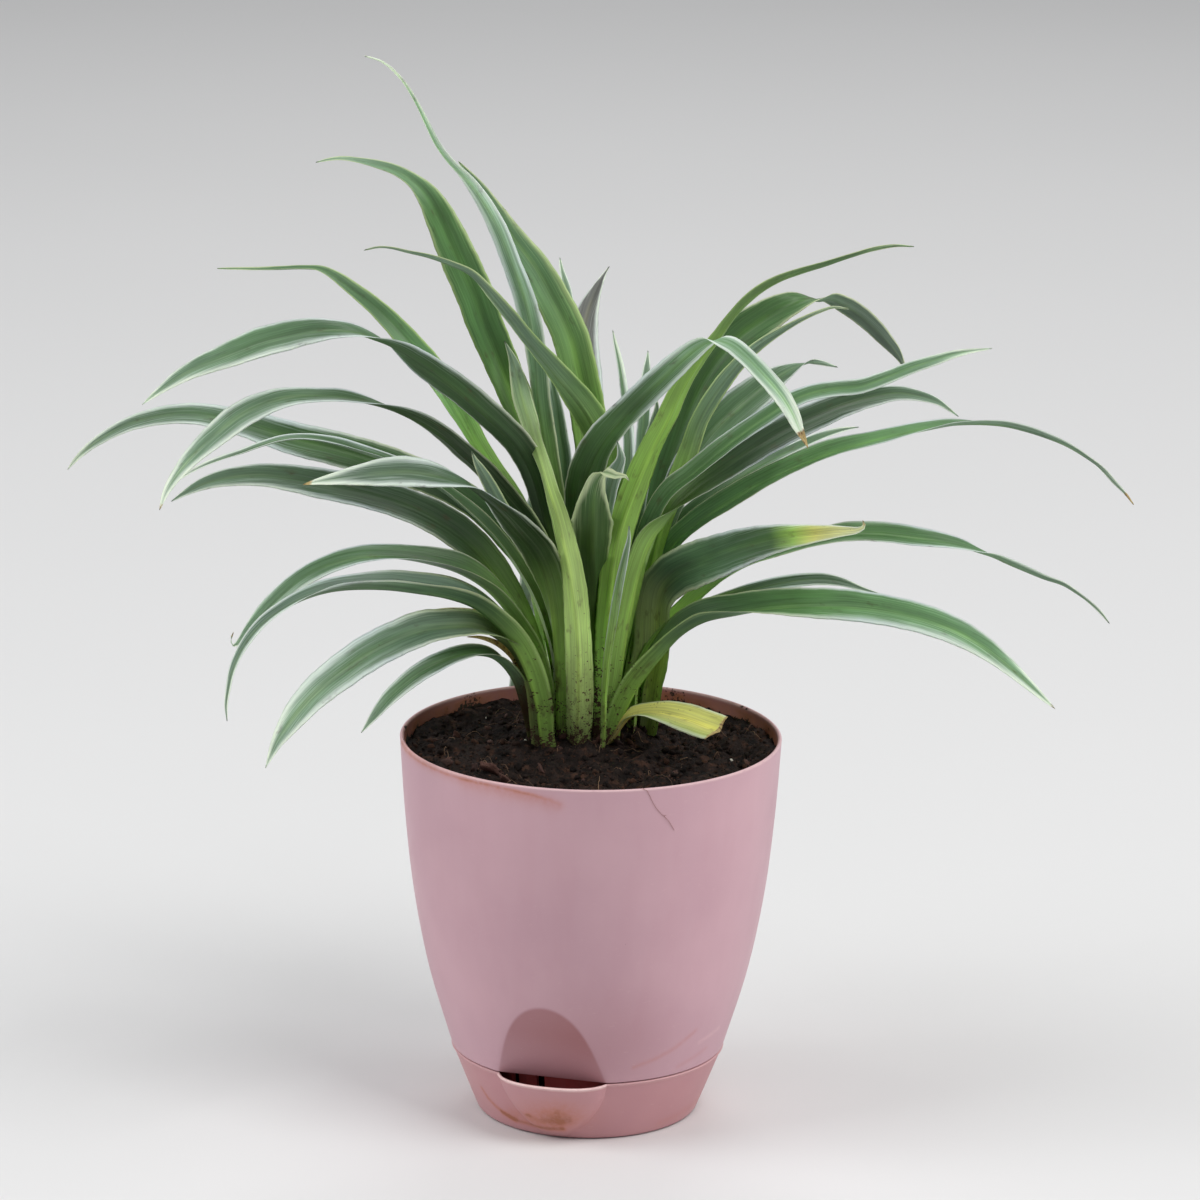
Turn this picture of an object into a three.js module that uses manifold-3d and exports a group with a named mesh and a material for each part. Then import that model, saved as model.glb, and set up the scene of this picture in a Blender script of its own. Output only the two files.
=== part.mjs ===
// Potted spider plant (Chlorophytum comosum, white-margined form) in a round
// self-watering pot.  Units: millimetres, +Z up.
// Origin: centre of the pot's underside.  -Y is the front of the plant, +X its right.
//
// The pot is two plastic shells: a tapered pot body and, below a seam, a water
// reservoir whose front-left wall flares out into a fill spout.  A slotted
// wicking basket stands in the reservoir and carries the column of soil that
// reaches down to the water.  The plant is a low crown in the soil with its
// strap leaves; each leaf is a separate solid that starts just clear of the crown.

import * as THREE from 'three';
import { mergeVertices } from 'three/addons/utils/BufferGeometryUtils.js';
import Module from 'manifold-3d';

// ---- driving dimensions (mm) ---------------------------------------------
const RIM_R = 60;             // outer radius of the rim
const POT_H = 122.25;         // height of the rim
const SEAM_Z = 21.4;          // height of the seam between the two shells
const GAP = 0.3;              // clearance between touching pieces
const WALL = 1.8;             // wall thickness of both shells
const FLOOR_T = 2.4;          // thickness of the pot body's floor
const BODY_R = [43.21, 50.58, 55.44, 58.27, 60];  // outer radius, seam to rim, at equal heights
const BASE_PROFILE = [[33.8, 0], [35.2, 0.8], [36.3, 3.6], [39.4, 11.6], [43.1, SEAM_Z - GAP / 2]];  // reservoir, outside
const SPOUT_AZ = -16;       // direction of the fill spout, degrees from the front (-Y) towards +X
const SPOUT_HALF = 24.5;      // half angle of the spout
const SPOUT_OUT = 5.0;        // how far its lip stands out from the wall
const RECESS_FOOT = 39.4;     // distance from the axis to the recess plane at the seam
const RECESS_TOP_Z = 48.5;    // height at which the recess plane leaves the wall
const FLOOR_OPENING_R = 31;   // opening in the floor for the soil column
const DRAIN_HOLE_R = 2.2;     // drain holes in the floor round that opening
const DRAIN_COUNT = 6;
const BASKET_R = 34.6;        // outer radius of the wicking basket at its top
const BASKET_FOOT_R = 32.2;
const BASKET_WALL = 1.6;
const SLOT_GROUPS = 6;        // pairs of vertical slots round the basket wall
const SLOT_PITCH = 16.2;      // degrees between the two slots of a pair
const SLOT_AZ = -33.4;        // direction of the first pair, from the front towards +X
const SLOT_W = 2.9;
const SOIL_Z = 115.2;         // soil level at the wall
const MOUND_H = 4.6;          // height of the mound under the crown
const CROWN = { x: -1, y: 9, z: 113, rx: 19, ry: 14, rz: 6.6 };  // centre and half sizes
const LEAF_KEEL_T = 1.1;      // leaf thickness at the keel
const FOOT_NARROW = 0.6;      // width of a leaf at its foot, relative to the blade
const FOOT_LENGTH = 45;       // length over which it widens to the full blade
const SLIVER = 0.06;          // edges shorter than this are merged after trimming
const SEG = 48;               // facets round the pot

const wasm = await Module();
wasm.setup();

// ---- small helpers ---------------------------------------------------------
const toSolid = (geometry) => {
  const g = geometry.clone();
  g.deleteAttribute('normal');
  g.deleteAttribute('uv');
  const m = mergeVertices(g, 1e-4);
  return new wasm.Manifold(new wasm.Mesh({
    numProp: 3,
    vertProperties: new Float32Array(m.attributes.position.array),
    triVerts: new Uint32Array(m.index.array),
  }));
};

const toGeometry = (solid) => {
  const mesh = solid.getMesh();
  const g = new THREE.BufferGeometry();
  g.setAttribute('position', new THREE.BufferAttribute(new Float32Array(mesh.vertProperties), 3));
  g.setIndex(new THREE.BufferAttribute(new Uint32Array(mesh.triVerts), 1));
  return g;
};

// geometry from a plain vertex list and triangle list
const fromLists = (verts, tris) => {
  const g = new THREE.BufferGeometry();
  g.setAttribute('position', new THREE.Float32BufferAttribute(verts.flat(), 3));
  g.setIndex(tris.flat());
  return g;
};

// keep the largest connected body of a geometry (drops the offcuts left by trimming);
// triangles belong together when they share an edge
const largestBody = (geometry) => {
  const g = mergeVertices(geometry, 1e-3);
  const p = g.attributes.position, idx = [];
  for (let i = 0; i < g.index.count; i += 3) {
    const t = [g.index.getX(i), g.index.getX(i + 1), g.index.getX(i + 2)];
    if (t[0] !== t[1] && t[1] !== t[2] && t[2] !== t[0]) idx.push(t);
  }
  const parent = idx.map((_, i) => i);
  const find = (a) => { while (parent[a] !== a) { parent[a] = parent[parent[a]]; a = parent[a]; } return a; };
  const edges = new Map();
  idx.forEach((t, i) => {
    for (let k = 0; k < 3; k++) {
      const u = t[k], v = t[(k + 1) % 3], key = u < v ? `${u}_${v}` : `${v}_${u}`;
      if (edges.has(key)) parent[find(i)] = find(edges.get(key)); else edges.set(key, i);
    }
  });
  const at = (i) => new THREE.Vector3().fromBufferAttribute(p, i);
  const volume = new Map();
  idx.forEach((t, i) => {
    const r = find(i);
    volume.set(r, (volume.get(r) ?? 0) + at(t[0]).dot(at(t[1]).cross(at(t[2]))) / 6);
  });
  const best = [...volume.entries()].sort((u, v) => v[1] - u[1])[0][0];
  const used = new Map(), pos = [], out = [];
  idx.forEach((t, i) => {
    if (find(i) !== best) return;
    for (const v of t) {
      if (!used.has(v)) { used.set(v, pos.length / 3); pos.push(p.getX(v), p.getY(v), p.getZ(v)); }
      out.push(used.get(v));
    }
  });
  const r = new THREE.BufferGeometry();
  r.setAttribute('position', new THREE.Float32BufferAttribute(pos, 3));
  r.setIndex(out);
  return r;
};

// turn a lathe (spun about Y) so that its axis is Z
const lathe = (profile, segments = SEG) =>
  new THREE.LatheGeometry(profile.map(([r, z]) => new THREE.Vector2(r, z)), segments).rotateX(Math.PI / 2);

// outer radius of the pot body at height z
const bodyR = (z) => {
  const t = THREE.MathUtils.clamp((z - SEAM_Z) / (POT_H - SEAM_Z), 0, 1) * (BODY_R.length - 1);
  const i = Math.min(Math.floor(t), BODY_R.length - 2), u = t - i;
  const at = (k) => (k < 0 ? 2 * BODY_R[0] - BODY_R[1] : k >= BODY_R.length ? 2 * BODY_R.at(-1) - BODY_R.at(-2) : BODY_R[k]);
  const [p0, p1, p2, p3] = [at(i - 1), at(i), at(i + 1), at(i + 2)];
  return 0.5 * (2 * p1 + (p2 - p0) * u + (2 * p0 - 5 * p1 + 4 * p2 - p3) * u * u + (3 * p1 - p0 - 3 * p2 + p3) * u ** 3);
};

const colour = { shell: 0xc49aa4, basket: 0x9c626a, soil: 0x241b18, crown: 0x4c4a2c, leaf: 0x4d7a4a, pale: 0x86a64e, yellow: 0xc9c268, brown: 0x7a5a32 };
const group = new THREE.Group();
const solids = {};
const addMesh = (name, geometry, color, roughness = 0.6) => {
  const g = geometry.index ? geometry : mergeVertices(geometry, 1e-4);
  g.computeVertexNormals();
  const mesh = new THREE.Mesh(g, new THREE.MeshStandardMaterial({ color, roughness, metalness: 0 }));
  mesh.name = name;
  group.add(mesh);
  return mesh;
};

// ---- pot body ----------------------------------------------------------------
const spoutDir = new THREE.Vector2(Math.sin(THREE.MathUtils.degToRad(SPOUT_AZ)), -Math.cos(THREE.MathUtils.degToRad(SPOUT_AZ)));
const bodyFoot = SEAM_Z + GAP / 2;
const floorTop = bodyFoot + FLOOR_T;

// block on the outer side of the recess plane, moved inwards by `inset`
const recessBlock = (inset, foot) => {
  const s = new THREE.Shape();
  const topR = bodyR(RECESS_TOP_Z);
  const slope = (topR - RECESS_FOOT) / (RECESS_TOP_Z - SEAM_Z);
  const z0 = foot, z1 = RECESS_TOP_Z + 3;
  s.moveTo(RECESS_FOOT - inset + slope * (z0 - SEAM_Z), z0);
  s.lineTo(80, z0);
  s.lineTo(80, z1);
  s.lineTo(RECESS_FOOT - inset + slope * (z1 - SEAM_Z), z1);
  s.closePath();
  const g = new THREE.ExtrudeGeometry(s, { depth: 60, bevelEnabled: false });
  g.translate(0, 0, -30);
  g.rotateX(Math.PI / 2);                                   // shape X = outwards, shape Y = up
  g.rotateZ(Math.atan2(spoutDir.y, spoutDir.x));
  return toSolid(g);
};

{
  const steps = 9;
  const outer = [[0, bodyFoot]];
  for (let i = 0; i <= steps; i++) {
    const z = THREE.MathUtils.lerp(bodyFoot, POT_H - 0.7, i / steps);
    outer.push([bodyR(z), z]);
  }
  outer.push([RIM_R - 0.25, POT_H - 0.2], [RIM_R - 0.8, POT_H], [0, POT_H]);
  const inner = [[0, floorTop]];
  for (let i = 0; i <= 6; i++) {
    const z = THREE.MathUtils.lerp(floorTop, POT_H - 0.9, i / 6);
    inner.push([bodyR(z) - WALL, z]);
  }
  inner.push([RIM_R - 1.0, POT_H + 0.01], [RIM_R - 1.0, POT_H + 4], [0, POT_H + 4]);
  let body = toSolid(lathe(outer)).subtract(recessBlock(0, bodyFoot - 3));
  const cavity = toSolid(lathe(inner, 36)).subtract(recessBlock(WALL, bodyFoot - 3));
  body = body.subtract(cavity);
  // opening for the soil column, and drain holes round it
  body = body.subtract(toSolid(new THREE.CylinderGeometry(FLOOR_OPENING_R, FLOOR_OPENING_R, 12, 32).rotateX(Math.PI / 2).translate(0, 0, floorTop - 2)));
  for (let i = 0; i < DRAIN_COUNT; i++) {
    const a = (i + 0.5) / DRAIN_COUNT * Math.PI * 2;
    body = body.subtract(toSolid(new THREE.CylinderGeometry(DRAIN_HOLE_R, DRAIN_HOLE_R, 12, 8).rotateX(Math.PI / 2)
      .translate(Math.cos(a) * 35.2, Math.sin(a) * 35.2, floorTop - 2)));
  }
  addMesh('pot_body', toGeometry(body.simplify(0.005)), colour.shell, 0.5);
  solids.body = body;
}

// ---- water reservoir with its fill spout ---------------------------------------
{
  const azC = Math.atan2(spoutDir.y, spoutDir.x);
  const half = THREE.MathUtils.degToRad(SPOUT_HALF);
  const angles = [];
  const coarse = 26, fine = 16;
  for (let i = 0; i < coarse; i++) angles.push(azC + half * 1.08 + (i / coarse) * (2 * Math.PI - 2.16 * half));
  for (let i = 0; i < fine; i++) angles.push(azC - half * 1.08 + (i / fine) * 2.16 * half + 2 * Math.PI);
  const bump = (a, z) => {
    const d = Math.atan2(Math.sin(a - azC), Math.cos(a - azC)) / half;
    if (Math.abs(d) >= 1) return 0;
    const across = Math.pow(1 - Math.pow(Math.abs(d), 2.4), 0.9);
    const up = THREE.MathUtils.smoothstep(z, 1.0, SEAM_Z);
    return SPOUT_OUT * across * Math.pow(up, 0.8);
  };
  const outer = BASE_PROFILE;
  const inner = [[BASE_PROFILE.at(-1)[0] - WALL, SEAM_Z - GAP / 2], [37.6, 11.6], [33.6, 2.2]];
  const rings = [...outer, ...inner];
  const verts = [], tris = [];
  for (const [r, z] of rings) for (const a of angles) {
    const R = r + bump(a, z);
    verts.push([R * Math.cos(a), R * Math.sin(a), z]);
  }
  const n = angles.length;
  for (let k = 0; k < rings.length - 1; k++) for (let i = 0; i < n; i++) {
    const j = (i + 1) % n;
    tris.push([k * n + i, k * n + j, (k + 1) * n + j], [k * n + i, (k + 1) * n + j, (k + 1) * n + i]);
  }
  verts.push([0, 0, 0], [0, 0, 2.2]);
  const b = rings.length * n, t = b + 1, last = (rings.length - 1) * n;
  for (let i = 0; i < n; i++) {
    const j = (i + 1) % n;
    tris.push([b, j, i], [t, last + i, last + j]);
  }
  addMesh('water_reservoir', toGeometry(toSolid(fromLists(verts, tris))), colour.shell, 0.5);
}

// ---- slotted wicking basket ------------------------------------------------------
const basketTop = bodyFoot - GAP;
{
  const foot = 2.2 + GAP;
  const profile = [[0, foot], [BASKET_FOOT_R, foot], [BASKET_R, basketTop], [BASKET_R - BASKET_WALL, basketTop], [BASKET_FOOT_R - BASKET_WALL, foot + 1.6], [0, foot + 1.6]];
  let basket = toSolid(lathe(profile, 32));
  for (let i = 0; i < SLOT_GROUPS; i++) for (const side of [-0.5, 0.5]) {
    const a = THREE.MathUtils.degToRad(SLOT_AZ + i * 360 / SLOT_GROUPS + side * SLOT_PITCH - 90);
    const slot = new THREE.BoxGeometry(8, SLOT_W, 14.4).translate(BASKET_R - 1.6, 0, foot + 10.5).rotateZ(a);
    basket = basket.subtract(toSolid(slot));
  }
  addMesh('wicking_basket', toGeometry(basket.simplify(0.005)), colour.basket, 0.6);
}

// ---- crown: the short stem that the leaves clasp ------------------------------------
const crownSolid = (grow) => {
  const g = new THREE.SphereGeometry(1, 16, 9);
  g.deleteAttribute('normal'); g.deleteAttribute('uv');
  const m = mergeVertices(g, 1e-4);
  const p = m.attributes.position;
  for (let i = 0; i < p.count; i++) {
    const x = p.getX(i), y = p.getY(i), z = p.getZ(i);
    const lump = 1 + 0.05 * Math.sin(5 * x + 2 * z) * Math.cos(4 * y);
    p.setXYZ(i, CROWN.x + x * (CROWN.rx + grow) * lump, CROWN.y + y * (CROWN.ry + grow) * lump, CROWN.z + z * (CROWN.rz + grow) * lump);
  }
  return toSolid(m);
};
const crown = crownSolid(0), crownClear = crownSolid(GAP + 0.05);
addMesh('crown', toGeometry(crown), colour.crown, 0.85);

// ---- soil: mounded surface, body, and the column down into the basket ------------------
const soilZ = (x, y) => {
  const d = Math.hypot((x - CROWN.x) / 40, (y - CROWN.y) / 34);
  return SOIL_Z + MOUND_H * Math.exp(-d * d * 1.8)
    + 0.5 * Math.sin(x * 0.21 + 1.3) * Math.cos(y * 0.27 + 0.4) + 0.3 * Math.sin(x * 0.53 - y * 0.41);
};
{
  const n = 32;
  const column = [[0, 2.2 + GAP + 1.6 + GAP], [BASKET_FOOT_R - BASKET_WALL - 1, 2.2 + GAP + 1.6 + GAP], [FLOOR_OPENING_R - 0.9, basketTop - 2], [FLOOR_OPENING_R - 0.9, floorTop + GAP]];
  const side = [];
  const nz = 4;
  for (let i = 0; i <= nz; i++) {
    const z = THREE.MathUtils.lerp(floorTop + GAP, SOIL_Z - 1.2, i / nz);
    side.push([bodyR(z) - WALL - 0.45, z]);
  }
  const surf = [0.985, 0.82, 0.62, 0.42, 0.2].map((k) => [bodyR(SOIL_Z) - WALL - 0.45, k]);
  const verts = [], tris = [];
  const ring = (r, zOf) => { for (let i = 0; i < n; i++) { const a = i / n * Math.PI * 2; const x = r * Math.cos(a), y = r * Math.sin(a); verts.push([x, y, zOf(x, y)]); } };
  let rings = 0;
  for (const [r, z] of column.slice(1)) { ring(r, () => z); rings++; }
  for (const [r, z] of side) { ring(r, () => z); rings++; }
  for (const [r, k] of surf) { ring(r * k, soilZ); rings++; }
  for (let k = 0; k < rings - 1; k++) for (let i = 0; i < n; i++) {
    const j = (i + 1) % n;
    tris.push([k * n + i, k * n + j, (k + 1) * n + j], [k * n + i, (k + 1) * n + j, (k + 1) * n + i]);
  }
  verts.push([0, 0, column[0][1]], [0, 0, soilZ(0, 0)]);
  const b = rings * n, t = b + 1, last = (rings - 1) * n;
  for (let i = 0; i < n; i++) { const j = (i + 1) % n; tris.push([b, j, i], [t, last + i, last + j]); }
  const whole = toSolid(fromLists(verts, tris)).subtract(recessBlock(WALL + 0.45, bodyFoot - 3));
  solids.soil = whole;
  addMesh('soil', largestBody(toGeometry(whole.subtract(crownClear).simplify(SLIVER))), colour.soil, 0.95);
}
// the soil with a margin above it, which trims the foot of each leaf
const soilClear = toSolid(lathe([[0, 60], [50, 60], [50, SOIL_Z + 0.6], [0, SOIL_Z + 0.6]], 24)).add(solids.soil.translate(0, 0, GAP + 0.1));

// ---- leaves -------------------------------------------------------------------------
// path rows: x, y, z of the leaf's centre line, the direction from its left to its
// right margin as seen from the upper face (unit vector), and its width there.
// fold: [fraction of length, degrees] by which each half rises from the keel.
const LEAVES = [
  { name: 'leaf_center_front', fold: [[0, 35], [0.7, 20], [1, 20]],
    path: [[-2.9, 0.5, 117, -1, 0.07, 0.05, 6], [-3.1, 0, 121, -1, 0.07, 0.05, 6.3], [-2.9, -2.3, 134.1, -1, 0.06, 0, 7.2],
    [-3.4, -4.8, 147.9, -1, 0.04, -0.05, 7.5], [-4.4, -8.1, 161.7, -1, 0.03, -0.07, 7.5], [-5.8, -11.3, 175.5, -0.92, 0.39, -0.08, 7.9],
    [-8, -12, 186.9, -0.87, 0.44, -0.2, 7.5], [-10.3, -11.5, 196.3, -0.83, 0.48, -0.26, 6.7], [-12.9, -10.5, 204, -0.67, 0.58, -0.46, 6],
    [-15.1, -6.4, 210, -0.56, 0.49, -0.67, 5.3], [-18, -1, 216.3, -0.89, 0.09, -0.44, 4.5], [-20.3, 3.7, 222.7, -0.95, -0.03, -0.31, 5.9],
    [-22.3, 7, 228.3, -0.95, -0.02, -0.3, 6.5], [-23.9, 9.5, 234.1, -0.97, -0.01, -0.25, 5.3], [-25.5, 11.5, 239.7, -0.95, -0.02, -0.32, 2.8],
    [-28.1, 13, 245.3, -0.86, -0.06, -0.5, 0.4]] },
  { name: 'leaf_lower_left_2', fold: [[0, 44], [0.15, 50], [0.6, 47], [0.8, 20], [1, 14]],
    path: [[-12.5, -2.3, 117, -0.77, 0.64, -0.02, 5.5], [-13.5, -3, 122.8, -0.77, 0.64, -0.02, 5.8], [-14.5, -3.6, 134.4, -0.74, 0.67, -0.05, 6.7],
    [-17.1, -4.7, 146.1, -0.63, 0.77, -0.1, 7.3], [-20.9, -6, 155.5, -0.49, 0.86, -0.12, 7.9], [-26.2, -7.7, 163.3, -0.34, 0.94, -0.02, 8.3],
    [-33.7, -10.3, 170.4, -0.25, 0.96, 0.13, 8.8], [-42.6, -13.4, 174.7, -0.29, 0.95, 0.13, 9.2], [-53.4, -17.3, 177.5, -0.32, 0.94, 0.11, 9.2],
    [-64, -21.1, 179.1, -0.32, 0.94, 0.11, 8.3], [-73.2, -24.4, 179.2, -0.35, 0.93, 0.11, 7.5], [-81.3, -27.5, 178, -0.39, 0.91, 0.1, 6.7],
    [-89.2, -30.9, 175.4, -0.45, 0.89, 0.11, 5.9], [-95.8, -34.1, 171.9, -0.53, 0.83, 0.16, 5.2], [-101.2, -37.1, 168, -0.66, 0.71, 0.26, 4.5],
    [-105, -39.7, 163.9, -0.79, 0.53, 0.31, 3.8], [-107.9, -42.2, 159.5, -0.84, 0.52, 0.17, 3.2], [-109.9, -44.7, 154.8, -0.87, 0.5, -0, 2.5],
    [-111, -47.6, 149.2, -0.92, 0.4, -0.07, 1.7], [-111.5, -49.9, 144.8, -1, 0.01, 0.03, 1.2], [-111.1, -52, 141, -0.97, -0.07, -0.24, 0.4]] },
  { name: 'leaf_lower_right_3', fold: [[0, 44], [0.35, 46], [0.55, 24], [1, 12]],
    path: [[5.8, 0.5, 117, -0.64, -0.76, 0.15, 6.5], [6.3, 0, 126.4, -0.64, -0.76, 0.15, 6.8], [9, -0.4, 135.4, -0.57, -0.81, 0.15, 7.6],
    [13.3, -1.5, 144.5, -0.42, -0.9, 0.09, 8.3], [18.2, -2.8, 152.1, -0.17, -0.98, -0.06, 8.8], [24.3, -4.6, 159.8, -0.11, -0.97, -0.2, 9.3],
    [32.9, -7.8, 166.3, -0.27, -0.93, -0.25, 9.9], [43.6, -12.9, 169.5, -0.35, -0.85, -0.4, 10.4], [56.4, -19.6, 171.8, -0.32, -0.75, -0.58, 11],
    [68.6, -25.7, 173, -0.22, -0.58, -0.78, 10], [80.7, -31.2, 173.7, -0.12, -0.32, -0.94, 9.8], [92.8, -36.7, 173.4, -0.21, -0.31, -0.93, 9.5],
    [103.3, -41.5, 172, -0.32, -0.3, -0.9, 9.2], [112.3, -45.9, 169.5, -0.45, -0.27, -0.85, 8.3], [119.8, -49.8, 166, -0.58, -0.25, -0.78, 6.7],
    [126.7, -53.7, 161.5, -0.66, -0.23, -0.72, 4.9], [132.7, -57.3, 156.9, -0.68, -0.22, -0.7, 3.3], [136.9, -59.8, 153.6, -0.68, -0.22, -0.7, 2.1],
    [140.5, -62, 150.8, -0.67, -0.22, -0.7, 0.4]] },
  { name: 'leaf_tall_right', fold: [[0, 36], [0.7, 18], [1, 18]],
    path: [[3.2, 1.4, 117, -0.99, -0.02, 0.13, 6], [3.5, 1, 124.1, -0.99, -0.02, 0.13, 6.3], [4.3, 0.7, 136.6, -1, -0.06, 0.01, 6.9],
    [4.4, -0.1, 153.2, -1, -0.05, 0.02, 7.2], [5.2, -1.1, 166.4, -1, -0.04, 0.08, 7.8], [6.6, -2.3, 179.7, -0.99, -0.02, 0.14, 8.4],
    [8.9, -3.4, 191.2, -0.97, 0.01, 0.25, 8.7], [11.9, -4.7, 201.2, -0.95, 0.02, 0.3, 8.4], [15.2, -6.3, 211.3, -0.92, -0.29, 0.27, 8.4],
    [18.5, -7.9, 219.7, -0.84, -0.47, 0.28, 8.3], [22.4, -9.7, 228.1, -0.8, -0.55, 0.23, 7.8], [25.9, -11.6, 236.5, -0.78, -0.59, 0.22, 7.2],
    [29.8, -13.4, 243.9, -0.74, -0.62, 0.27, 6.7], [33.7, -15, 250, -0.69, -0.65, 0.32, 6.3], [37.2, -16.4, 254.8, -0.7, -0.66, 0.27, 5.9],
    [40.5, -18.1, 260.2, -0.67, -0.72, 0.2, 5.5], [44.6, -19.9, 265.7, -0.64, -0.71, 0.29, 5.1], [49.4, -21.9, 270.5, -0.6, -0.7, 0.39, 4.6],
    [55.3, -24.1, 274.5, -0.53, -0.66, 0.53, 4.1], [61.9, -26.5, 277.6, -0.48, -0.62, 0.62, 3.6], [69.3, -29.3, 280.5, -0.48, -0.6, 0.64, 3],
    [76.7, -32.2, 283.7, -0.52, -0.55, 0.65, 2.3], [84.1, -35.3, 286.7, -0.44, -0.4, 0.8, 1.6], [90.6, -38, 288.3, -0.07, 0.15, 0.99, 0.9],
    [95.3, -40, 288.5, 0.12, 0.14, 0.98, 0.4]] },
  { name: 'leaf_sheath_right', fold: [[0, 30], [0.7, 20], [1, 20]],
    path: [[3.7, -5.2, 117, -0.95, -0.32, -0.06, 1.8], [3.9, -5.6, 126.2, -0.95, -0.32, -0.06, 1.9], [4, -6, 135.3, -0.95, -0.32, -0.06, 2],
    [4.8, -8.6, 149.1, -0.92, -0.4, 0.03, 2.8], [6.5, -10, 162.4, -0.92, -0.38, 0.12, 3.1], [8.5, -10, 175.3, -0.99, -0.01, 0.17, 2.8],
    [10.3, -10, 184.3, -0.98, -0, 0.22, 2.2], [11.1, -10, 188.8, -0.99, -0.03, 0.11, 1.2], [11.1, -10, 192.4, -0.98, -0.1, -0.16, 0.4]] },
  { name: 'leaf_center_curled', fold: [[0, 30], [0.7, 10], [1, 10]],
    path: [[-0.6, 13.1, 114.9, -0.63, -0.75, 0.21, 8.5], [-0.7, 13, 121.5, -0.63, -0.75, 0.21, 9], [-0.7, 9.5, 143.8, -0.49, -0.84, 0.23, 12.1],
    [-0.9, 1, 165.7, -0.5, -0.84, 0.22, 14.4], [-0.6, -8.1, 181.1, -0.76, -0.63, 0.16, 12.3], [-0.4, -16.5, 193, -1, -0.06, 0, 12.4],
    [-0.3, -22.5, 202.2, -1, -0.07, -0.03, 15.1], [0.3, -26.4, 208.9, -1, -0.06, 0, 14.4], [1.5, -27.8, 213.1, -1, -0.06, 0, 9.5],
    [2.8, -28.5, 214.8, -0.98, -0.11, -0.15, 3.7], [4.7, -29, 214.4, -0.75, -0.23, -0.62, 4], [7, -29.6, 213.7, -0.5, -0.29, -0.81, 5.4],
    [9.6, -29.9, 213.7, -0.44, -0.3, -0.85, 4.1], [10.7, -30, 212.4, -0.44, -0.3, -0.85, 0.7]] },
  { name: 'leaf_front_left', fold: [[0, 38], [0.7, 12], [1, 12]],
    path: [[-7.4, 2.4, 117, -0.5, 0.87, 0.02, 7.3], [-7.8, 2.2, 126.6, -0.5, 0.87, 0.02, 7.7], [-8, 2, 136.1, -0.5, 0.87, 0.02, 8.1],
    [-9, -0.4, 149.8, -0.57, 0.8, 0.17, 9.5], [-10.7, -5, 164.1, -0.77, 0.62, 0.1, 10.6], [-13.5, -10.5, 176.8, -0.93, 0.37, -0.06, 11.6],
    [-17.6, -18.3, 187.8, -0.93, 0.33, -0.18, 12.4], [-22.8, -26.1, 196.5, -0.88, 0.46, -0.15, 13], [-27.9, -32.8, 203.9, -0.79, 0.6, -0.09, 11.9],
    [-32.7, -37.8, 209.5, -0.68, 0.74, 0.03, 10.8], [-36.9, -41.6, 213.6, -0.57, 0.81, 0.15, 10], [-42, -45.6, 216.3, -0.45, 0.81, 0.38, 9.1],
    [-47.1, -49.4, 218.3, -0.15, 0.59, 0.79, 8.3], [-52.4, -53.3, 220, 0.05, 0.3, 0.95, 9.1], [-58.3, -57.5, 221.3, -0.05, 0.29, 0.95, 9.7],
    [-64.2, -61.6, 221.9, -0.13, 0.29, 0.95, 8.4], [-69.4, -65.2, 222.1, -0.18, 0.29, 0.94, 6.6], [-74.4, -68.4, 222.1, -0.2, 0.29, 0.94, 4.8],
    [-78.8, -71.3, 222, -0.21, 0.29, 0.93, 3.3], [-82.8, -73.8, 221.9, -0.23, 0.28, 0.93, 1.8], [-86.3, -76, 221.6, -0.26, 0.28, 0.92, 0.4]] },
  { name: 'leaf_right_2', fold: [[0, 36], [0.7, 14], [1, 14]],
    path: [[4.9, 1.4, 117.3, -0.7, -0.71, 0.05, 5.9], [5.3, 1, 128.1, -0.7, -0.71, 0.05, 6.2], [7, -0.1, 140.1, -0.69, -0.72, 0.04, 7.1],
    [8.8, -0.7, 153.4, -0.75, -0.66, 0.09, 7.8], [11.1, -0.7, 166.4, -0.77, -0.63, 0.14, 8.4], [14.1, -0.4, 179.2, -0.72, -0.66, 0.22, 9],
    [17.7, 0.1, 188.2, -0.62, -0.69, 0.38, 9.4], [23.2, 1, 195.7, 0.22, -0.97, -0.07, 9.8], [30.6, 2.3, 202.2, 0.42, -0.84, -0.33, 10],
    [39.9, 5.3, 207.7, 0.56, -0.57, -0.6, 9.2], [50.2, 10.2, 213.3, 0.55, -0.27, -0.79, 9.1], [59.5, 14.7, 217.8, 0.48, -0.28, -0.83, 9.4],
    [69, 19, 221.4, 0.43, -0.28, -0.86, 9.1], [78.4, 23.4, 224.3, 0.34, -0.29, -0.9, 7.9], [87, 27.4, 225.7, 0.25, -0.29, -0.92, 6.3],
    [95.4, 31.4, 226.1, 0.05, -0.29, -0.96, 4.7], [102.5, 34.9, 224.4, -0.19, -0.27, -0.94, 3.5], [108.4, 37.9, 221.8, -0.41, -0.24, -0.88, 2.2],
    [112.4, 40.3, 218.6, -0.57, -0.21, -0.79, 1.1], [115, 42, 216.3, -0.53, -0.22, -0.82, 0.4]] },
  { name: 'leaf_yellow_cut', fold: [[0, 24], [0.7, 10], [1, 10]], blunt: true,
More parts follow.
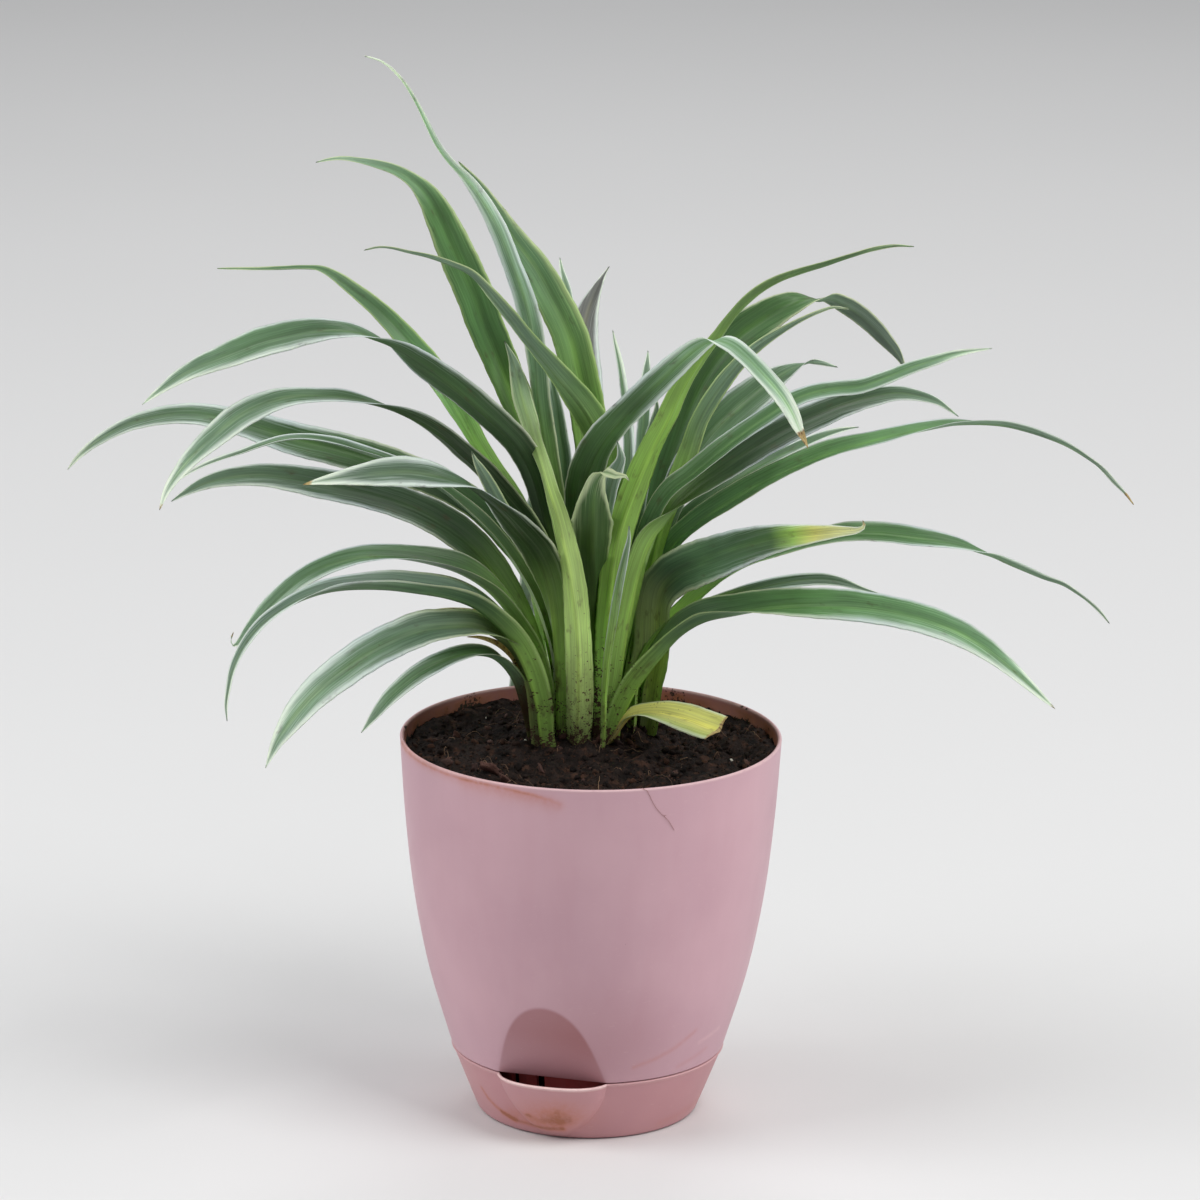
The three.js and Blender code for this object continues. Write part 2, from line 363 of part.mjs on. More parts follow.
    path: [[3.4, -2.4, 117, -0.08, -0.97, -0.24, 3], [4.8, -3.2, 120.6, -0.08, -0.97, -0.24, 3.4], [6.9, -4, 124, -0.08, -0.97, -0.24, 4.2],
    [8.8, -5.2, 127.9, -0.06, -0.96, -0.28, 6.4], [11.2, -6.5, 131.3, -0.28, -0.94, -0.21, 9.5], [15.3, -8.3, 133.2, -0.4, -0.91, -0.07, 10.5],
    [19.9, -10.7, 134, -0.47, -0.86, -0.22, 11.4], [25.2, -14, 133.8, -0.54, -0.74, -0.4, 11.4], [30.8, -18.2, 133.2, -0.58, -0.62, -0.52, 11.4],
    [35.7, -22.5, 132.6, -0.6, -0.59, -0.54, 11.4], [39.4, -26, 132.4, -0.61, -0.62, -0.49, 11.4]] },
  { name: 'leaf_lower_left_3', fold: [[0, 40], [0.7, 12], [1, 12]],
    path: [[-14.9, 1.4, 117, -0.44, 0.9, -0.04, 7.2], [-16.1, 1, 128.1, -0.44, 0.9, -0.04, 7.6], [-17.4, 0, 138.2, -0.51, 0.86, 0.05, 8.7],
    [-19.9, -1.9, 146.9, -0.49, 0.87, 0.02, 9.5], [-23.7, -4, 153.6, -0.39, 0.92, 0.07, 10.1], [-28.7, -6.8, 158.2, -0.35, 0.89, 0.28, 10.7],
    [-34.8, -11.1, 161.6, -0.42, 0.77, 0.49, 11.2], [-42.5, -17.4, 163.2, -0.48, 0.65, 0.59, 11.9], [-50.6, -24.4, 163.8, -0.5, 0.54, 0.68, 11.9],
    [-59, -31.1, 162.1, -0.45, 0.28, 0.85, 11.1], [-68, -37.5, 159, -0.54, 0.27, 0.8, 11.4], [-76.3, -43.7, 154.6, -0.62, 0.25, 0.74, 11],
    [-83.4, -49.1, 150, -0.7, 0.23, 0.68, 10.1], [-88.7, -53.6, 145.2, -0.79, 0.19, 0.58, 8.6], [-92.8, -57.4, 140.2, -0.84, 0.17, 0.51, 6.7],
    [-95.7, -60.3, 136, -0.9, 0.14, 0.42, 4.3], [-97.4, -62.4, 132.5, -0.93, 0.12, 0.34, 2.1], [-98.6, -64, 129.8, -0.94, 0.11, 0.33, 0.4]] },
  { name: 'leaf_lower_left_4', fold: [[0, 40], [0.7, 14], [1, 14]],
    path: [[-17.3, 4.2, 117, -0.76, 0.64, -0.11, 5.1], [-18.6, 4, 123.9, -0.76, 0.64, -0.11, 5.3], [-20.5, 2.4, 133.2, -0.71, 0.7, 0.01, 6.4],
    [-22.7, -0.1, 141.1, -0.63, 0.77, 0.07, 7.1], [-26.2, -3.6, 147.3, -0.55, 0.81, 0.21, 7.7], [-30.2, -7.7, 151.3, -0.58, 0.77, 0.25, 8.2],
    [-35.4, -12.5, 153.2, -0.64, 0.74, 0.18, 8.6], [-40.9, -17.2, 153.2, -0.63, 0.73, 0.28, 7.7], [-46.9, -21.9, 151.9, -0.61, 0.62, 0.49, 6.7],
    [-53, -26.6, 149.6, -0.59, 0.26, 0.77, 5.9], [-58.4, -31.1, 146.4, -0.68, 0.24, 0.69, 5.6], [-62.6, -34.7, 143.2, -0.75, 0.22, 0.63, 4.6],
    [-65.8, -37.8, 139.9, -0.81, 0.2, 0.55, 3.4], [-68.5, -40.3, 136.8, -0.82, 0.19, 0.54, 1.8], [-70.3, -42, 134.7, -0.81, 0.2, 0.55, 0.4]] },
  { name: 'leaf_front_arch', fold: [[0, 32], [0.7, 12], [1, 12]],
    path: [[0.2, 17, 114.3, -0.7, -0.69, 0.19, 6.5], [0.2, 17, 121.4, -0.7, -0.69, 0.19, 6.8], [0.2, 17, 128.6, -0.7, -0.69, 0.19, 7.2],
    [0.1, 14.1, 149.1, -0.77, -0.62, 0.17, 8.6], [-1.2, 6.1, 170.8, -0.97, -0.24, 0.05, 9.7], [-2.6, -2.1, 189.2, -1, -0.06, 0, 11.2],
    [-3.3, -7.3, 201.7, -1, -0.06, 0, 11.8], [-2, -12.1, 211.6, -0.99, -0.12, 0.02, 11.5], [0.3, -16.4, 218.6, -0.95, -0.28, 0.09, 11.6],
    [3.9, -21.5, 225.4, -1, -0.06, 0, 11.1], [9.8, -28.2, 233.7, -0.99, -0.03, 0.12, 10.2], [15.9, -34.4, 241.4, -0.97, -0, 0.22, 9.4],
    [22.3, -41, 249.2, -0.95, 0.02, 0.31, 8.6], [27.7, -46.1, 255.6, -0.91, 0.05, 0.4, 7.3], [31.8, -49.2, 259.8, -0.85, -0.28, 0.44, 6.4],
    [34.1, -50.7, 261.4, -0.93, -0.26, 0.25, 6.1], [36.4, -52.1, 261.9, -0.97, -0.22, -0.12, 5.9], [40.5, -54.4, 261.2, -0.88, -0.19, -0.45, 5.4],
    [44.6, -57.2, 258.6, -0.86, -0.19, -0.47, 5.5], [49.3, -60.6, 254.6, -0.82, -0.21, -0.53, 5.4], [53.2, -63.4, 250.9, -0.8, -0.22, -0.56, 5.6],
    [56.6, -65.9, 247.1, -0.64, -0.26, -0.72, 5.5], [59.2, -68.1, 243, -0.59, -0.27, -0.76, 4.5], [61.3, -70, 238.6, -0.44, -0.3, -0.85, 3.3],
    [62.7, -71.1, 236.1, -0.44, -0.3, -0.85, 1.3], [63.8, -72, 233.8, -0.36, -0.31, -0.88, 0.3]] },
  { name: 'leaf_right_dry_tip', fold: [[0, 30], [0.7, 12], [1, 12]],
    path: [[11.9, 12.7, 117, 0.35, -0.93, -0.14, 8.1], [12.5, 12.8, 125.1, 0.35, -0.93, -0.14, 8.6], [12.8, 13, 133.2, 0.35, -0.93, -0.14, 9.1],
    [14.5, 11.1, 146.9, 0.47, -0.85, -0.22, 10.8], [15.9, 7.7, 159.2, 0.65, -0.69, -0.33, 12.1], [18, 4.3, 167.4, 0.61, -0.55, -0.57, 12.9],
    [22.9, -0.4, 173.9, 0.52, -0.27, -0.81, 13.8], [30.2, -8.1, 179.6, 0.3, -0.29, -0.91, 14.6], [37.7, -17.7, 185.1, 0.31, -0.29, -0.91, 13.6],
    [45.2, -26.3, 190.4, 0.28, -0.29, -0.91, 12], [52.6, -33.4, 194.6, 0.19, -0.3, -0.93, 9.8], [60, -40.1, 197.8, 0.1, -0.3, -0.95, 7.6],
    [66.5, -45.5, 200.1, -0.01, -0.39, -0.92, 5.9], [72.4, -50.1, 202, 0.03, -0.34, -0.94, 4.3], [77.1, -53.6, 203.3, -0.16, -0.49, -0.86, 2.9],
    [80.1, -55.6, 204.2, 0.14, -0.46, -0.88, 1.9], [81.8, -57, 205.8, 0.86, -0.2, -0.46, 1.2], [81.4, -58, 207.6, 0.77, 0.08, 0.63, 0.5]] },
  { name: 'leaf_left_1', fold: [[0, 36], [0.7, 14], [1, 14]],
    path: [[-5.6, 8, 117, -0.61, 0.8, -0.04, 6.1], [-6.1, 8, 129.5, -0.61, 0.8, -0.04, 6.4], [-7.9, 7.3, 150.9, -0.76, 0.65, -0.04, 7.6],
    [-10.2, 5.7, 170.8, -0.84, 0.54, -0.07, 8.5], [-12.8, 4.1, 185.8, -0.88, 0.44, -0.15, 9], [-15.7, 2.2, 197.5, -0.92, 0.37, -0.12, 9.5],
    [-19.2, -3.2, 209.8, -0.93, 0.34, -0.17, 10], [-24.1, -7.8, 219.1, -0.81, 0.37, -0.45, 10.3], [-29.1, -9.9, 224.7, -0.71, 0.42, -0.57, 10.4],
    [-35.2, -11.9, 230.5, -0.7, 0.36, -0.62, 9.9], [-41.4, -13.9, 236.3, -0.68, 0.2, -0.71, 9.4], [-47.5, -15.7, 241.2, -0.62, 0.04, -0.78, 8.9],
    [-53.6, -17.4, 246.1, -0.66, 0.27, -0.7, 8.3], [-59.1, -18.9, 250.5, -0.53, 0.69, -0.49, 7.9], [-63.6, -20.1, 253.2, -0.34, 0.9, -0.26, 7.5],
    [-67.6, -21.1, 254.8, -0.23, 0.97, 0.02, 7.2], [-72.4, -22.3, 256.4, -0.15, 0.93, 0.32, 6.8], [-79.3, -24, 257.3, -0.14, 0.66, 0.74, 6.3],
    [-88.4, -26.5, 257, -0.19, 0.27, 0.94, 8.5], [-95.3, -28.6, 255.8, -0.26, 0.26, 0.93, 9.4], [-101.8, -30.6, 254.4, -0.33, 0.26, 0.91, 9.4],
    [-107.8, -32.6, 252.4, -0.4, 0.25, 0.88, 8.5], [-113.8, -34.7, 250.3, -0.39, 0.25, 0.89, 7.3], [-119.7, -36.8, 248.3, -0.41, 0.24, 0.88, 6.1],
    [-125.6, -39.1, 245.6, -0.54, 0.22, 0.81, 4.6], [-130.7, -41.2, 242.3, -0.62, 0.2, 0.76, 2.7], [-134.5, -43, 239.6, -0.65, 0.19, 0.74, 1.2],
    [-136.5, -44, 238, -0.69, 0.18, 0.7, 0.4]] },
  { name: 'leaf_lower_left_1', fold: [[0, 40], [0.45, 42], [0.8, 16], [1, 12]],
    path: [[-11.5, 4.2, 117, -0.49, 0.87, 0.08, 5.4], [-12.1, 4.1, 124.6, -0.49, 0.87, 0.08, 5.7], [-12.4, 4, 132.2, -0.49, 0.87, 0.08, 6],
    [-14.3, 2.1, 143.2, -0.46, 0.89, 0.06, 6.9], [-17.5, 0.1, 153.8, -0.4, 0.92, 0.01, 7.6], [-22.9, -1.9, 164, -0.17, 0.98, 0.1, 8.3],
    [-30.4, -4, 173.2, -0.06, 0.98, 0.2, 8.9], [-39.7, -6.1, 179.5, -0.09, 0.97, 0.24, 9.4], [-49.9, -8.1, 182.5, -0.13, 0.95, 0.28, 9.3],
    [-60.4, -10.1, 183.8, -0.16, 0.91, 0.37, 8.3], [-71.5, -12.3, 183.3, -0.25, 0.79, 0.56, 7.2], [-81.3, -14.4, 180.7, -0.4, 0.5, 0.77, 6.2],
    [-89.6, -16.4, 176.7, -0.57, 0.25, 0.79, 5.9], [-96.3, -18.3, 171.5, -0.68, 0.22, 0.7, 5.9], [-101.8, -20, 166.1, -0.76, 0.2, 0.62, 5.3],
    [-106.1, -21.5, 161, -0.79, 0.18, 0.59, 3.7], [-108.8, -22.5, 157.8, -0.78, 0.19, 0.6, 1.9], [-110.6, -23, 156.3, -0.14, 0.77, 0.62, 1.2],
    [-111.5, -23.5, 158.3, 0.8, 0.58, 0.16, 0.7], [-110.8, -24, 160.7, 0.14, -0.2, -0.97, 0.4]] },
  { name: 'leaf_left_2', fold: [[0, 36], [0.7, 14], [1, 14]],
    path: [[-7.4, 6.9, 117.6, -0.59, 0.81, -0.02, 5.4], [-8, 7, 131.4, -0.59, 0.81, -0.02, 5.7], [-10, 5.4, 151.4, -0.64, 0.77, 0.01, 6.8],
    [-12.1, 4.3, 168, -0.71, 0.7, -0.03, 7.4], [-15.9, 3.2, 182.8, -0.78, 0.57, -0.25, 8], [-20.7, 2.2, 191, -0.74, 0.53, -0.42, 8.3],
    [-25.1, 1.3, 197, -0.71, 0.55, -0.44, 8.6], [-29.7, 0.1, 203, -0.7, 0.57, -0.44, 8.8], [-34.7, -1.2, 208.8, -0.66, 0.57, -0.49, 9.1],
    [-40, -2.7, 213.9, -0.65, 0.58, -0.5, 9.2], [-45.2, -4.2, 219, -0.63, 0.62, -0.47, 8.9], [-50.8, -6, 223.5, -0.54, 0.7, -0.46, 8.5],
    [-56.3, -7.7, 227, -0.48, 0.8, -0.36, 8.1], [-61.8, -9.5, 229.9, -0.4, 0.89, -0.22, 7.7], [-67.3, -11.4, 231.9, -0.34, 0.94, -0.03, 7.3],
    [-72.1, -13.2, 233.2, -0.3, 0.94, 0.19, 7], [-78.2, -15.5, 234.6, -0.26, 0.86, 0.44, 6.5], [-84.8, -18.2, 235.3, -0.3, 0.79, 0.53, 6.1],
    [-90.8, -20.8, 235.6, -0.25, 0.54, 0.8, 5.6], [-96.8, -23.5, 235.1, -0.28, 0.27, 0.92, 6.7], [-102.7, -26.6, 233.5, -0.44, 0.25, 0.87, 8],
    [-108.7, -30.1, 230.9, -0.59, 0.22, 0.78, 8.6], [-114.2, -34, 227.1, -0.68, 0.19, 0.71, 7.9], [-119.2, -37.8, 223.2, -0.7, 0.19, 0.69, 6.4],
    [-123.5, -41.6, 219.4, -0.77, 0.16, 0.61, 4.9], [-127.2, -45.6, 215.1, -0.85, 0.13, 0.52, 3.3], [-129.7, -48.9, 211.2, -0.91, 0.1, 0.39, 2.1],
    [-131.1, -52, 207.3, -0.99, 0.02, 0.13, 0.4]] },
  { name: 'leaf_left_5', fold: [[0, 34], [0.7, 14], [1, 14]],
    path: [[-12.7, 6.1, 117, 0.39, 0.92, 0.1, 6.4], [-13.3, 6.1, 124.3, 0.39, 0.92, 0.1, 6.7], [-13.6, 6, 131.6, 0.39, 0.92, 0.1, 7.1],
    [-16.3, 5.5, 144.8, 0.44, 0.89, 0.15, 8.3], [-20.8, 4.9, 158, 0.52, 0.81, 0.27, 9.2], [-26.5, 4.4, 168.4, 0.6, 0.69, 0.4, 9.9],
    [-32.8, 3.9, 177.5, 0.63, 0.56, 0.54, 10.5], [-39.7, 3.6, 184.7, 0.53, 0.56, 0.64, 11.1], [-47.8, 3.2, 190.5, 0.4, 0.57, 0.72, 11.4],
    [-57.2, 2.8, 195, 0.32, 0.4, 0.86, 10.4], [-66.5, 2.3, 198.2, 0.26, 0.31, 0.92, 10], [-75.8, 1.7, 200.6, 0.19, 0.31, 0.93, 10],
    [-85.1, 0.7, 202.5, 0.15, 0.31, 0.94, 9.7], [-94.4, -0.5, 204.4, 0.13, 0.31, 0.94, 8.4], [-103, -2, 205.6, 0.01, 0.31, 0.95, 7.2],
    [-110.3, -3.3, 205.5, -0.13, 0.3, 0.95, 6.2], [-117.4, -4.7, 204.5, -0.27, 0.28, 0.92, 5], [-122.6, -5.9, 202.8, -0.43, 0.26, 0.87, 3.4],
    [-127.2, -7.1, 200.5, -0.53, 0.24, 0.81, 1.9], [-130.5, -8, 198.5, -0.56, 0.23, 0.79, 0.4]] },
  { name: 'leaf_left_short', fold: [[0, 32], [0.7, 20], [1, 20]],
    path: [[-10.6, 12.3, 114.3, -0.91, 0.4, -0.08, 2.6], [-11.1, 12.2, 135.2, -0.91, 0.4, -0.08, 2.7], [-11.4, 11, 156.4, -0.91, 0.4, -0.08, 2.9],
    [-14.9, 4, 171.2, -0.85, 0.5, -0.14, 3.9], [-20.2, -2.6, 184.3, -0.83, 0.43, -0.35, 4.6], [-25.8, -6.9, 193.3, -0.84, -0.09, -0.54, 4.3],
    [-29.6, -9.1, 200.3, -0.88, -0.08, -0.47, 4.3], [-32.7, -10.9, 206.5, -0.88, -0.08, -0.47, 4.3], [-35.1, -12.4, 211.2, -0.87, -0.08, -0.48, 3.1],
    [-36.7, -13.3, 214.3, -0.9, -0.07, -0.43, 1.5], [-37.6, -14, 216.7, -0.95, -0.04, -0.31, 0.4]] },
  { name: 'leaf_center_short_3', fold: [[0, 30], [0.7, 20], [1, 20]],
    path: [[2.3, 6.1, 117, -0.68, -0.73, -0.04, 3.3], [2.4, 6.1, 137.5, -0.68, -0.73, -0.04, 3.5], [2.4, 6, 157.9, -0.68, -0.73, -0.04, 3.7],
    [3.2, 1.6, 178.6, -0.54, -0.8, -0.26, 5.4], [3.9, -5.8, 193.4, -0.62, -0.67, -0.4, 5.4], [5.1, -14.4, 205.2, -0.99, -0.01, 0.12, 4.3],
    [6.8, -18.9, 212.8, -0.91, 0.05, 0.4, 5.2], [8.3, -20.8, 217.4, -1, -0.05, 0, 3.7], [7.8, -21.6, 220.1, -0.94, -0.14, -0.32, 1.8],
    [7, -22, 222.7, -0.96, -0.12, -0.24, 0.4]] },
  { name: 'leaf_upper_left_crossing', fold: [[0, 35], [0.7, 22], [1, 22]],
    path: [[5.7, 10.8, 117, -0.56, 0.82, 0.04, 5.9], [6, 10.9, 125.3, -0.56, 0.82, 0.04, 6.2], [6.2, 11, 133.7, -0.56, 0.82, 0.04, 6.5],
    [7.2, 10.1, 156.8, -0.54, 0.84, 0.07, 7.9], [7.2, 8.5, 176.8, -0.64, 0.77, 0.07, 8.9], [6.4, 6.2, 193.6, -0.74, 0.67, 0.06, 9.6],
    [4.4, 2.4, 208.9, -0.89, 0.45, -0.03, 10.2], [0.5, -3.1, 222.4, -0.94, 0.17, -0.3, 10.4], [-5.1, -9.3, 233.1, -0.88, 0.22, -0.42, 9.4],
    [-10.4, -13.5, 241, -0.81, 0.49, -0.33, 8.6], [-15.3, -16.9, 247.7, -0.78, 0.55, -0.31, 7.9], [-20.6, -20.4, 254.7, -0.77, 0.56, -0.28, 7.2],
    [-25.7, -23.9, 262, -0.77, 0.58, -0.28, 6.4], [-30.3, -26.8, 268.2, -0.72, 0.65, -0.23, 5.6], [-34.2, -29.2, 273.3, -0.65, 0.73, -0.18, 5],
    [-38.1, -31.2, 277.5, -0.55, 0.8, -0.23, 4.4], [-44.2, -33.7, 280.7, -0.45, 0.84, -0.3, 3.7], [-50.7, -36.1, 283.3, -0.41, 0.84, -0.36, 2.9],
    [-56.7, -38.1, 284.9, -0.39, 0.8, -0.46, 2.2], [-62.1, -39.8, 286.3, -0.34, 0.76, -0.55, 1.5], [-65.7, -40.9, 286.6, -0.14, 0.55, -0.82, 0.9],
    [-69.5, -42, 285.9, 0.39, -0.12, -0.91, 0.4]] },
  { name: 'leaf_tall_hair_tip', fold: [[0, 38], [0.7, 20], [1, 20]],
    path: [[-5.4, 8.9, 117, -0.95, 0.29, -0.09, 4.4], [-5.8, 9, 129.2, -0.95, 0.29, -0.09, 4.7], [-7.5, 8.9, 150.5, -0.98, 0.2, -0.07, 5.5],
    [-9.7, 8.5, 176.6, -1, 0.03, -0.09, 6.3], [-11.7, 8.1, 196.1, -0.94, 0.34, -0.11, 6.7], [-14.1, 7.2, 212.3, -0.81, 0.58, -0.08, 7.1],
    [-16.4, 5.5, 228.7, -0.78, 0.63, -0.01, 7.5], [-18.3, 2.5, 245.3, -0.94, 0.33, -0.05, 7], [-21.8, -2.4, 262.2, -0.96, -0.02, -0.29, 6.8],
    [-26.1, -6.3, 275, -0.94, -0.03, -0.34, 5.8], [-30.1, -9.7, 286, -0.92, -0.04, -0.4, 5.8], [-34.7, -12.8, 295.3, -0.87, -0.06, -0.5, 4.6],
    [-39.9, -15.8, 303.3, -0.77, 0.47, -0.43, 3.9], [-44.7, -18.2, 308.7, -0.7, 0.65, -0.3, 3.5], [-48.3, -20.3, 314, -0.71, 0.69, -0.12, 3.1],
    [-51.3, -22.8, 320.6, -0.7, 0.71, -0.03, 2.7], [-54.5, -25.5, 327.8, -0.71, 0.71, -0.07, 2.1], [-59.6, -29.1, 336.4, -0.74, 0.61, -0.28, 1.4],
    [-65.2, -32, 341.7, -0.6, 0.31, -0.74, 0.7], [-69.9, -34, 343.5, -0.12, -0.13, -0.98, 0.4]] },
  { name: 'leaf_right_1', fold: [[0, 34], [0.7, 16], [1, 16]],
    path: [[7.8, 11.8, 117, 0.57, -0.8, -0.19, 4.6], [8.2, 11.9, 125.2, 0.57, -0.8, -0.19, 4.8], [8.4, 12, 133.4, 0.57, -0.8, -0.19, 5.1],
    [11.2, 8.5, 157.3, 0.6, -0.78, -0.2, 6.3], [14.1, 4.7, 177.9, 0.63, -0.73, -0.26, 7.1], [17.6, 0.9, 192.8, 0.5, -0.76, -0.41, 7.7],
    [23.1, -2.2, 202.7, 0.27, -0.85, -0.46, 8], [29.8, -3.1, 208.4, 0.29, -0.85, -0.43, 8.2], [37.4, -3.4, 215, 0.36, -0.82, -0.45, 7.7],
    [45.1, -3.6, 221.2, 0.38, -0.76, -0.52, 7.1], [52.7, -3.9, 226.7, 0.41, -0.68, -0.61, 6.5], [60.3, -4.3, 231.7, 0.34, -0.63, -0.7, 5.9],
    [66.4, -4.8, 234.4, 0.2, -0.6, -0.77, 5.4], [74.1, -5.6, 236.1, 0.09, -0.29, -0.95, 4.9], [81.8, -6.5, 237.2, 0.18, -0.29, -0.94, 4.9],
    [89.3, -7.6, 240.1, 0.37, -0.29, -0.88, 4.3], [96.9, -9, 243.7, 0.33, -0.29, -0.9, 4], [104.4, -10.4, 246.6, 0.3, -0.29, -0.91, 3.4],
    [110.5, -11.6, 248.9, 0.23, -0.29, -0.93, 2.5], [116.5, -12.9, 250.4, 0.12, -0.29, -0.95, 1.2], [121.3, -14, 251.3, 0.13, -0.29, -0.95, 0.4]] },
  { name: 'leaf_upper_right_2', fold: [[0, 36], [0.7, 20], [1, 20]],
    path: [[9.6, 17.8, 115.2, -0.93, -0.33, 0.14, 3.7], [10, 17.9, 123.4, -0.93, -0.33, 0.14, 3.9], [10.3, 18, 131.7, -0.93, -0.33, 0.14, 4.1],
    [14.4, 16.6, 155.1, -0.92, -0.37, 0.16, 5.2], [18.5, 12.7, 175.8, -0.95, -0.23, 0.2, 5.9], [22.7, 9.4, 192.9, -0.95, -0.17, 0.27, 6.5],
    [26.6, 8.3, 204.5, -0.93, -0.14, 0.34, 6.4], [29.8, 7.6, 213.4, -0.95, 0.03, 0.31, 6.2], [32.5, 6.9, 222, -0.93, 0.04, 0.36, 5.6],
    [36.1, 6.1, 229.2, -0.86, 0.08, 0.51, 5.6], [41.2, 5, 237.2, -0.8, 0.09, 0.59, 5], [46.7, 3.7, 243.9, -0.71, 0.12, 0.7, 4],
    [51.5, 2.3, 248.4, -0.61, 0.13, 0.78, 3.1], [57.6, 0.6, 253, -0.61, -0.29, 0.74, 2.5], [63.6, -1.4, 257, -0.57, -0.34, 0.75, 1.8],
    [69.1, -3.2, 260, -0.5, -0.28, 0.82, 1.2], [73.3, -4.6, 261.6, -0.15, 0.16, 0.97, 0.9], [77.5, -6, 261.4, 0.38, 0.13, 0.91, 0.4]] },
  { name: 'leaf_lower_right_2', fold: [[0, 38], [0.7, 18], [1, 18]],
    path: [[11.9, 7, 117.3, 0.49, -0.84, -0.23, 3.9], [12.5, 7, 126.1, 0.49, -0.84, -0.23, 4.1], [12.8, 7, 134.9, 0.49, -0.84, -0.23, 4.3],
    [16.4, 5, 147, 0.26, -0.92, -0.29, 5.4], [21.9, 3, 155.7, 0.03, -0.95, -0.3, 6], [29, 1.2, 161.5, -0.11, -0.96, -0.25, 6.5],
    [36.7, -0.8, 166.1, -0.15, -0.96, -0.25, 7], [46, -3.4, 170.4, -0.13, -0.91, -0.38, 6.2], [55.2, -6.3, 173.6, -0.12, -0.82, -0.55, 5.2],
    [64.4, -9.6, 175.9, 0.04, -0.41, -0.91, 4.1], [71.1, -12.2, 177, -0.05, -0.32, -0.95, 4], [77.2, -14.7, 176.8, -0.26, -0.3, -0.92, 2.8],
    [82.7, -17.2, 175.6, -0.35, -0.29, -0.89, 1.5], [88.8, -20, 174.5, -0.2, -0.31, -0.93, 0.4]] },
  { name: 'leaf_lower_right_1', fold: [[0, 38], [0.7, 18], [1, 18]],
    path: [[13.1, 13.6, 117, 0.75, -0.61, -0.26, 4.8], [13.7, 13.8, 124.9, 0.75, -0.61, -0.26, 5.1], [14.1, 14, 132.9, 0.75, -0.61, -0.26, 5.3],
    [18.3, 12, 146.6, 0.65, -0.67, -0.36, 6.2], [23.8, 11, 156.1, 0.46, -0.78, -0.43, 6.6], [30.6, 10.4, 163.6, 0.38, -0.83, -0.42, 7],
    [37.4, 10.1, 170.2, 0.29, -0.89, -0.36, 7.4], [46.1, 10, 176.2, 0.17, -0.94, -0.31, 7.8], [57, 10.6, 180.4, 0.17, -0.95, -0.27, 8.2],
    [68, 12, 183.4, 0.23, -0.92, -0.31, 8.5], [79, 14, 185.4, 0.2, -0.82, -0.54, 8.4], [90, 16.3, 184.8, 0.05, -0.7, -0.71, 7.7],
    [101.2, 18.6, 183, 0.03, -0.69, -0.72, 7], [110.8, 21.1, 181.2, 0.1, -0.8, -0.59, 6.3], [117.2, 23, 179.4, 0.15, -0.91, -0.4, 5.8],
    [122.1, 24.7, 177.4, 0.29, -0.95, -0.11, 5.4], [126, 26.1, 175.8, 0.44, -0.86, 0.24, 5.1], [131.3, 28.3, 172.7, 0.54, -0.75, 0.38, 4.6],
    [136.9, 30.6, 169.6, 0.56, -0.65, 0.52, 4.1], [143.5, 33.6, 166.1, 0.53, -0.73, 0.44, 3.5], [149.2, 36.2, 163.5, 0.57, -0.71, 0.4, 2.9],
    [154.6, 39, 159.5, 0.64, -0.71, 0.29, 2.2], [159.4, 41.8, 155.2, 0.72, -0.6, 0.35, 1.5], [162.9, 44.1, 151.3, 0.76, 0.06, 0.64, 1.1],
    [165.4, 46, 147.8, 0.83, 0.03, 0.55, 0.4]] },
  { name: 'leaf_right_4', fold: [[0, 38], [0.7, 22], [1, 22]],
    path: [[10.2, 23.8, 113.4, 0.4, -0.9, -0.15, 5], [10.7, 23.9, 121.7, 0.4, -0.9, -0.15, 5.3], [11, 24, 130, 0.4, -0.9, -0.15, 5.6],
    [13.9, 21.4, 150.5, 0.5, -0.85, -0.16, 6.6], [18, 15.9, 168.4, 0.58, -0.78, -0.24, 7.3], [23.5, 11.3, 181.1, 0.48, -0.79, -0.38, 7.7],
    [31.8, 8.4, 190, 0.38, -0.78, -0.5, 8.1], [42.6, 8.1, 197.7, 0.35, -0.79, -0.5, 8.5], [53.4, 8.6, 204.4, 0.29, -0.85, -0.44, 8.9],
    [64.2, 9.4, 209.5, 0.23, -0.9, -0.37, 8.9], [75.1, 10.3, 213.6, 0.2, -0.9, -0.39, 8.3], [86, 11.3, 216.4, 0.17, -0.91, -0.37, 7.6],
    [95.3, 12.3, 218.5, 0.16, -0.95, -0.28, 7.1], [104.7, 13.4, 220.3, 0.17, -0.97, -0.17, 6.5], [111.6, 14.5, 221.4, 0.16, -0.99, 0, 6],
    [116.6, 15.3, 221.5, 0.17, -0.97, 0.16, 5.7], [122, 16.2, 221.2, 0.21, -0.89, 0.41, 5.3], [128.4, 17.5, 220.2, 0.29, -0.8, 0.53, 4.9],
    [134.8, 18.9, 218.3, 0.36, -0.73, 0.59, 4.4], [141.2, 20.4, 215.9, 0.39, -0.79, 0.47, 3.9], [147.7, 22, 212.9, 0.42, -0.84, 0.34, 3.4],
    [154.2, 23.9, 208.6, 0.47, -0.83, 0.31, 2.7], [159.8, 25.7, 204, 0.6, -0.74, 0.32, 2.1], [164.6, 27.6, 198.4, 0.73, 0.05, 0.68, 1.4],
    [167.9, 28.9, 194.8, 0.74, 0.05, 0.67, 0.9], [170.4, 30, 191.3, 0.91, -0.03, 0.41, 0.4]] },
  { name: 'leaf_upper_left_1', fold: [[0, 35], [0.7, 14], [1, 14]],
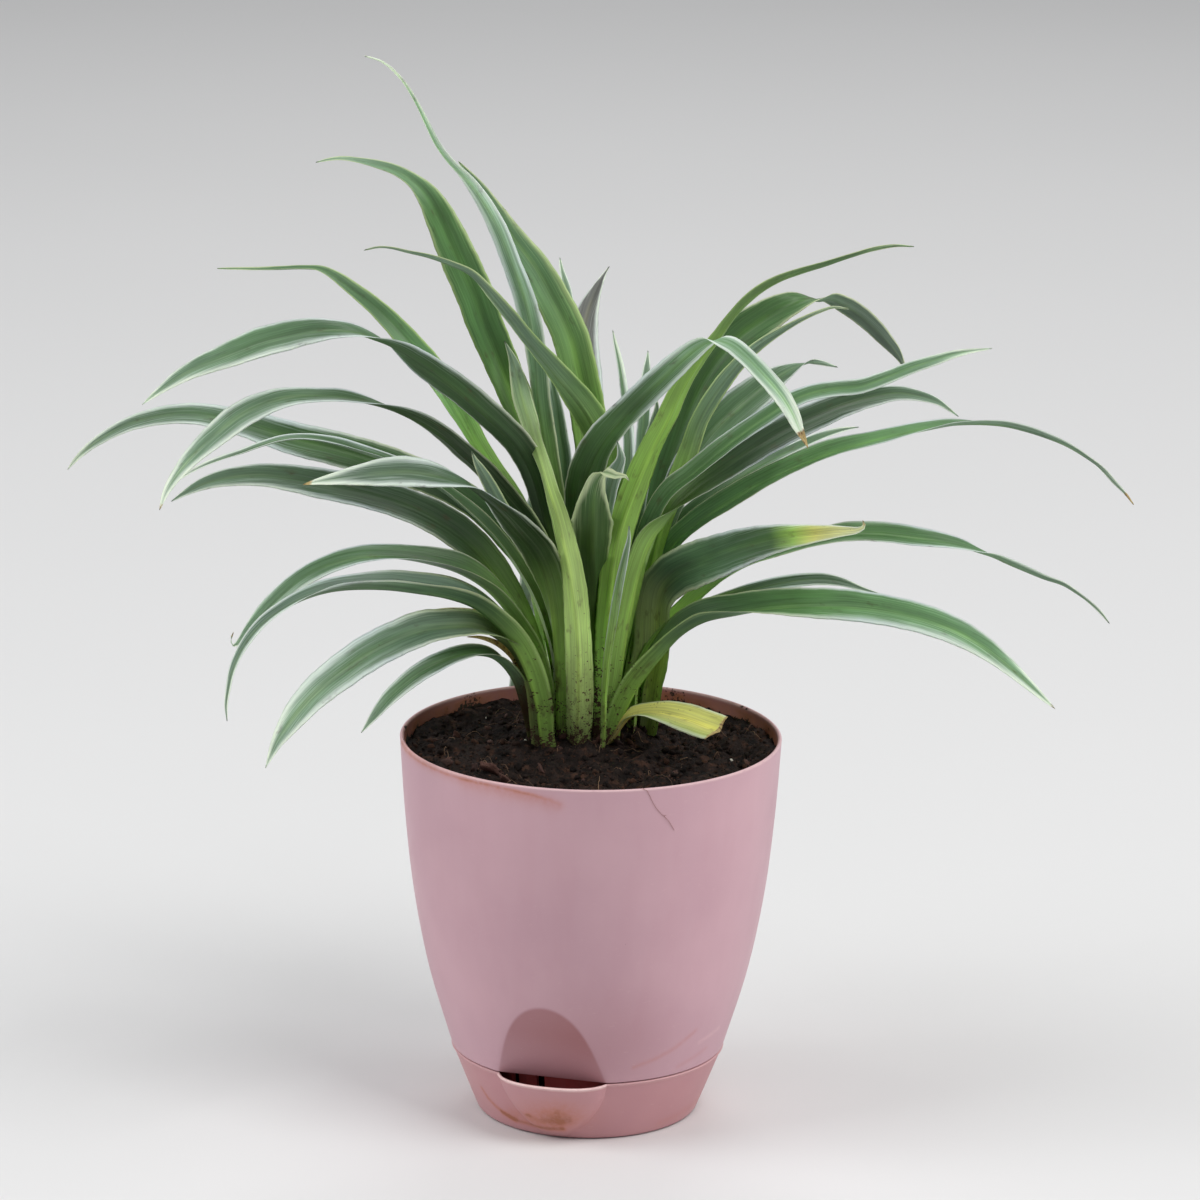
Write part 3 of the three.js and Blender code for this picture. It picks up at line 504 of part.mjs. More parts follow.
    path: [[-5.1, 13.6, 117, 0.54, 0.84, 0.06, 7.4], [-5.5, 14, 129.4, 0.54, 0.84, 0.06, 7.8], [-7.6, 14, 149, 0.52, 0.85, 0.06, 9.2],
    [-10.3, 13.8, 171.9, 0.56, 0.82, 0.09, 10.4], [-14, 13.4, 193, 0.6, 0.79, 0.14, 11.4], [-17.8, 13.1, 209.2, 0.64, 0.74, 0.2, 12.1],
    [-22.3, 12.3, 222.9, 0.61, 0.73, 0.3, 12.5], [-26.7, 10.9, 233.7, 0.73, 0.56, 0.39, 11.7], [-30.8, 9, 243.7, 0.9, 0.17, 0.41, 10.9],
    [-34.5, 6.7, 253.1, 0.92, 0.16, 0.36, 11.5], [-37.6, 4, 262.8, 0.92, 0.16, 0.37, 11.8], [-41, 1.6, 271.2, 0.89, 0.17, 0.42, 11.7],
    [-44.4, -0.8, 279.5, 0.9, 0.17, 0.41, 11.1], [-48.1, -3.3, 288.2, 0.88, 0.17, 0.44, 9.5], [-51.7, -5.6, 295.1, 0.78, 0.2, 0.6, 7.4],
    [-56.5, -7.7, 300.5, 0.4, 0.55, 0.73, 4.7], [-61.7, -9.7, 304, 0.07, 0.75, 0.66, 4], [-67.7, -11.8, 306.3, -0.05, 0.74, 0.67, 3.1],
    [-72.8, -13.6, 307.7, -0.17, 0.84, 0.51, 2.4], [-77.6, -15.3, 308.6, -0.23, 0.77, 0.59, 1.7], [-81.2, -16.6, 308.5, -0.3, 0.58, 0.76, 1],
    [-85.1, -18, 307.8, -0.3, 0.23, 0.93, 0.4]] },
  { name: 'leaf_left_3', fold: [[0, 36], [0.7, 12], [1, 12]],
    path: [[-9.2, 14.6, 117, 0.46, 0.88, 0.09, 6.5], [-9.7, 14.8, 124.7, 0.46, 0.88, 0.09, 6.8], [-9.9, 15, 132.3, 0.46, 0.88, 0.09, 7.2],
    [-12, 15.1, 147, 0.54, 0.84, 0.06, 8.2], [-14.6, 15.3, 161, 0.62, 0.76, 0.17, 8.9], [-19.8, 15.6, 172.3, 0.61, 0.71, 0.35, 9.4],
    [-26.8, 16, 181.8, 0.57, 0.7, 0.42, 9.9], [-35.6, 17.9, 190.7, 0.56, 0.68, 0.46, 10.4], [-45.2, 21.4, 196.1, 0.5, 0.61, 0.61, 10.9],
    [-54.8, 25.7, 199.1, 0.45, 0.56, 0.69, 11.3], [-64.4, 30.5, 201.4, 0.42, 0.55, 0.72, 11.6], [-74.1, 35.6, 202.9, 0.31, 0.35, 0.89, 11.2],
    [-83.8, 40.6, 204.2, 0.25, 0.3, 0.92, 11.1], [-93.5, 45.2, 205.2, 0.26, 0.3, 0.92, 10.8], [-103.3, 50, 206.8, 0.32, 0.3, 0.9, 9.9],
    [-113.1, 55.2, 208.4, 0.27, 0.3, 0.92, 8.6], [-120.4, 59.1, 209, 0.21, 0.3, 0.93, 7.7], [-127, 62.7, 209.1, 0.11, 0.29, 0.95, 7.1],
    [-134.7, 66.9, 208, -0.06, 0.28, 0.96, 6.4], [-143.1, 71.7, 205.4, -0.2, 0.27, 0.94, 5.5], [-151.5, 76.9, 201.5, -0.36, 0.24, 0.9, 4.5],
    [-158.4, 81.4, 196.8, -0.51, 0.21, 0.84, 3.6], [-164.3, 85.8, 191.7, -0.6, 0.19, 0.77, 2.6], [-168.5, 89.2, 187.1, -0.71, 0.16, 0.69, 1.6],
    [-171.4, 92, 183, -0.81, 0.12, 0.57, 0.4]] },
  { name: 'leaf_left_4', fold: [[0, 34], [0.7, 22], [1, 22]],
    path: [[-9.3, 9.7, 117.9, 0.35, 0.93, 0.06, 4.2], [-9.7, 9.8, 129.1, 0.35, 0.93, 0.06, 4.5], [-10, 10, 140.3, 0.35, 0.93, 0.06, 4.7],
    [-13.9, 10.2, 156.6, 0.34, 0.93, 0.11, 5.6], [-20.3, 11.3, 170.8, 0.28, 0.95, 0.16, 6.2], [-29.2, 12.5, 183.4, 0.2, 0.97, 0.14, 6.8],
    [-38.7, 14.2, 192.6, 0.25, 0.97, 0.04, 7.2], [-48.2, 17.2, 199.1, 0.32, 0.95, -0.06, 7.6], [-57.1, 20.6, 203.3, 0.34, 0.94, -0.07, 7.3],
    [-65.7, 23.9, 205.9, 0.34, 0.94, -0.06, 6.7], [-73.7, 26.8, 207.7, 0.34, 0.94, -0.02, 6.2], [-80.1, 29.3, 209, 0.37, 0.93, 0.01, 5.8],
    [-86.5, 31.9, 209.6, 0.38, 0.92, 0.08, 5.3], [-93, 34.6, 209.3, 0.37, 0.91, 0.19, 4.8], [-99.4, 37.6, 207.7, 0.31, 0.89, 0.33, 4.3],
    [-106, 40.8, 204.8, 0.26, 0.88, 0.4, 3.8], [-112.5, 44.3, 201.4, 0.24, 0.86, 0.45, 3.2], [-119.1, 48, 198.2, 0.21, 0.83, 0.52, 2.5],
    [-124.8, 51.2, 195.1, 0.07, 0.76, 0.65, 1.8], [-129.8, 54.4, 191.6, -0.2, 0.61, 0.76, 1.1], [-134.8, 58, 187, -0.63, 0.2, 0.75, 0.4]] },
  { name: 'leaf_upper_right_3', fold: [[0, 34], [0.7, 14], [1, 14]],
    path: [[10.2, 25.5, 114, 0.38, -0.92, -0.03, 6.7], [10.7, 25.8, 121.7, 0.38, -0.92, -0.03, 7.1], [11, 26, 129.4, 0.38, -0.92, -0.03, 7.4],
    [15.1, 26.1, 152.5, 0.41, -0.91, -0.04, 9.6], [19.3, 22.9, 173.1, 0.47, -0.88, -0.01, 11], [23.4, 21.5, 189.8, 0.58, -0.81, -0.02, 12],
    [29.5, 24.2, 203.8, 0.8, -0.51, -0.31, 10.7], [37, 28.1, 213.6, 0.76, -0.23, -0.61, 11.7], [44.2, 32.3, 219.8, 0.67, -0.25, -0.7, 12],
    [51.1, 37, 224.6, 0.66, -0.25, -0.71, 11.1], [56.9, 41.3, 228.2, 0.59, -0.25, -0.76, 7.6], [61.6, 44.8, 230.3, 0.59, -0.41, -0.7, 4.3],
    [65.2, 47.5, 231.5, 0.58, -0.81, 0.05, 3.5], [67.4, 49.1, 231.8, 0.44, -0.61, 0.66, 3], [71.3, 51.8, 230.9, 0.4, -0.09, 0.91, 2],
    [74.6, 54.3, 229.5, 0.29, 0.16, 0.94, 1.3], [76.9, 56, 228.5, 0.31, 0.16, 0.94, 0.4]] },
  { name: 'leaf_tall_rear', fold: [[0, 35], [0.7, 14], [1, 14]],
    path: [[-0.4, 15.5, 117, 0.69, 0.73, 0.03, 7.1], [-0.4, 16, 125.5, 0.69, 0.73, 0.03, 7.4], [0.6, 14.5, 149, 0.7, 0.72, 0.01, 9.2],
    [1.3, 13.4, 168.9, 0.77, 0.64, 0.02, 10.3], [1.1, 12.5, 188.6, 0.83, 0.56, 0.05, 11.2], [-0, 11.9, 208.1, 0.87, 0.49, 0.1, 12],
    [-2, 11.5, 222.7, 0.98, 0.11, 0.18, 11.2], [-4.7, 11.1, 235.5, 0.97, 0.12, 0.21, 11.5], [-7.9, 10.8, 248.3, 0.93, 0.15, 0.34, 11.5],
    [-13.3, 10.6, 259.7, 0.87, 0.17, 0.46, 10.9], [-19.3, 10.3, 270.2, 0.81, 0.19, 0.56, 9.6], [-26.1, 10.2, 279.3, 0.79, 0.2, 0.58, 7.7],
    [-31.4, 10.1, 287.4, 0.84, 0.19, 0.52, 5.6], [-36.1, 10, 294.6, 0.79, 0.2, 0.58, 3.7], [-39.5, 10, 299, 0.75, 0.21, 0.62, 2.2],
    [-42.6, 10, 302.7, 0.76, 0.21, 0.62, 0.4]] },
  { name: 'leaf_center_short_1', fold: [[0, 30], [0.7, 18], [1, 18]],
    path: [[-5.9, 10.8, 117.3, 0.63, 0.76, 0.13, 3.3], [-6.1, 10.9, 133.6, 0.63, 0.76, 0.13, 3.5], [-6.3, 11, 149.9, 0.63, 0.76, 0.13, 3.7],
    [-8.4, 9.8, 176.3, 0.62, 0.78, 0.08, 5.5], [-8.9, 8.9, 195.9, 0.8, 0.6, 0.05, 5.4], [-9.7, 7.9, 210.6, 0.98, 0.1, 0.14, 5.3],
    [-11, 7.4, 218.8, 0.98, 0.11, 0.15, 5.3], [-12, 6.8, 226.9, 0.98, 0.1, 0.15, 4], [-13, 6.4, 232.4, 0.97, 0.12, 0.21, 2.5],
    [-13.6, 6.2, 235.9, 0.99, 0.1, 0.12, 1.1], [-13.7, 6, 238.5, 0.99, 0.04, -0.11, 0.4]] },
  { name: 'leaf_center_short_2', fold: [[0, 30], [0.7, 20], [1, 20]],
    path: [[8.6, 15.5, 117, 0.89, -0.43, -0.17, 3.1], [9.1, 15.8, 139.4, 0.89, -0.43, -0.17, 3.2], [9.3, 16, 161.8, 0.89, -0.43, -0.17, 3.4],
    [12.2, 14.8, 181.7, 0.85, -0.51, -0.15, 5], [15.1, 13.6, 201.4, 0.98, -0.11, -0.17, 5.3], [17.1, 12.9, 212.9, 0.97, -0.12, -0.19, 4.7],
    [18.9, 12.4, 221.7, 0.97, -0.12, -0.22, 2.8], [19.4, 12.2, 225, 0.99, -0.09, -0.1, 1.6], [19.1, 12, 228.6, 0.94, 0.01, 0.33, 0.4]] },
  { name: 'leaf_right_3', fold: [[0, 36], [0.7, 18], [1, 18]],
    path: [[9.5, 21.5, 115.2, 0.56, -0.83, 0.04, 3.9], [10, 21.8, 124.5, 0.56, -0.83, 0.04, 4.1], [10.3, 22, 133.8, 0.56, -0.83, 0.04, 4.3],
    [13.2, 25.3, 152.7, 0.56, -0.83, 0.09, 5.5], [17.4, 27.5, 168.5, 0.58, -0.81, 0.04, 6.2], [23.6, 29.7, 180.5, 0.56, -0.83, -0.04, 6.8],
    [32.1, 33.3, 188.5, 0.55, -0.83, -0.12, 6.9], [41.6, 38.8, 194, 0.59, -0.78, -0.18, 5.9], [52.8, 46.7, 198.7, 0.65, -0.69, -0.31, 4.8],
    [64.1, 56.2, 202.1, 0.61, -0.5, -0.61, 3.5], [72.3, 63.9, 203.9, 0.4, -0.28, -0.87, 2.6], [78.9, 70.2, 204.4, 0.27, -0.28, -0.92, 1.9],
    [84.9, 76, 204, 0.16, -0.28, -0.95, 0.4]] },
  { name: 'leaf_lower_left_5', fold: [[0, 34], [0.7, 20], [1, 20]],
    path: [[-12.7, 11, 116.1, 0.54, 0.82, 0.16, 2.8], [-13.4, 11, 124.8, 0.54, 0.82, 0.16, 2.9], [-13.7, 11, 133.4, 0.54, 0.82, 0.16, 3.1],
    [-16.9, 9.8, 145.2, 0.29, 0.93, 0.24, 4], [-22.6, 8, 153.8, 0.02, 0.97, 0.25, 4.6], [-31.4, 5.7, 158.9, -0.14, 0.98, 0.17, 5],
    [-41.4, 2.6, 161.3, -0.21, 0.95, 0.22, 4.1], [-50.7, -0.6, 161.4, -0.29, 0.89, 0.35, 3.1], [-58.7, -3.6, 160.2, -0.39, 0.8, 0.46, 2.1],
    [-64.9, -5.9, 158.2, -0.48, 0.57, 0.67, 1.2], [-70.1, -8, 156.1, -0.45, 0.28, 0.85, 0.4]] },
  { name: 'leaf_dried_scrap', fold: [[0, 30], [0.7, 20], [1, 20]],
    path: [[-18.5, 6.1, 117, -0.86, 0.49, -0.11, 1.5], [-19.4, 6.1, 124.3, -0.86, 0.49, -0.11, 1.5], [-19.9, 6, 131.5, -0.86, 0.49, -0.11, 1.6],
    [-22.2, 2.8, 140.6, -0.77, 0.64, 0.03, 2.3], [-24.7, 0.3, 147.1, -0.83, 0.46, -0.31, 2.5], [-28.7, -1.8, 151.6, -0.55, -0.18, -0.81, 1.9],
    [-32.8, -3.6, 154, -0.31, -0.21, -0.93, 1.6], [-35.9, -4.9, 155, -0.11, -0.21, -0.97, 0.9], [-38.7, -6, 155.3, 0.09, -0.21, -0.97, 0.4]] },
  { name: 'leaf_upper_left_2', fold: [[0, 35], [0.7, 20], [1, 20]],
    path: [[-6.3, 18.3, 117, 0.54, 0.84, 0.06, 4.8], [-6.6, 18.7, 124.1, 0.54, 0.84, 0.06, 5.1], [-6.8, 19, 131.2, 0.54, 0.84, 0.06, 5.3],
    [-10.8, 21.4, 153.5, 0.55, 0.83, -0.01, 6.5], [-15.8, 24.6, 173.8, 0.51, 0.86, 0.02, 7.2], [-23.2, 27.8, 189.2, 0.46, 0.88, 0.09, 7.8],
    [-30.9, 30.5, 200.2, 0.46, 0.88, 0.11, 8.3], [-36.7, 32.8, 208.6, 0.56, 0.82, 0.13, 8.6], [-41.9, 35.2, 217.1, 0.72, 0.65, 0.24, 8.4],
    [-47.3, 38, 225.1, 0.8, 0.38, 0.46, 7.8], [-53.1, 40.9, 232.1, 0.77, 0.23, 0.6, 7.6], [-59.3, 44, 238.5, 0.74, 0.23, 0.63, 7.3],
    [-65.4, 47.3, 244.3, 0.71, 0.24, 0.66, 6.3], [-71.5, 50.7, 249.1, 0.67, 0.47, 0.58, 5.5], [-78, 54.7, 253.2, 0.66, 0.6, 0.45, 4.9],
    [-82.9, 57.9, 256, 0.62, 0.74, 0.27, 4.5], [-87.8, 61.1, 257.7, 0.54, 0.83, 0.15, 4.1], [-94.4, 65.1, 257.2, 0.49, 0.85, 0.22, 3.5],
    [-101, 69.4, 255.8, 0.51, 0.83, 0.2, 2.8], [-107.6, 73.9, 254.5, 0.5, 0.81, 0.31, 2.1], [-114.3, 78.6, 253.4, 0.47, 0.76, 0.46, 1.3],
    [-121.7, 84, 252.1, -0, 0.26, 0.97, 0.4]] },
  { name: 'leaf_upper_right_1', fold: [[0, 34], [0.7, 14], [1, 14]],
    path: [[8.4, 19.2, 117.3, 0.55, -0.83, 0.11, 7.5], [9, 20, 131.1, 0.55, -0.83, 0.11, 7.9], [11.3, 23.9, 153.1, 0.57, -0.82, 0.06, 9.6],
    [14.2, 27, 171.9, 0.62, -0.79, -0.02, 10.7], [17.8, 29.1, 187.8, 0.71, -0.7, -0.13, 11.5], [22.1, 30.6, 200.5, 0.78, -0.59, -0.21, 12.2],
    [26.6, 32.1, 213.1, 0.83, -0.49, -0.26, 12.8], [31.5, 33.3, 224.9, 0.9, -0.18, -0.41, 12.3], [37.7, 34.6, 235.3, 0.8, -0.21, -0.57, 12.6],
    [44.8, 36.1, 242.8, 0.65, -0.24, -0.72, 12.6], [52.3, 37.7, 248, 0.54, -0.26, -0.8, 11.4], [59.5, 40, 251.8, 0.46, -0.27, -0.85, 8.5],
    [65.2, 42.4, 253.6, 0.44, -0.87, -0.23, 7.8], [68.7, 44, 253.7, 0.44, -0.9, 0, 7.4], [70.7, 45, 253.4, 0.46, -0.82, 0.34, 7.1],
    [73.2, 46.4, 253.4, 0.41, -0.62, 0.67, 6.8], [77.8, 49.2, 250.9, 0.7, -0.28, 0.65, 6.2], [83.1, 53.2, 246.8, 0.59, 0.11, 0.8, 6],
    [88.2, 57.7, 241.6, 0.73, 0.08, 0.68, 5.7], [92.6, 62.3, 236, 0.76, 0.07, 0.64, 4.8], [96.1, 66.3, 231.2, 0.83, 0.04, 0.56, 3.5],
    [98.2, 69.4, 227.3, 0.9, 0.01, 0.43, 1.6], [99.7, 72, 223.7, 0.94, -0.01, 0.34, 0.4]] },
  { name: 'leaf_rear_short_2', fold: [[0, 30], [0.7, 20], [1, 20]],
    path: [[7, 17.4, 117, 0.89, -0.45, -0.06, 2.5], [7.3, 17.7, 135.8, 0.89, -0.45, -0.06, 2.7], [7.5, 18, 154.6, 0.89, -0.45, -0.06, 2.8],
    [9.2, 21.9, 173.2, 0.86, -0.5, 0.11, 3.7], [10.5, 30, 190.7, 0.88, -0.44, 0.18, 4.3], [11, 38.8, 204.8, 0.94, -0.26, 0.22, 4],
    [10.3, 48.8, 214.7, 0.99, -0.02, 0.16, 3.2], [9.2, 56.4, 220.7, 0.98, -0.01, 0.19, 2.6], [8.2, 63.5, 225.6, 0.97, 0.01, 0.24, 2.2],
    [6.9, 70.4, 229.9, 0.95, 0.02, 0.3, 1.8], [6.1, 74.4, 232.2, 0.96, 0.02, 0.28, 1], [5.5, 78, 234.4, 0.99, -0.01, 0.16, 0.4]] },
  { name: 'leaf_rear_short_1', fold: [[0, 30], [0.7, 18], [1, 18]],
    path: [[-0.9, 19.3, 117, 1, 0.07, 0, 2.8], [-0.9, 19.6, 145.3, 1, 0.07, 0, 3], [-0.9, 20, 173.6, 1, 0.07, 0, 3.2],
    [-2.2, 24.1, 198.6, 0.87, 0.49, -0.05, 4.3], [-4.7, 33.1, 222.2, 0.8, 0.56, -0.22, 4.8], [-7.2, 48.3, 241.3, 1, 0.07, 0.06, 3.5],
    [-9.3, 61.4, 252, 0.98, 0.1, 0.2, 2.6], [-11, 67.7, 256.5, 0.98, 0.1, 0.19, 1.6], [-11.7, 72, 259.4, 1, 0.06, 0.02, 0.4]] },
  { name: 'leaf_rear_grey', fold: [[0, 35], [0.7, 18], [1, 18]],
    path: [[1.7, 20.2, 117, 0.59, -0.8, 0.14, 5.9], [1.8, 20.6, 132.1, 0.59, -0.8, 0.14, 6.2], [1.9, 21, 147.2, 0.59, -0.8, 0.14, 6.5],
    [1.6, 27.9, 171.5, 0.62, -0.72, 0.3, 8.6], [0.7, 39.2, 194.8, 0.7, -0.6, 0.39, 10.2], [-1.2, 49.7, 211.8, 0.99, -0.02, 0.14, 9.2],
    [-2.9, 60.1, 224, 0.98, -0.01, 0.18, 10.2], [-4, 68.1, 231.9, 1, -0.03, 0.07, 10.3], [-3.2, 76, 239, 0.98, -0.09, -0.16, 8.4],
    [-1.3, 82.2, 243.9, 0.94, -0.12, -0.31, 5.2], [0.9, 87.5, 247.7, 0.91, -0.14, -0.4, 2.6], [2.4, 90.9, 249.9, 0.89, -0.15, -0.44, 1.3],
    [4, 94, 251.9, 0.86, -0.16, -0.49, 0.4]] },
  { name: 'leaf_rear_short_3', fold: [[0, 30], [0.7, 20], [1, 20]],
    path: [[8.7, 19.2, 117.3, 0.9, -0.44, 0.01, 2.5], [9.2, 19.6, 135.7, 0.9, -0.44, 0.01, 2.7], [9.4, 20, 154.1, 0.9, -0.44, 0.01, 2.8],
    [12.3, 30.2, 177.6, 0.83, -0.53, 0.2, 3.9], [14.6, 46, 196.5, 0.89, -0.35, 0.3, 4.4], [15.5, 59.3, 206.3, 1, -0.05, -0, 4.2],
    [16.1, 72, 213.1, 1, -0.04, 0.02, 3.9], [16.4, 81.3, 217.5, 1, -0.04, 0.01, 3.6], [16.7, 88.3, 220.5, 1, -0.05, -0, 2.3],
    [17, 96, 223.7, 1, -0.04, 0.02, 0.4]] },
  { name: 'leaf_back_1', fold: [[0, 40], [0.7, 12], [1, 12]],
    path: [[-3, 17, 115, 0.97, 0.21, 0.1, 6.8], [-6, 23, 140, 0.98, 0.17, 0.05, 8.3], [-9, 36, 168, 0.99, 0.12, 0.04, 9.7],
    [-12, 56, 186, 0.99, 0.09, 0.09, 10.7], [-15, 80, 184, 0.96, 0.21, 0.16, 10.3], [-19, 102, 166, 0.93, 0.34, 0.12, 8.2],
    [-22, 118, 138, 0.91, 0.41, 0.09, 5.6], [-24, 126, 108, 0.89, 0.46, 0.03, 2.7], [-25, 129, 90, 0.87, 0.49, 0.03, 0.4]] },
  { name: 'leaf_back_2', fold: [[0, 40], [0.7, 12], [1, 12]],
    path: [[4, 18, 115, 0.99, -0.07, -0.1, 6.2], [7, 25, 142, 0.99, -0.04, -0.1, 7.8], [10, 38, 168, 0.99, -0.03, -0.1, 9],
    [12, 58, 182, 0.99, -0.02, -0.11, 10], [12, 82, 176, 0.99, -0.07, -0.15, 8.7], [11, 102, 154, 0.97, -0.17, -0.14, 6.4],
    [10, 115, 126, 0.96, -0.24, -0.11, 3.7], [9, 121, 98, 0.95, -0.3, -0.07, 0.4]] },
  { name: 'leaf_back_3', fold: [[0, 42], [0.7, 14], [1, 14]],
    path: [[0, 21, 115, 1, -0.01, 0.04, 5.6], [0, 28, 132, 1, -0.03, -0.02, 6.7], [1, 42, 148, 1, -0.05, -0.02, 7.7],
    [2, 64, 156, 1, -0.02, 0, 8.7], [2, 88, 150, 1, -0.02, -0, 8.2], [3, 108, 130, 1, -0.03, 0.02, 6],
    [3, 121, 100, 1, -0.01, -0.03, 3.1], [2, 126, 78, 1, -0.01, -0.06, 0.4]] },
  { name: 'leaf_back_4', fold: [[0, 42], [0.7, 14], [1, 14]],
    path: [[-9, 18, 115, 0.96, 0.25, 0.09, 5.8], [-12, 27, 134, 0.98, 0.18, 0.03, 7.2], [-15, 44, 152, 0.99, 0.12, 0.05, 8.3],
    [-18, 66, 158, 0.98, 0.13, 0.16, 9.3], [-20, 86, 148, 0.94, 0.29, 0.19, 8.3], [-23, 101, 126, 0.89, 0.45, 0.08, 6],
    [-27, 110, 98, 0.85, 0.52, -0.01, 3.2], [-30, 113, 76, 0.83, 0.56, -0.07, 0.4]] },
  { name: 'leaf_back_5', fold: [[0, 42], [0.7, 14], [1, 14]],
    path: [[9, 18, 115, 0.98, -0.1, -0.17, 5.3], [12, 26, 132, 0.99, -0.05, -0.11, 6.5], [14, 40, 148, 1, -0.01, -0.1, 7.5],
    [15, 60, 156, 0.99, -0.02, -0.14, 8.4], [15, 82, 148, 0.98, -0.11, -0.19, 7.5], [14, 99, 128, 0.96, -0.23, -0.17, 5.4],
    [13, 109, 100, 0.94, -0.33, -0.12, 2.5], [12, 112, 84, 0.92, -0.37, -0.14, 0.4]] }
];

// position, direction across and width at arc length q along a leaf's path
const sampler = (path) => {
  const P = path.map((r) => new THREE.Vector3(r[0], r[1], r[2]));
  const A = path.map((r) => new THREE.Vector3(r[3], r[4], r[5]));
  const W = path.map((r) => r[6]);
  const s = [0];
  for (let i = 1; i < P.length; i++) s.push(s[i - 1] + P[i].distanceTo(P[i - 1]));
  const slope = (i) => {
    if (i === 0) return P[1].clone().sub(P[0]).divideScalar(s[1]);
    const n = P.length - 1;
    if (i === n) return P[n].clone().sub(P[n - 1]).divideScalar(s[n] - s[n - 1]);
    const h0 = s[i] - s[i - 1], h1 = s[i + 1] - s[i];
    const d0 = P[i].clone().sub(P[i - 1]).divideScalar(h0), d1 = P[i + 1].clone().sub(P[i]).divideScalar(h1);
    return d0.multiplyScalar(h1).add(d1.multiplyScalar(h0)).divideScalar(h0 + h1);
  };
  const M = P.map((_, i) => slope(i));
  const length = s.at(-1);
  return {
    length,
    at: (q) => {
      let i = 0;
      while (i < s.length - 2 && q > s[i + 1]) i++;
      const h = s[i + 1] - s[i], u = THREE.MathUtils.clamp((q - s[i]) / h, 0, 1), u2 = u * u, u3 = u2 * u;
      const pos = P[i].clone().multiplyScalar(2 * u3 - 3 * u2 + 1).addScaledVector(M[i], h * (u3 - 2 * u2 + u))
        .addScaledVector(P[i + 1], -2 * u3 + 3 * u2).addScaledVector(M[i + 1], h * (u3 - u2));
      const tan = P[i].clone().multiplyScalar((6 * u2 - 6 * u) / h).addScaledVector(M[i], 3 * u2 - 4 * u + 1)
        .addScaledVector(P[i + 1], (-6 * u2 + 6 * u) / h).addScaledVector(M[i + 1], 3 * u2 - 2 * u).normalize();
      const across = A[i].clone().lerp(A[i + 1], u);
      across.addScaledVector(tan, -across.dot(tan)).normalize();
      return { pos, tan, across, up: across.clone().cross(tan), width: THREE.MathUtils.lerp(W[i], W[i + 1], u) };
    },
  };
};

const foldAt = (fold, t) => {
  if (t <= fold[0][0]) return fold[0][1];
  for (let i = 1; i < fold.length; i++) {
    if (t <= fold[i][0]) return THREE.MathUtils.lerp(fold[i - 1][1], fold[i][1], (t - fold[i - 1][0]) / (fold[i][0] - fold[i - 1][0]));
  }
  return fold.at(-1)[1];
};

// extra sections for these leaves
const MORE_SECTIONS = {leaf_center_curled: 3, leaf_left_2: 1, leaf_lower_left_1: 5};

// closed solid of one leaf: a chevron section swept from its foot to its tip.
// clear > 0 gives the same leaf with that much clearance all round; start is the
// arc length at which the solid begins.
const leafSolid = (leaf, clear = 0, start = 0) => {
  const curve = sampler(leaf.path);
  const n = THREE.MathUtils.clamp(Math.round(curve.length / 15), 6, 14) + (MORE_SECTIONS[leaf.name] ?? 0);
  const m = clear ? 6 : 4;
  const verts = [], tris = [];
  for (let i = 0; i <= n; i++) {
    const q = THREE.MathUtils.lerp(start, curve.length, i / n), t = q / curve.length;
    const { pos, across, up, width: blade } = curve.at(q);
    const width = blade * THREE.MathUtils.lerp(FOOT_NARROW, 1, THREE.MathUtils.smoothstep(q, 0, FOOT_LENGTH));
    const w = Math.max(width, 0.5) / 2 + clear;
    const depth = width / 2 * Math.tan(THREE.MathUtils.degToRad(foldAt(leaf.fold, t)));
    const half = Math.min(LEAF_KEEL_T, 0.4 + width * 0.08) / 2 + clear * 1.4;
    const pt = (x, z) => pos.clone().addScaledVector(across, x).addScaledVector(up, z).toArray();
    if (clear) verts.push(pt(-w, clear), pt(-w, -clear), pt(0, -depth - half), pt(w, -clear), pt(w, clear), pt(0, -depth + half));
    else verts.push(pt(-w, 0), pt(0, -depth - half), pt(w, 0), pt(0, -depth + half));
  }
  for (let i = 0; i < n; i++) for (let k = 0; k < m; k++) {
    const a = m * i + k, b = m * i + (k + 1) % m, c = a + m, d = b + m;
    // both faces of the blade are split along the same diagonals
    if (k < m - 2) tris.push([a, d, b], [a, c, d]);
    else tris.push([a, c, b], [c, d, b]);
  }
  const cap = (o, flip) => {
    const f = clear ? [[0, 1, 2], [0, 2, 5], [5, 2, 3], [5, 3, 4]] : [[0, 1, 3], [3, 1, 2]];
    for (const [a, b, c] of f) tris.push(flip ? [o + a, o + c, o + b] : [o + a, o + b, o + c]);
  };
  cap(0, false);
  cap(m * n, true);
  return toSolid(fromLists(verts, tris));
};

// true when every edge joins two triangles, none is shorter than the sliver limit,
// and the whole is one body
const wellFormed = (geometry) => {
  const g = mergeVertices(geometry.clone(), 5e-3);
  const p = g.attributes.position, ends = new Map();
  for (let i = 0; i < g.index.count; i += 3) for (let k = 0; k < 3; k++) {
    const u = g.index.getX(i + k), v = g.index.getX(i + (k + 1) % 3);
    if (u === v) return false;
    const key = u < v ? `${u}_${v}` : `${v}_${u}`;
    ends.set(key, (ends.get(key) ?? 0) + 1);
    if (Math.hypot(p.getX(u) - p.getX(v), p.getY(u) - p.getY(v), p.getZ(u) - p.getZ(v)) < SLIVER / 4) return false;
  }
  if ([...ends.values()].some((c) => c !== 2)) return false;
  return toSolid(geometry).decompose().length === 1;
};

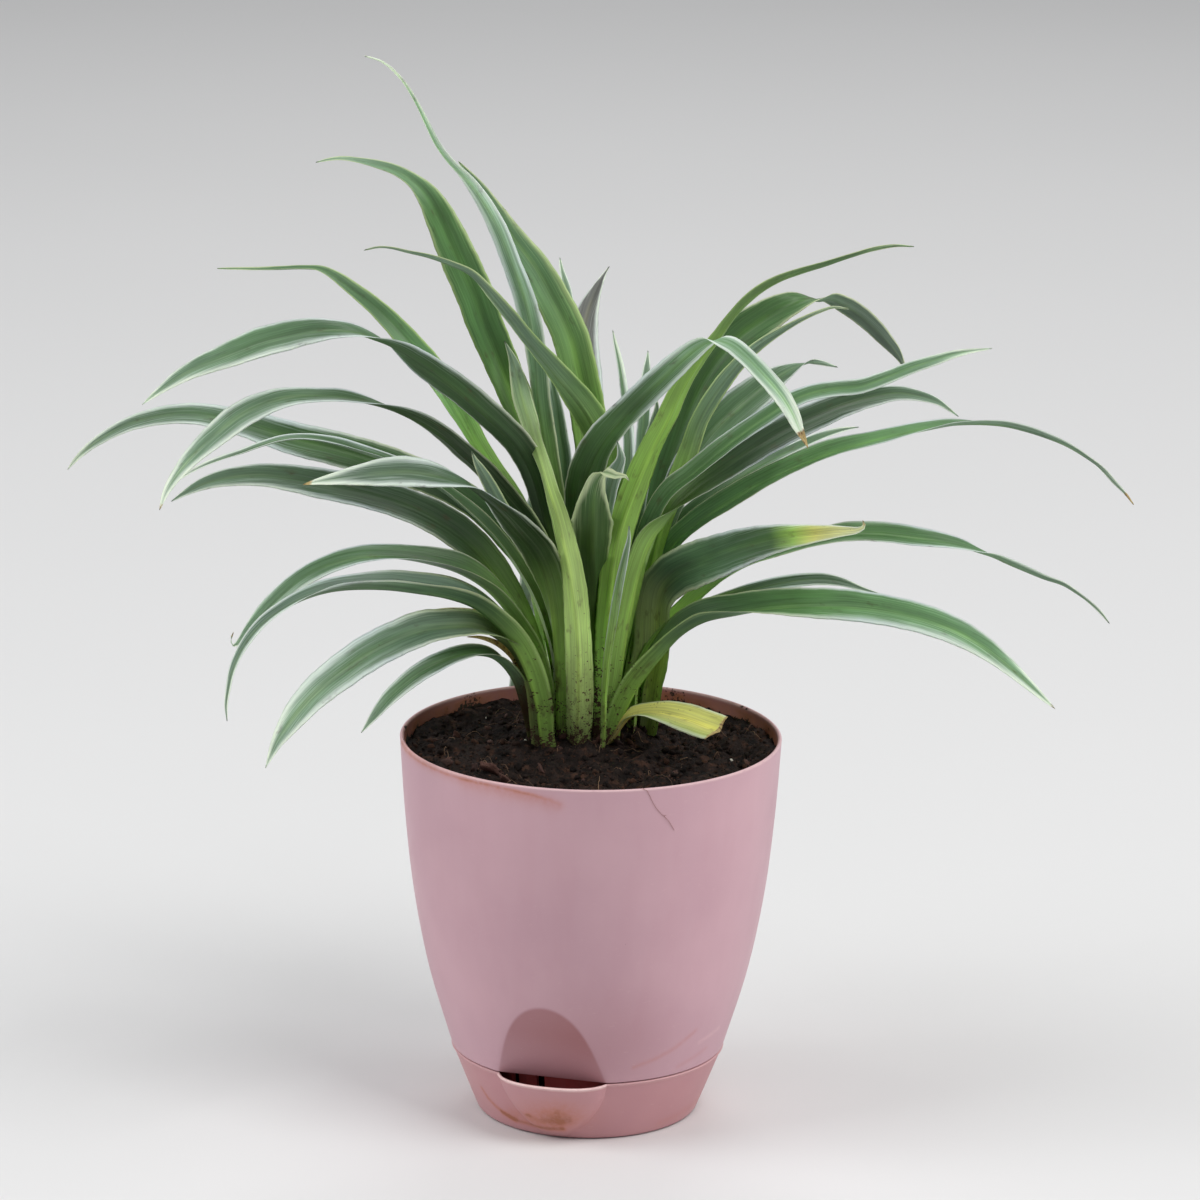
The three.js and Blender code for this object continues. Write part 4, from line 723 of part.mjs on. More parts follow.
const placed = [];
const overlaps = (a, b) => a.min[0] < b.max[0] && b.min[0] < a.max[0] && a.min[1] < b.max[1] && b.min[1] < a.max[1] && a.min[2] < b.max[2] && b.min[2] < a.max[2];
for (const leaf of LEAVES) {
  // the foot starts at the first half millimetre that is clear of the crown and the soil
  let start = 0, whole = leafSolid(leaf);
  while (start < 15 && (whole.intersect(crownClear).volume() > 0 || whole.intersect(soilClear).volume() > 0)) {
    start += 0.5;
    whole = leafSolid(leaf, 0, start);
  }
  // leaves placed earlier keep their shape; this one is cut back from them, with a
  // clearance that grows a little where the cut would leave slivers
  const box = whole.boundingBox();
  const near = placed.filter((o) => overlaps(box, o.box) && leafSolid(o.leaf, GAP, o.start).intersect(whole).volume() > 0);
  let geometry = toGeometry(whole);
  if (near.length) {
    let best = -1;
    for (let k = 1; k < 3 && best < 0.93; k += 0.04) {
      let cut = whole;
      for (const o of near) cut = cut.subtract(leafSolid(o.leaf, GAP * k, o.start));
      const trial = largestBody(toGeometry(cut.simplify(SLIVER)));
      if (!wellFormed(trial)) continue;
      const kept = toSolid(trial).volume() / whole.volume();
      if (kept > best) { best = kept; geometry = trial; }
    }
    if (best < 0) console.warn(`${leaf.name} keeps slivers`);
  }
  const reach = leafSolid(leaf, GAP, start).boundingBox();
  placed.push({ leaf, start, box: reach });
  const tint = leaf.name.includes('yellow') ? colour.yellow : leaf.name.includes('dried') ? colour.brown
    : /center|sheath|tall_right/.test(leaf.name) ? colour.pale : colour.leaf;
  addMesh(leaf.name, geometry, tint, 0.5);
}

export default group;
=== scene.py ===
import math

import bpy
import numpy as np
from mathutils import Matrix, Vector


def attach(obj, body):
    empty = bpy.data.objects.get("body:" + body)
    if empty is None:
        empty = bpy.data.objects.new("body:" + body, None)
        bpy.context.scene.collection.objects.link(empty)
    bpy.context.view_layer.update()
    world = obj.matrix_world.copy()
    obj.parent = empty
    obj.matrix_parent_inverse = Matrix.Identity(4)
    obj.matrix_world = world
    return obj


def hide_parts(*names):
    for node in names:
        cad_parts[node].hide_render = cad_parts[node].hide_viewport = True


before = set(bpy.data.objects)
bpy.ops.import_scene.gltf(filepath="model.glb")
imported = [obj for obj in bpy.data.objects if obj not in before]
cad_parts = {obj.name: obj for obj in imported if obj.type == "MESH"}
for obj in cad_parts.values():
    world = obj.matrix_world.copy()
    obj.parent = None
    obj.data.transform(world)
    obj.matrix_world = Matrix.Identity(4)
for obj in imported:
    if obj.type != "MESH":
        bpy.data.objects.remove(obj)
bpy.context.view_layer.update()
MM = 0.001
RNG = np.random.default_rng(20417)

# ---------------------------------------------------------------- sizes, in millimetres
POT_H = 122.25
SEAM_Z = 21.4
GAP = 0.3
WALL = 1.8
FLOOR_T = 2.4
BODY_R = [43.21, 50.58, 55.44, 58.27, 60.0]
SPOUT_AZ = math.radians(-16.0)
SPOUT_HALF = math.radians(24.5)
SPOUT_OUT = 5.0
RECESS_FOOT = 39.4
RECESS_TOP_Z = 48.5
SOIL_Z = 115.2
MOUND_H = 4.6
CROWN = (-1.0, 9.0, 113.0, 19.0, 14.0, 6.6)

# one row per leaf: key, node, fold (share of length, degrees), blunt end, and its path
# (x, y, z, direction across x, y, z, width), from the foot to the tip
LEAVES = [
    ["P", "leaf_center_front", [[0, 35], [0.7, 20], [1, 20]], 0, [
        [-2.9, 0.5, 117.0, -1, 0.07, 0.05, 6.0], [-3.1, 0.0, 121.0, -1, 0.07, 0.05, 6.3],
        [-2.9, -2.3, 134.1, -1, 0.06, 0, 7.2], [-3.4, -4.8, 147.9, -1, 0.04, -0.05, 7.5],
        [-4.4, -8.1, 161.7, -1, 0.03, -0.07, 7.5], [-5.8, -11.3, 175.5, -0.92, 0.39, -0.08, 7.9],
        [-8.0, -12.0, 186.9, -0.87, 0.44, -0.2, 7.5], [-10.3, -11.5, 196.3, -0.83, 0.48, -0.26, 6.7],
        [-12.9, -10.5, 204.0, -0.67, 0.58, -0.46, 6.0], [-15.1, -6.4, 210.0, -0.56, 0.49, -0.67, 5.3],
        [-18.0, -1.0, 216.3, -0.89, 0.09, -0.44, 4.5], [-20.3, 3.7, 222.7, -0.95, -0.03, -0.31, 5.9],
        [-22.3, 7.0, 228.3, -0.95, -0.02, -0.3, 6.5], [-23.9, 9.5, 234.1, -0.97, -0.01, -0.25, 5.3],
        [-25.5, 11.5, 239.7, -0.95, -0.02, -0.32, 2.8], [-28.1, 13.0, 245.3, -0.86, -0.06, -0.5, 0.4],
    ]],
    ["L", "leaf_lower_left_2", [[0, 44], [0.15, 50], [0.6, 47], [0.8, 20], [1, 14]], 0, [
        [-12.5, -2.3, 117.0, -0.77, 0.64, -0.02, 5.5], [-13.5, -3.0, 122.8, -0.77, 0.64, -0.02, 5.8],
        [-14.5, -3.6, 134.4, -0.74, 0.67, -0.05, 6.7], [-17.1, -4.7, 146.1, -0.63, 0.77, -0.1, 7.3],
        [-20.9, -6.0, 155.5, -0.49, 0.86, -0.12, 7.9], [-26.2, -7.7, 163.3, -0.34, 0.94, -0.02, 8.3],
        [-33.7, -10.3, 170.4, -0.25, 0.96, 0.13, 8.8], [-42.6, -13.4, 174.7, -0.29, 0.95, 0.13, 9.2],
        [-53.4, -17.3, 177.5, -0.32, 0.94, 0.11, 9.2], [-64.0, -21.1, 179.1, -0.32, 0.94, 0.11, 8.3],
        [-73.2, -24.4, 179.2, -0.35, 0.93, 0.11, 7.5], [-81.3, -27.5, 178.0, -0.39, 0.91, 0.1, 6.7],
        [-89.2, -30.9, 175.4, -0.45, 0.89, 0.11, 5.9], [-95.8, -34.1, 171.9, -0.53, 0.83, 0.16, 5.2],
        [-101.2, -37.1, 168.0, -0.66, 0.71, 0.26, 4.5], [-105.0, -39.7, 163.9, -0.79, 0.53, 0.31, 3.8],
        [-107.9, -42.2, 159.5, -0.84, 0.52, 0.17, 3.2], [-109.9, -44.7, 154.8, -0.87, 0.5, 0, 2.5],
        [-111.0, -47.6, 149.2, -0.92, 0.4, -0.07, 1.7], [-111.5, -49.9, 144.8, -1, 0.01, 0.03, 1.2],
        [-111.1, -52.0, 141.0, -0.97, -0.07, -0.24, 0.4],
    ]],
    ["AF", "leaf_lower_right_3", [[0, 44], [0.35, 46], [0.55, 24], [1, 12]], 0, [
        [5.8, 0.5, 117.0, -0.64, -0.76, 0.15, 6.5], [6.3, 0.0, 126.4, -0.64, -0.76, 0.15, 6.8],
        [9.0, -0.4, 135.4, -0.57, -0.81, 0.15, 7.6], [13.3, -1.5, 144.5, -0.42, -0.9, 0.09, 8.3],
        [18.2, -2.8, 152.1, -0.17, -0.98, -0.06, 8.8], [24.3, -4.6, 159.8, -0.11, -0.97, -0.2, 9.3],
        [32.9, -7.8, 166.3, -0.27, -0.93, -0.25, 9.9], [43.6, -12.9, 169.5, -0.35, -0.85, -0.4, 10.4],
        [56.4, -19.6, 171.8, -0.32, -0.75, -0.58, 11.0], [68.6, -25.7, 173.0, -0.22, -0.58, -0.78, 10.0],
        [80.7, -31.2, 173.7, -0.12, -0.32, -0.94, 9.8], [92.8, -36.7, 173.4, -0.21, -0.31, -0.93, 9.5],
        [103.3, -41.5, 172.0, -0.32, -0.3, -0.9, 9.2], [112.3, -45.9, 169.5, -0.45, -0.27, -0.85, 8.3],
        [119.8, -49.8, 166.0, -0.58, -0.25, -0.78, 6.7], [126.7, -53.7, 161.5, -0.66, -0.23, -0.72, 4.9],
        [132.7, -57.3, 156.9, -0.68, -0.22, -0.7, 3.3], [136.9, -59.8, 153.6, -0.68, -0.22, -0.7, 2.1],
        [140.5, -62.0, 150.8, -0.67, -0.22, -0.7, 0.4],
    ]],
    ["R", "leaf_tall_right", [[0, 36], [0.7, 18], [1, 18]], 0, [
        [3.2, 1.4, 117.0, -0.99, -0.02, 0.13, 6.0], [3.5, 1.0, 124.1, -0.99, -0.02, 0.13, 6.3],
        [4.3, 0.7, 136.6, -1, -0.06, 0.01, 6.9], [4.4, -0.1, 153.2, -1, -0.05, 0.02, 7.2],
        [5.2, -1.1, 166.4, -1, -0.04, 0.08, 7.8], [6.6, -2.3, 179.7, -0.99, -0.02, 0.14, 8.4],
        [8.9, -3.4, 191.2, -0.97, 0.01, 0.25, 8.7], [11.9, -4.7, 201.2, -0.95, 0.02, 0.3, 8.4],
        [15.2, -6.3, 211.3, -0.92, -0.29, 0.27, 8.4], [18.5, -7.9, 219.7, -0.84, -0.47, 0.28, 8.3],
        [22.4, -9.7, 228.1, -0.8, -0.55, 0.23, 7.8], [25.9, -11.6, 236.5, -0.78, -0.59, 0.22, 7.2],
        [29.8, -13.4, 243.9, -0.74, -0.62, 0.27, 6.7], [33.7, -15.0, 250.0, -0.69, -0.65, 0.32, 6.3],
        [37.2, -16.4, 254.8, -0.7, -0.66, 0.27, 5.9], [40.5, -18.1, 260.2, -0.67, -0.72, 0.2, 5.5],
        [44.6, -19.9, 265.7, -0.64, -0.71, 0.29, 5.1], [49.4, -21.9, 270.5, -0.6, -0.7, 0.39, 4.6],
        [55.3, -24.1, 274.5, -0.53, -0.66, 0.53, 4.1], [61.9, -26.5, 277.6, -0.48, -0.62, 0.62, 3.6],
        [69.3, -29.3, 280.5, -0.48, -0.6, 0.64, 3.0], [76.7, -32.2, 283.7, -0.52, -0.55, 0.65, 2.3],
        [84.1, -35.3, 286.7, -0.44, -0.4, 0.8, 1.6], [90.6, -38.0, 288.3, -0.07, 0.15, 0.99, 0.9],
        [95.3, -40.0, 288.5, 0.12, 0.14, 0.98, 0.4],
    ]],
    ["SH1", "leaf_sheath_right", [[0, 30], [0.7, 20], [1, 20]], 0, [
        [3.7, -5.2, 117.0, -0.95, -0.32, -0.06, 1.8], [3.9, -5.6, 126.2, -0.95, -0.32, -0.06, 1.9],
        [4.0, -6.0, 135.3, -0.95, -0.32, -0.06, 2.0], [4.8, -8.6, 149.1, -0.92, -0.4, 0.03, 2.8],
        [6.5, -10.0, 162.4, -0.92, -0.38, 0.12, 3.1], [8.5, -10.0, 175.3, -0.99, -0.01, 0.17, 2.8],
        [10.3, -10.0, 184.3, -0.98, 0, 0.22, 2.2], [11.1, -10.0, 188.8, -0.99, -0.03, 0.11, 1.2],
        [11.1, -10.0, 192.4, -0.98, -0.1, -0.16, 0.4],
    ]],
    ["T", "leaf_center_curled", [[0, 30], [0.7, 10], [1, 10]], 0, [
        [-0.6, 13.1, 114.9, -0.63, -0.75, 0.21, 8.5], [-0.7, 13.0, 121.5, -0.63, -0.75, 0.21, 9.0],
        [-0.7, 9.5, 143.8, -0.49, -0.84, 0.23, 12.1], [-0.9, 1.0, 165.7, -0.5, -0.84, 0.22, 14.4],
        [-0.6, -8.1, 181.1, -0.76, -0.63, 0.16, 12.3], [-0.4, -16.5, 193.0, -1, -0.06, 0, 12.4],
        [-0.3, -22.5, 202.2, -1, -0.07, -0.03, 15.1], [0.3, -26.4, 208.9, -1, -0.06, 0, 14.4],
        [1.5, -27.8, 213.1, -1, -0.06, 0, 9.5], [2.8, -28.5, 214.8, -0.98, -0.11, -0.15, 3.7],
        [4.7, -29.0, 214.4, -0.75, -0.23, -0.62, 4.0], [7.0, -29.6, 213.7, -0.5, -0.29, -0.81, 5.4],
        [9.6, -29.9, 213.7, -0.44, -0.3, -0.85, 4.1], [10.7, -30.0, 212.4, -0.44, -0.3, -0.85, 0.7],
    ]],
    ["I", "leaf_front_left", [[0, 38], [0.7, 12], [1, 12]], 0, [
        [-7.4, 2.4, 117.0, -0.5, 0.87, 0.02, 7.3], [-7.8, 2.2, 126.6, -0.5, 0.87, 0.02, 7.7],
        [-8.0, 2.0, 136.1, -0.5, 0.87, 0.02, 8.1], [-9.0, -0.4, 149.8, -0.57, 0.8, 0.17, 9.5],
        [-10.7, -5.0, 164.1, -0.77, 0.62, 0.1, 10.6], [-13.5, -10.5, 176.8, -0.93, 0.37, -0.06, 11.6],
        [-17.6, -18.3, 187.8, -0.93, 0.33, -0.18, 12.4], [-22.8, -26.1, 196.5, -0.88, 0.46, -0.15, 13.0],
        [-27.9, -32.8, 203.9, -0.79, 0.6, -0.09, 11.9], [-32.7, -37.8, 209.5, -0.68, 0.74, 0.03, 10.8],
        [-36.9, -41.6, 213.6, -0.57, 0.81, 0.15, 10.0], [-42.0, -45.6, 216.3, -0.45, 0.81, 0.38, 9.1],
        [-47.1, -49.4, 218.3, -0.15, 0.59, 0.79, 8.3], [-52.4, -53.3, 220.0, 0.05, 0.3, 0.95, 9.1],
        [-58.3, -57.5, 221.3, -0.05, 0.29, 0.95, 9.7], [-64.2, -61.6, 221.9, -0.13, 0.29, 0.95, 8.4],
        [-69.4, -65.2, 222.1, -0.18, 0.29, 0.94, 6.6], [-74.4, -68.4, 222.1, -0.2, 0.29, 0.94, 4.8],
        [-78.8, -71.3, 222.0, -0.21, 0.29, 0.93, 3.3], [-82.8, -73.8, 221.9, -0.23, 0.28, 0.93, 1.8],
        [-86.3, -76.0, 221.6, -0.26, 0.28, 0.92, 0.4],
    ]],
    ["Z", "leaf_right_2", [[0, 36], [0.7, 14], [1, 14]], 0, [
        [4.9, 1.4, 117.3, -0.7, -0.71, 0.05, 5.9], [5.3, 1.0, 128.1, -0.7, -0.71, 0.05, 6.2],
        [7.0, -0.1, 140.1, -0.69, -0.72, 0.04, 7.1], [8.8, -0.7, 153.4, -0.75, -0.66, 0.09, 7.8],
        [11.1, -0.7, 166.4, -0.77, -0.63, 0.14, 8.4], [14.1, -0.4, 179.2, -0.72, -0.66, 0.22, 9.0],
        [17.7, 0.1, 188.2, -0.62, -0.69, 0.38, 9.4], [23.2, 1.0, 195.7, 0.22, -0.97, -0.07, 9.8],
        [30.6, 2.3, 202.2, 0.42, -0.84, -0.33, 10.0], [39.9, 5.3, 207.7, 0.56, -0.57, -0.6, 9.2],
        [50.2, 10.2, 213.3, 0.55, -0.27, -0.79, 9.1], [59.5, 14.7, 217.8, 0.48, -0.28, -0.83, 9.4],
        [69.0, 19.0, 221.4, 0.43, -0.28, -0.86, 9.1], [78.4, 23.4, 224.3, 0.34, -0.29, -0.9, 7.9],
        [87.0, 27.4, 225.7, 0.25, -0.29, -0.92, 6.3], [95.4, 31.4, 226.1, 0.05, -0.29, -0.96, 4.7],
        [102.5, 34.9, 224.4, -0.19, -0.27, -0.94, 3.5], [108.4, 37.9, 221.8, -0.41, -0.24, -0.88, 2.2],
        [112.4, 40.3, 218.6, -0.57, -0.21, -0.79, 1.1], [115.0, 42.0, 216.3, -0.53, -0.22, -0.82, 0.4],
    ]],
    ["YC", "leaf_yellow_cut", [[0, 24], [0.7, 10], [1, 10]], 1, [
        [3.4, -2.4, 117.0, -0.08, -0.97, -0.24, 3.0], [4.8, -3.2, 120.6, -0.08, -0.97, -0.24, 3.4],
        [6.9, -4.0, 124.0, -0.08, -0.97, -0.24, 4.2], [8.8, -5.2, 127.9, -0.06, -0.96, -0.28, 6.4],
        [11.2, -6.5, 131.3, -0.28, -0.94, -0.21, 9.5], [15.3, -8.3, 133.2, -0.4, -0.91, -0.07, 10.5],
        [19.9, -10.7, 134.0, -0.47, -0.86, -0.22, 11.4], [25.2, -14.0, 133.8, -0.54, -0.74, -0.4, 11.4],
        [30.8, -18.2, 133.2, -0.58, -0.62, -0.52, 11.4], [35.7, -22.5, 132.6, -0.6, -0.59, -0.54, 11.4],
        [39.4, -26.0, 132.4, -0.61, -0.62, -0.49, 11.4],
    ]],
    ["M", "leaf_lower_left_3", [[0, 40], [0.7, 12], [1, 12]], 0, [
        [-14.9, 1.4, 117.0, -0.44, 0.9, -0.04, 7.2], [-16.1, 1.0, 128.1, -0.44, 0.9, -0.04, 7.6],
        [-17.4, 0.0, 138.2, -0.51, 0.86, 0.05, 8.7], [-19.9, -1.9, 146.9, -0.49, 0.87, 0.02, 9.5],
        [-23.7, -4.0, 153.6, -0.39, 0.92, 0.07, 10.1], [-28.7, -6.8, 158.2, -0.35, 0.89, 0.28, 10.7],
        [-34.8, -11.1, 161.6, -0.42, 0.77, 0.49, 11.2], [-42.5, -17.4, 163.2, -0.48, 0.65, 0.59, 11.9],
        [-50.6, -24.4, 163.8, -0.5, 0.54, 0.68, 11.9], [-59.0, -31.1, 162.1, -0.45, 0.28, 0.85, 11.1],
        [-68.0, -37.5, 159.0, -0.54, 0.27, 0.8, 11.4], [-76.3, -43.7, 154.6, -0.62, 0.25, 0.74, 11.0],
        [-83.4, -49.1, 150.0, -0.7, 0.23, 0.68, 10.1], [-88.7, -53.6, 145.2, -0.79, 0.19, 0.58, 8.6],
        [-92.8, -57.4, 140.2, -0.84, 0.17, 0.51, 6.7], [-95.7, -60.3, 136.0, -0.9, 0.14, 0.42, 4.3],
        [-97.4, -62.4, 132.5, -0.93, 0.12, 0.34, 2.1], [-98.6, -64.0, 129.8, -0.94, 0.11, 0.33, 0.4],
    ]],
    ["N", "leaf_lower_left_4", [[0, 40], [0.7, 14], [1, 14]], 0, [
        [-17.3, 4.2, 117.0, -0.76, 0.64, -0.11, 5.1], [-18.6, 4.0, 123.9, -0.76, 0.64, -0.11, 5.3],
        [-20.5, 2.4, 133.2, -0.71, 0.7, 0.01, 6.4], [-22.7, -0.1, 141.1, -0.63, 0.77, 0.07, 7.1],
        [-26.2, -3.6, 147.3, -0.55, 0.81, 0.21, 7.7], [-30.2, -7.7, 151.3, -0.58, 0.77, 0.25, 8.2],
        [-35.4, -12.5, 153.2, -0.64, 0.74, 0.18, 8.6], [-40.9, -17.2, 153.2, -0.63, 0.73, 0.28, 7.7],
        [-46.9, -21.9, 151.9, -0.61, 0.62, 0.49, 6.7], [-53.0, -26.6, 149.6, -0.59, 0.26, 0.77, 5.9],
        [-58.4, -31.1, 146.4, -0.68, 0.24, 0.69, 5.6], [-62.6, -34.7, 143.2, -0.75, 0.22, 0.63, 4.6],
        [-65.8, -37.8, 139.9, -0.81, 0.2, 0.55, 3.4], [-68.5, -40.3, 136.8, -0.82, 0.19, 0.54, 1.8],
        [-70.3, -42.0, 134.7, -0.81, 0.2, 0.55, 0.4],
    ]],
    ["Q", "leaf_front_arch", [[0, 32], [0.7, 12], [1, 12]], 0, [
        [0.2, 17.0, 114.3, -0.7, -0.69, 0.19, 6.5], [0.2, 17.0, 121.4, -0.7, -0.69, 0.19, 6.8],
        [0.2, 17.0, 128.6, -0.7, -0.69, 0.19, 7.2], [0.1, 14.1, 149.1, -0.77, -0.62, 0.17, 8.6],
        [-1.2, 6.1, 170.8, -0.97, -0.24, 0.05, 9.7], [-2.6, -2.1, 189.2, -1, -0.06, 0, 11.2],
        [-3.3, -7.3, 201.7, -1, -0.06, 0, 11.8], [-2.0, -12.1, 211.6, -0.99, -0.12, 0.02, 11.5],
        [0.3, -16.4, 218.6, -0.95, -0.28, 0.09, 11.6], [3.9, -21.5, 225.4, -1, -0.06, 0, 11.1],
        [9.8, -28.2, 233.7, -0.99, -0.03, 0.12, 10.2], [15.9, -34.4, 241.4, -0.97, 0, 0.22, 9.4],
        [22.3, -41.0, 249.2, -0.95, 0.02, 0.31, 8.6], [27.7, -46.1, 255.6, -0.91, 0.05, 0.4, 7.3],
        [31.8, -49.2, 259.8, -0.85, -0.28, 0.44, 6.4], [34.1, -50.7, 261.4, -0.93, -0.26, 0.25, 6.1],
        [36.4, -52.1, 261.9, -0.97, -0.22, -0.12, 5.9], [40.5, -54.4, 261.2, -0.88, -0.19, -0.45, 5.4],
        [44.6, -57.2, 258.6, -0.86, -0.19, -0.47, 5.5], [49.3, -60.6, 254.6, -0.82, -0.21, -0.53, 5.4],
        [53.2, -63.4, 250.9, -0.8, -0.22, -0.56, 5.6], [56.6, -65.9, 247.1, -0.64, -0.26, -0.72, 5.5],
        [59.2, -68.1, 243.0, -0.59, -0.27, -0.76, 4.5], [61.3, -70.0, 238.6, -0.44, -0.3, -0.85, 3.3],
        [62.7, -71.1, 236.1, -0.44, -0.3, -0.85, 1.3], [63.8, -72.0, 233.8, -0.36, -0.31, -0.88, 0.3],
    ]],
    ["AC", "leaf_right_dry_tip", [[0, 30], [0.7, 12], [1, 12]], 0, [
        [11.9, 12.7, 117.0, 0.35, -0.93, -0.14, 8.1], [12.5, 12.8, 125.1, 0.35, -0.93, -0.14, 8.6],
        [12.8, 13.0, 133.2, 0.35, -0.93, -0.14, 9.1], [14.5, 11.1, 146.9, 0.47, -0.85, -0.22, 10.8],
        [15.9, 7.7, 159.2, 0.65, -0.69, -0.33, 12.1], [18.0, 4.3, 167.4, 0.61, -0.55, -0.57, 12.9],
        [22.9, -0.4, 173.9, 0.52, -0.27, -0.81, 13.8], [30.2, -8.1, 179.6, 0.3, -0.29, -0.91, 14.6],
        [37.7, -17.7, 185.1, 0.31, -0.29, -0.91, 13.6], [45.2, -26.3, 190.4, 0.28, -0.29, -0.91, 12.0],
        [52.6, -33.4, 194.6, 0.19, -0.3, -0.93, 9.8], [60.0, -40.1, 197.8, 0.1, -0.3, -0.95, 7.6],
        [66.5, -45.5, 200.1, -0.01, -0.39, -0.92, 5.9], [72.4, -50.1, 202.0, 0.03, -0.34, -0.94, 4.3],
        [77.1, -53.6, 203.3, -0.16, -0.49, -0.86, 2.9], [80.1, -55.6, 204.2, 0.14, -0.46, -0.88, 1.9],
        [81.8, -57.0, 205.8, 0.86, -0.2, -0.46, 1.2], [81.4, -58.0, 207.6, 0.77, 0.08, 0.63, 0.5],
    ]],
    ["E", "leaf_left_1", [[0, 36], [0.7, 14], [1, 14]], 0, [
        [-5.6, 8.0, 117.0, -0.61, 0.8, -0.04, 6.1], [-6.1, 8.0, 129.5, -0.61, 0.8, -0.04, 6.4],
        [-7.9, 7.3, 150.9, -0.76, 0.65, -0.04, 7.6], [-10.2, 5.7, 170.8, -0.84, 0.54, -0.07, 8.5],
        [-12.8, 4.1, 185.8, -0.88, 0.44, -0.15, 9.0], [-15.7, 2.2, 197.5, -0.92, 0.37, -0.12, 9.5],
        [-19.2, -3.2, 209.8, -0.93, 0.34, -0.17, 10.0], [-24.1, -7.8, 219.1, -0.81, 0.37, -0.45, 10.3],
        [-29.1, -9.9, 224.7, -0.71, 0.42, -0.57, 10.4], [-35.2, -11.9, 230.5, -0.7, 0.36, -0.62, 9.9],
        [-41.4, -13.9, 236.3, -0.68, 0.2, -0.71, 9.4], [-47.5, -15.7, 241.2, -0.62, 0.04, -0.78, 8.9],
        [-53.6, -17.4, 246.1, -0.66, 0.27, -0.7, 8.3], [-59.1, -18.9, 250.5, -0.53, 0.69, -0.49, 7.9],
        [-63.6, -20.1, 253.2, -0.34, 0.9, -0.26, 7.5], [-67.6, -21.1, 254.8, -0.23, 0.97, 0.02, 7.2],
        [-72.4, -22.3, 256.4, -0.15, 0.93, 0.32, 6.8], [-79.3, -24.0, 257.3, -0.14, 0.66, 0.74, 6.3],
        [-88.4, -26.5, 257.0, -0.19, 0.27, 0.94, 8.5], [-95.3, -28.6, 255.8, -0.26, 0.26, 0.93, 9.4],
        [-101.8, -30.6, 254.4, -0.33, 0.26, 0.91, 9.4], [-107.8, -32.6, 252.4, -0.4, 0.25, 0.88, 8.5],
        [-113.8, -34.7, 250.3, -0.39, 0.25, 0.89, 7.3], [-119.7, -36.8, 248.3, -0.41, 0.24, 0.88, 6.1],
        [-125.6, -39.1, 245.6, -0.54, 0.22, 0.81, 4.6], [-130.7, -41.2, 242.3, -0.62, 0.2, 0.76, 2.7],
        [-134.5, -43.0, 239.6, -0.65, 0.19, 0.74, 1.2], [-136.5, -44.0, 238.0, -0.69, 0.18, 0.7, 0.4],
    ]],
    ["K", "leaf_lower_left_1", [[0, 40], [0.45, 42], [0.8, 16], [1, 12]], 0, [
        [-11.5, 4.2, 117.0, -0.49, 0.87, 0.08, 5.4], [-12.1, 4.1, 124.6, -0.49, 0.87, 0.08, 5.7],
        [-12.4, 4.0, 132.2, -0.49, 0.87, 0.08, 6.0], [-14.3, 2.1, 143.2, -0.46, 0.89, 0.06, 6.9],
        [-17.5, 0.1, 153.8, -0.4, 0.92, 0.01, 7.6], [-22.9, -1.9, 164.0, -0.17, 0.98, 0.1, 8.3],
        [-30.4, -4.0, 173.2, -0.06, 0.98, 0.2, 8.9], [-39.7, -6.1, 179.5, -0.09, 0.97, 0.24, 9.4],
        [-49.9, -8.1, 182.5, -0.13, 0.95, 0.28, 9.3], [-60.4, -10.1, 183.8, -0.16, 0.91, 0.37, 8.3],
        [-71.5, -12.3, 183.3, -0.25, 0.79, 0.56, 7.2], [-81.3, -14.4, 180.7, -0.4, 0.5, 0.77, 6.2],
        [-89.6, -16.4, 176.7, -0.57, 0.25, 0.79, 5.9], [-96.3, -18.3, 171.5, -0.68, 0.22, 0.7, 5.9],
        [-101.8, -20.0, 166.1, -0.76, 0.2, 0.62, 5.3], [-106.1, -21.5, 161.0, -0.79, 0.18, 0.59, 3.7],
        [-108.8, -22.5, 157.8, -0.78, 0.19, 0.6, 1.9], [-110.6, -23.0, 156.3, -0.14, 0.77, 0.62, 1.2],
        [-111.5, -23.5, 158.3, 0.8, 0.58, 0.16, 0.7], [-110.8, -24.0, 160.7, 0.14, -0.2, -0.97, 0.4],
    ]],
    ["F", "leaf_left_2", [[0, 36], [0.7, 14], [1, 14]], 0, [
        [-7.4, 6.9, 117.6, -0.59, 0.81, -0.02, 5.4], [-8.0, 7.0, 131.4, -0.59, 0.81, -0.02, 5.7],
        [-10.0, 5.4, 151.4, -0.64, 0.77, 0.01, 6.8], [-12.1, 4.3, 168.0, -0.71, 0.7, -0.03, 7.4],
        [-15.9, 3.2, 182.8, -0.78, 0.57, -0.25, 8.0], [-20.7, 2.2, 191.0, -0.74, 0.53, -0.42, 8.3],
        [-25.1, 1.3, 197.0, -0.71, 0.55, -0.44, 8.6], [-29.7, 0.1, 203.0, -0.7, 0.57, -0.44, 8.8],
        [-34.7, -1.2, 208.8, -0.66, 0.57, -0.49, 9.1], [-40.0, -2.7, 213.9, -0.65, 0.58, -0.5, 9.2],
        [-45.2, -4.2, 219.0, -0.63, 0.62, -0.47, 8.9], [-50.8, -6.0, 223.5, -0.54, 0.7, -0.46, 8.5],
        [-56.3, -7.7, 227.0, -0.48, 0.8, -0.36, 8.1], [-61.8, -9.5, 229.9, -0.4, 0.89, -0.22, 7.7],
        [-67.3, -11.4, 231.9, -0.34, 0.94, -0.03, 7.3], [-72.1, -13.2, 233.2, -0.3, 0.94, 0.19, 7.0],
        [-78.2, -15.5, 234.6, -0.26, 0.86, 0.44, 6.5], [-84.8, -18.2, 235.3, -0.3, 0.79, 0.53, 6.1],
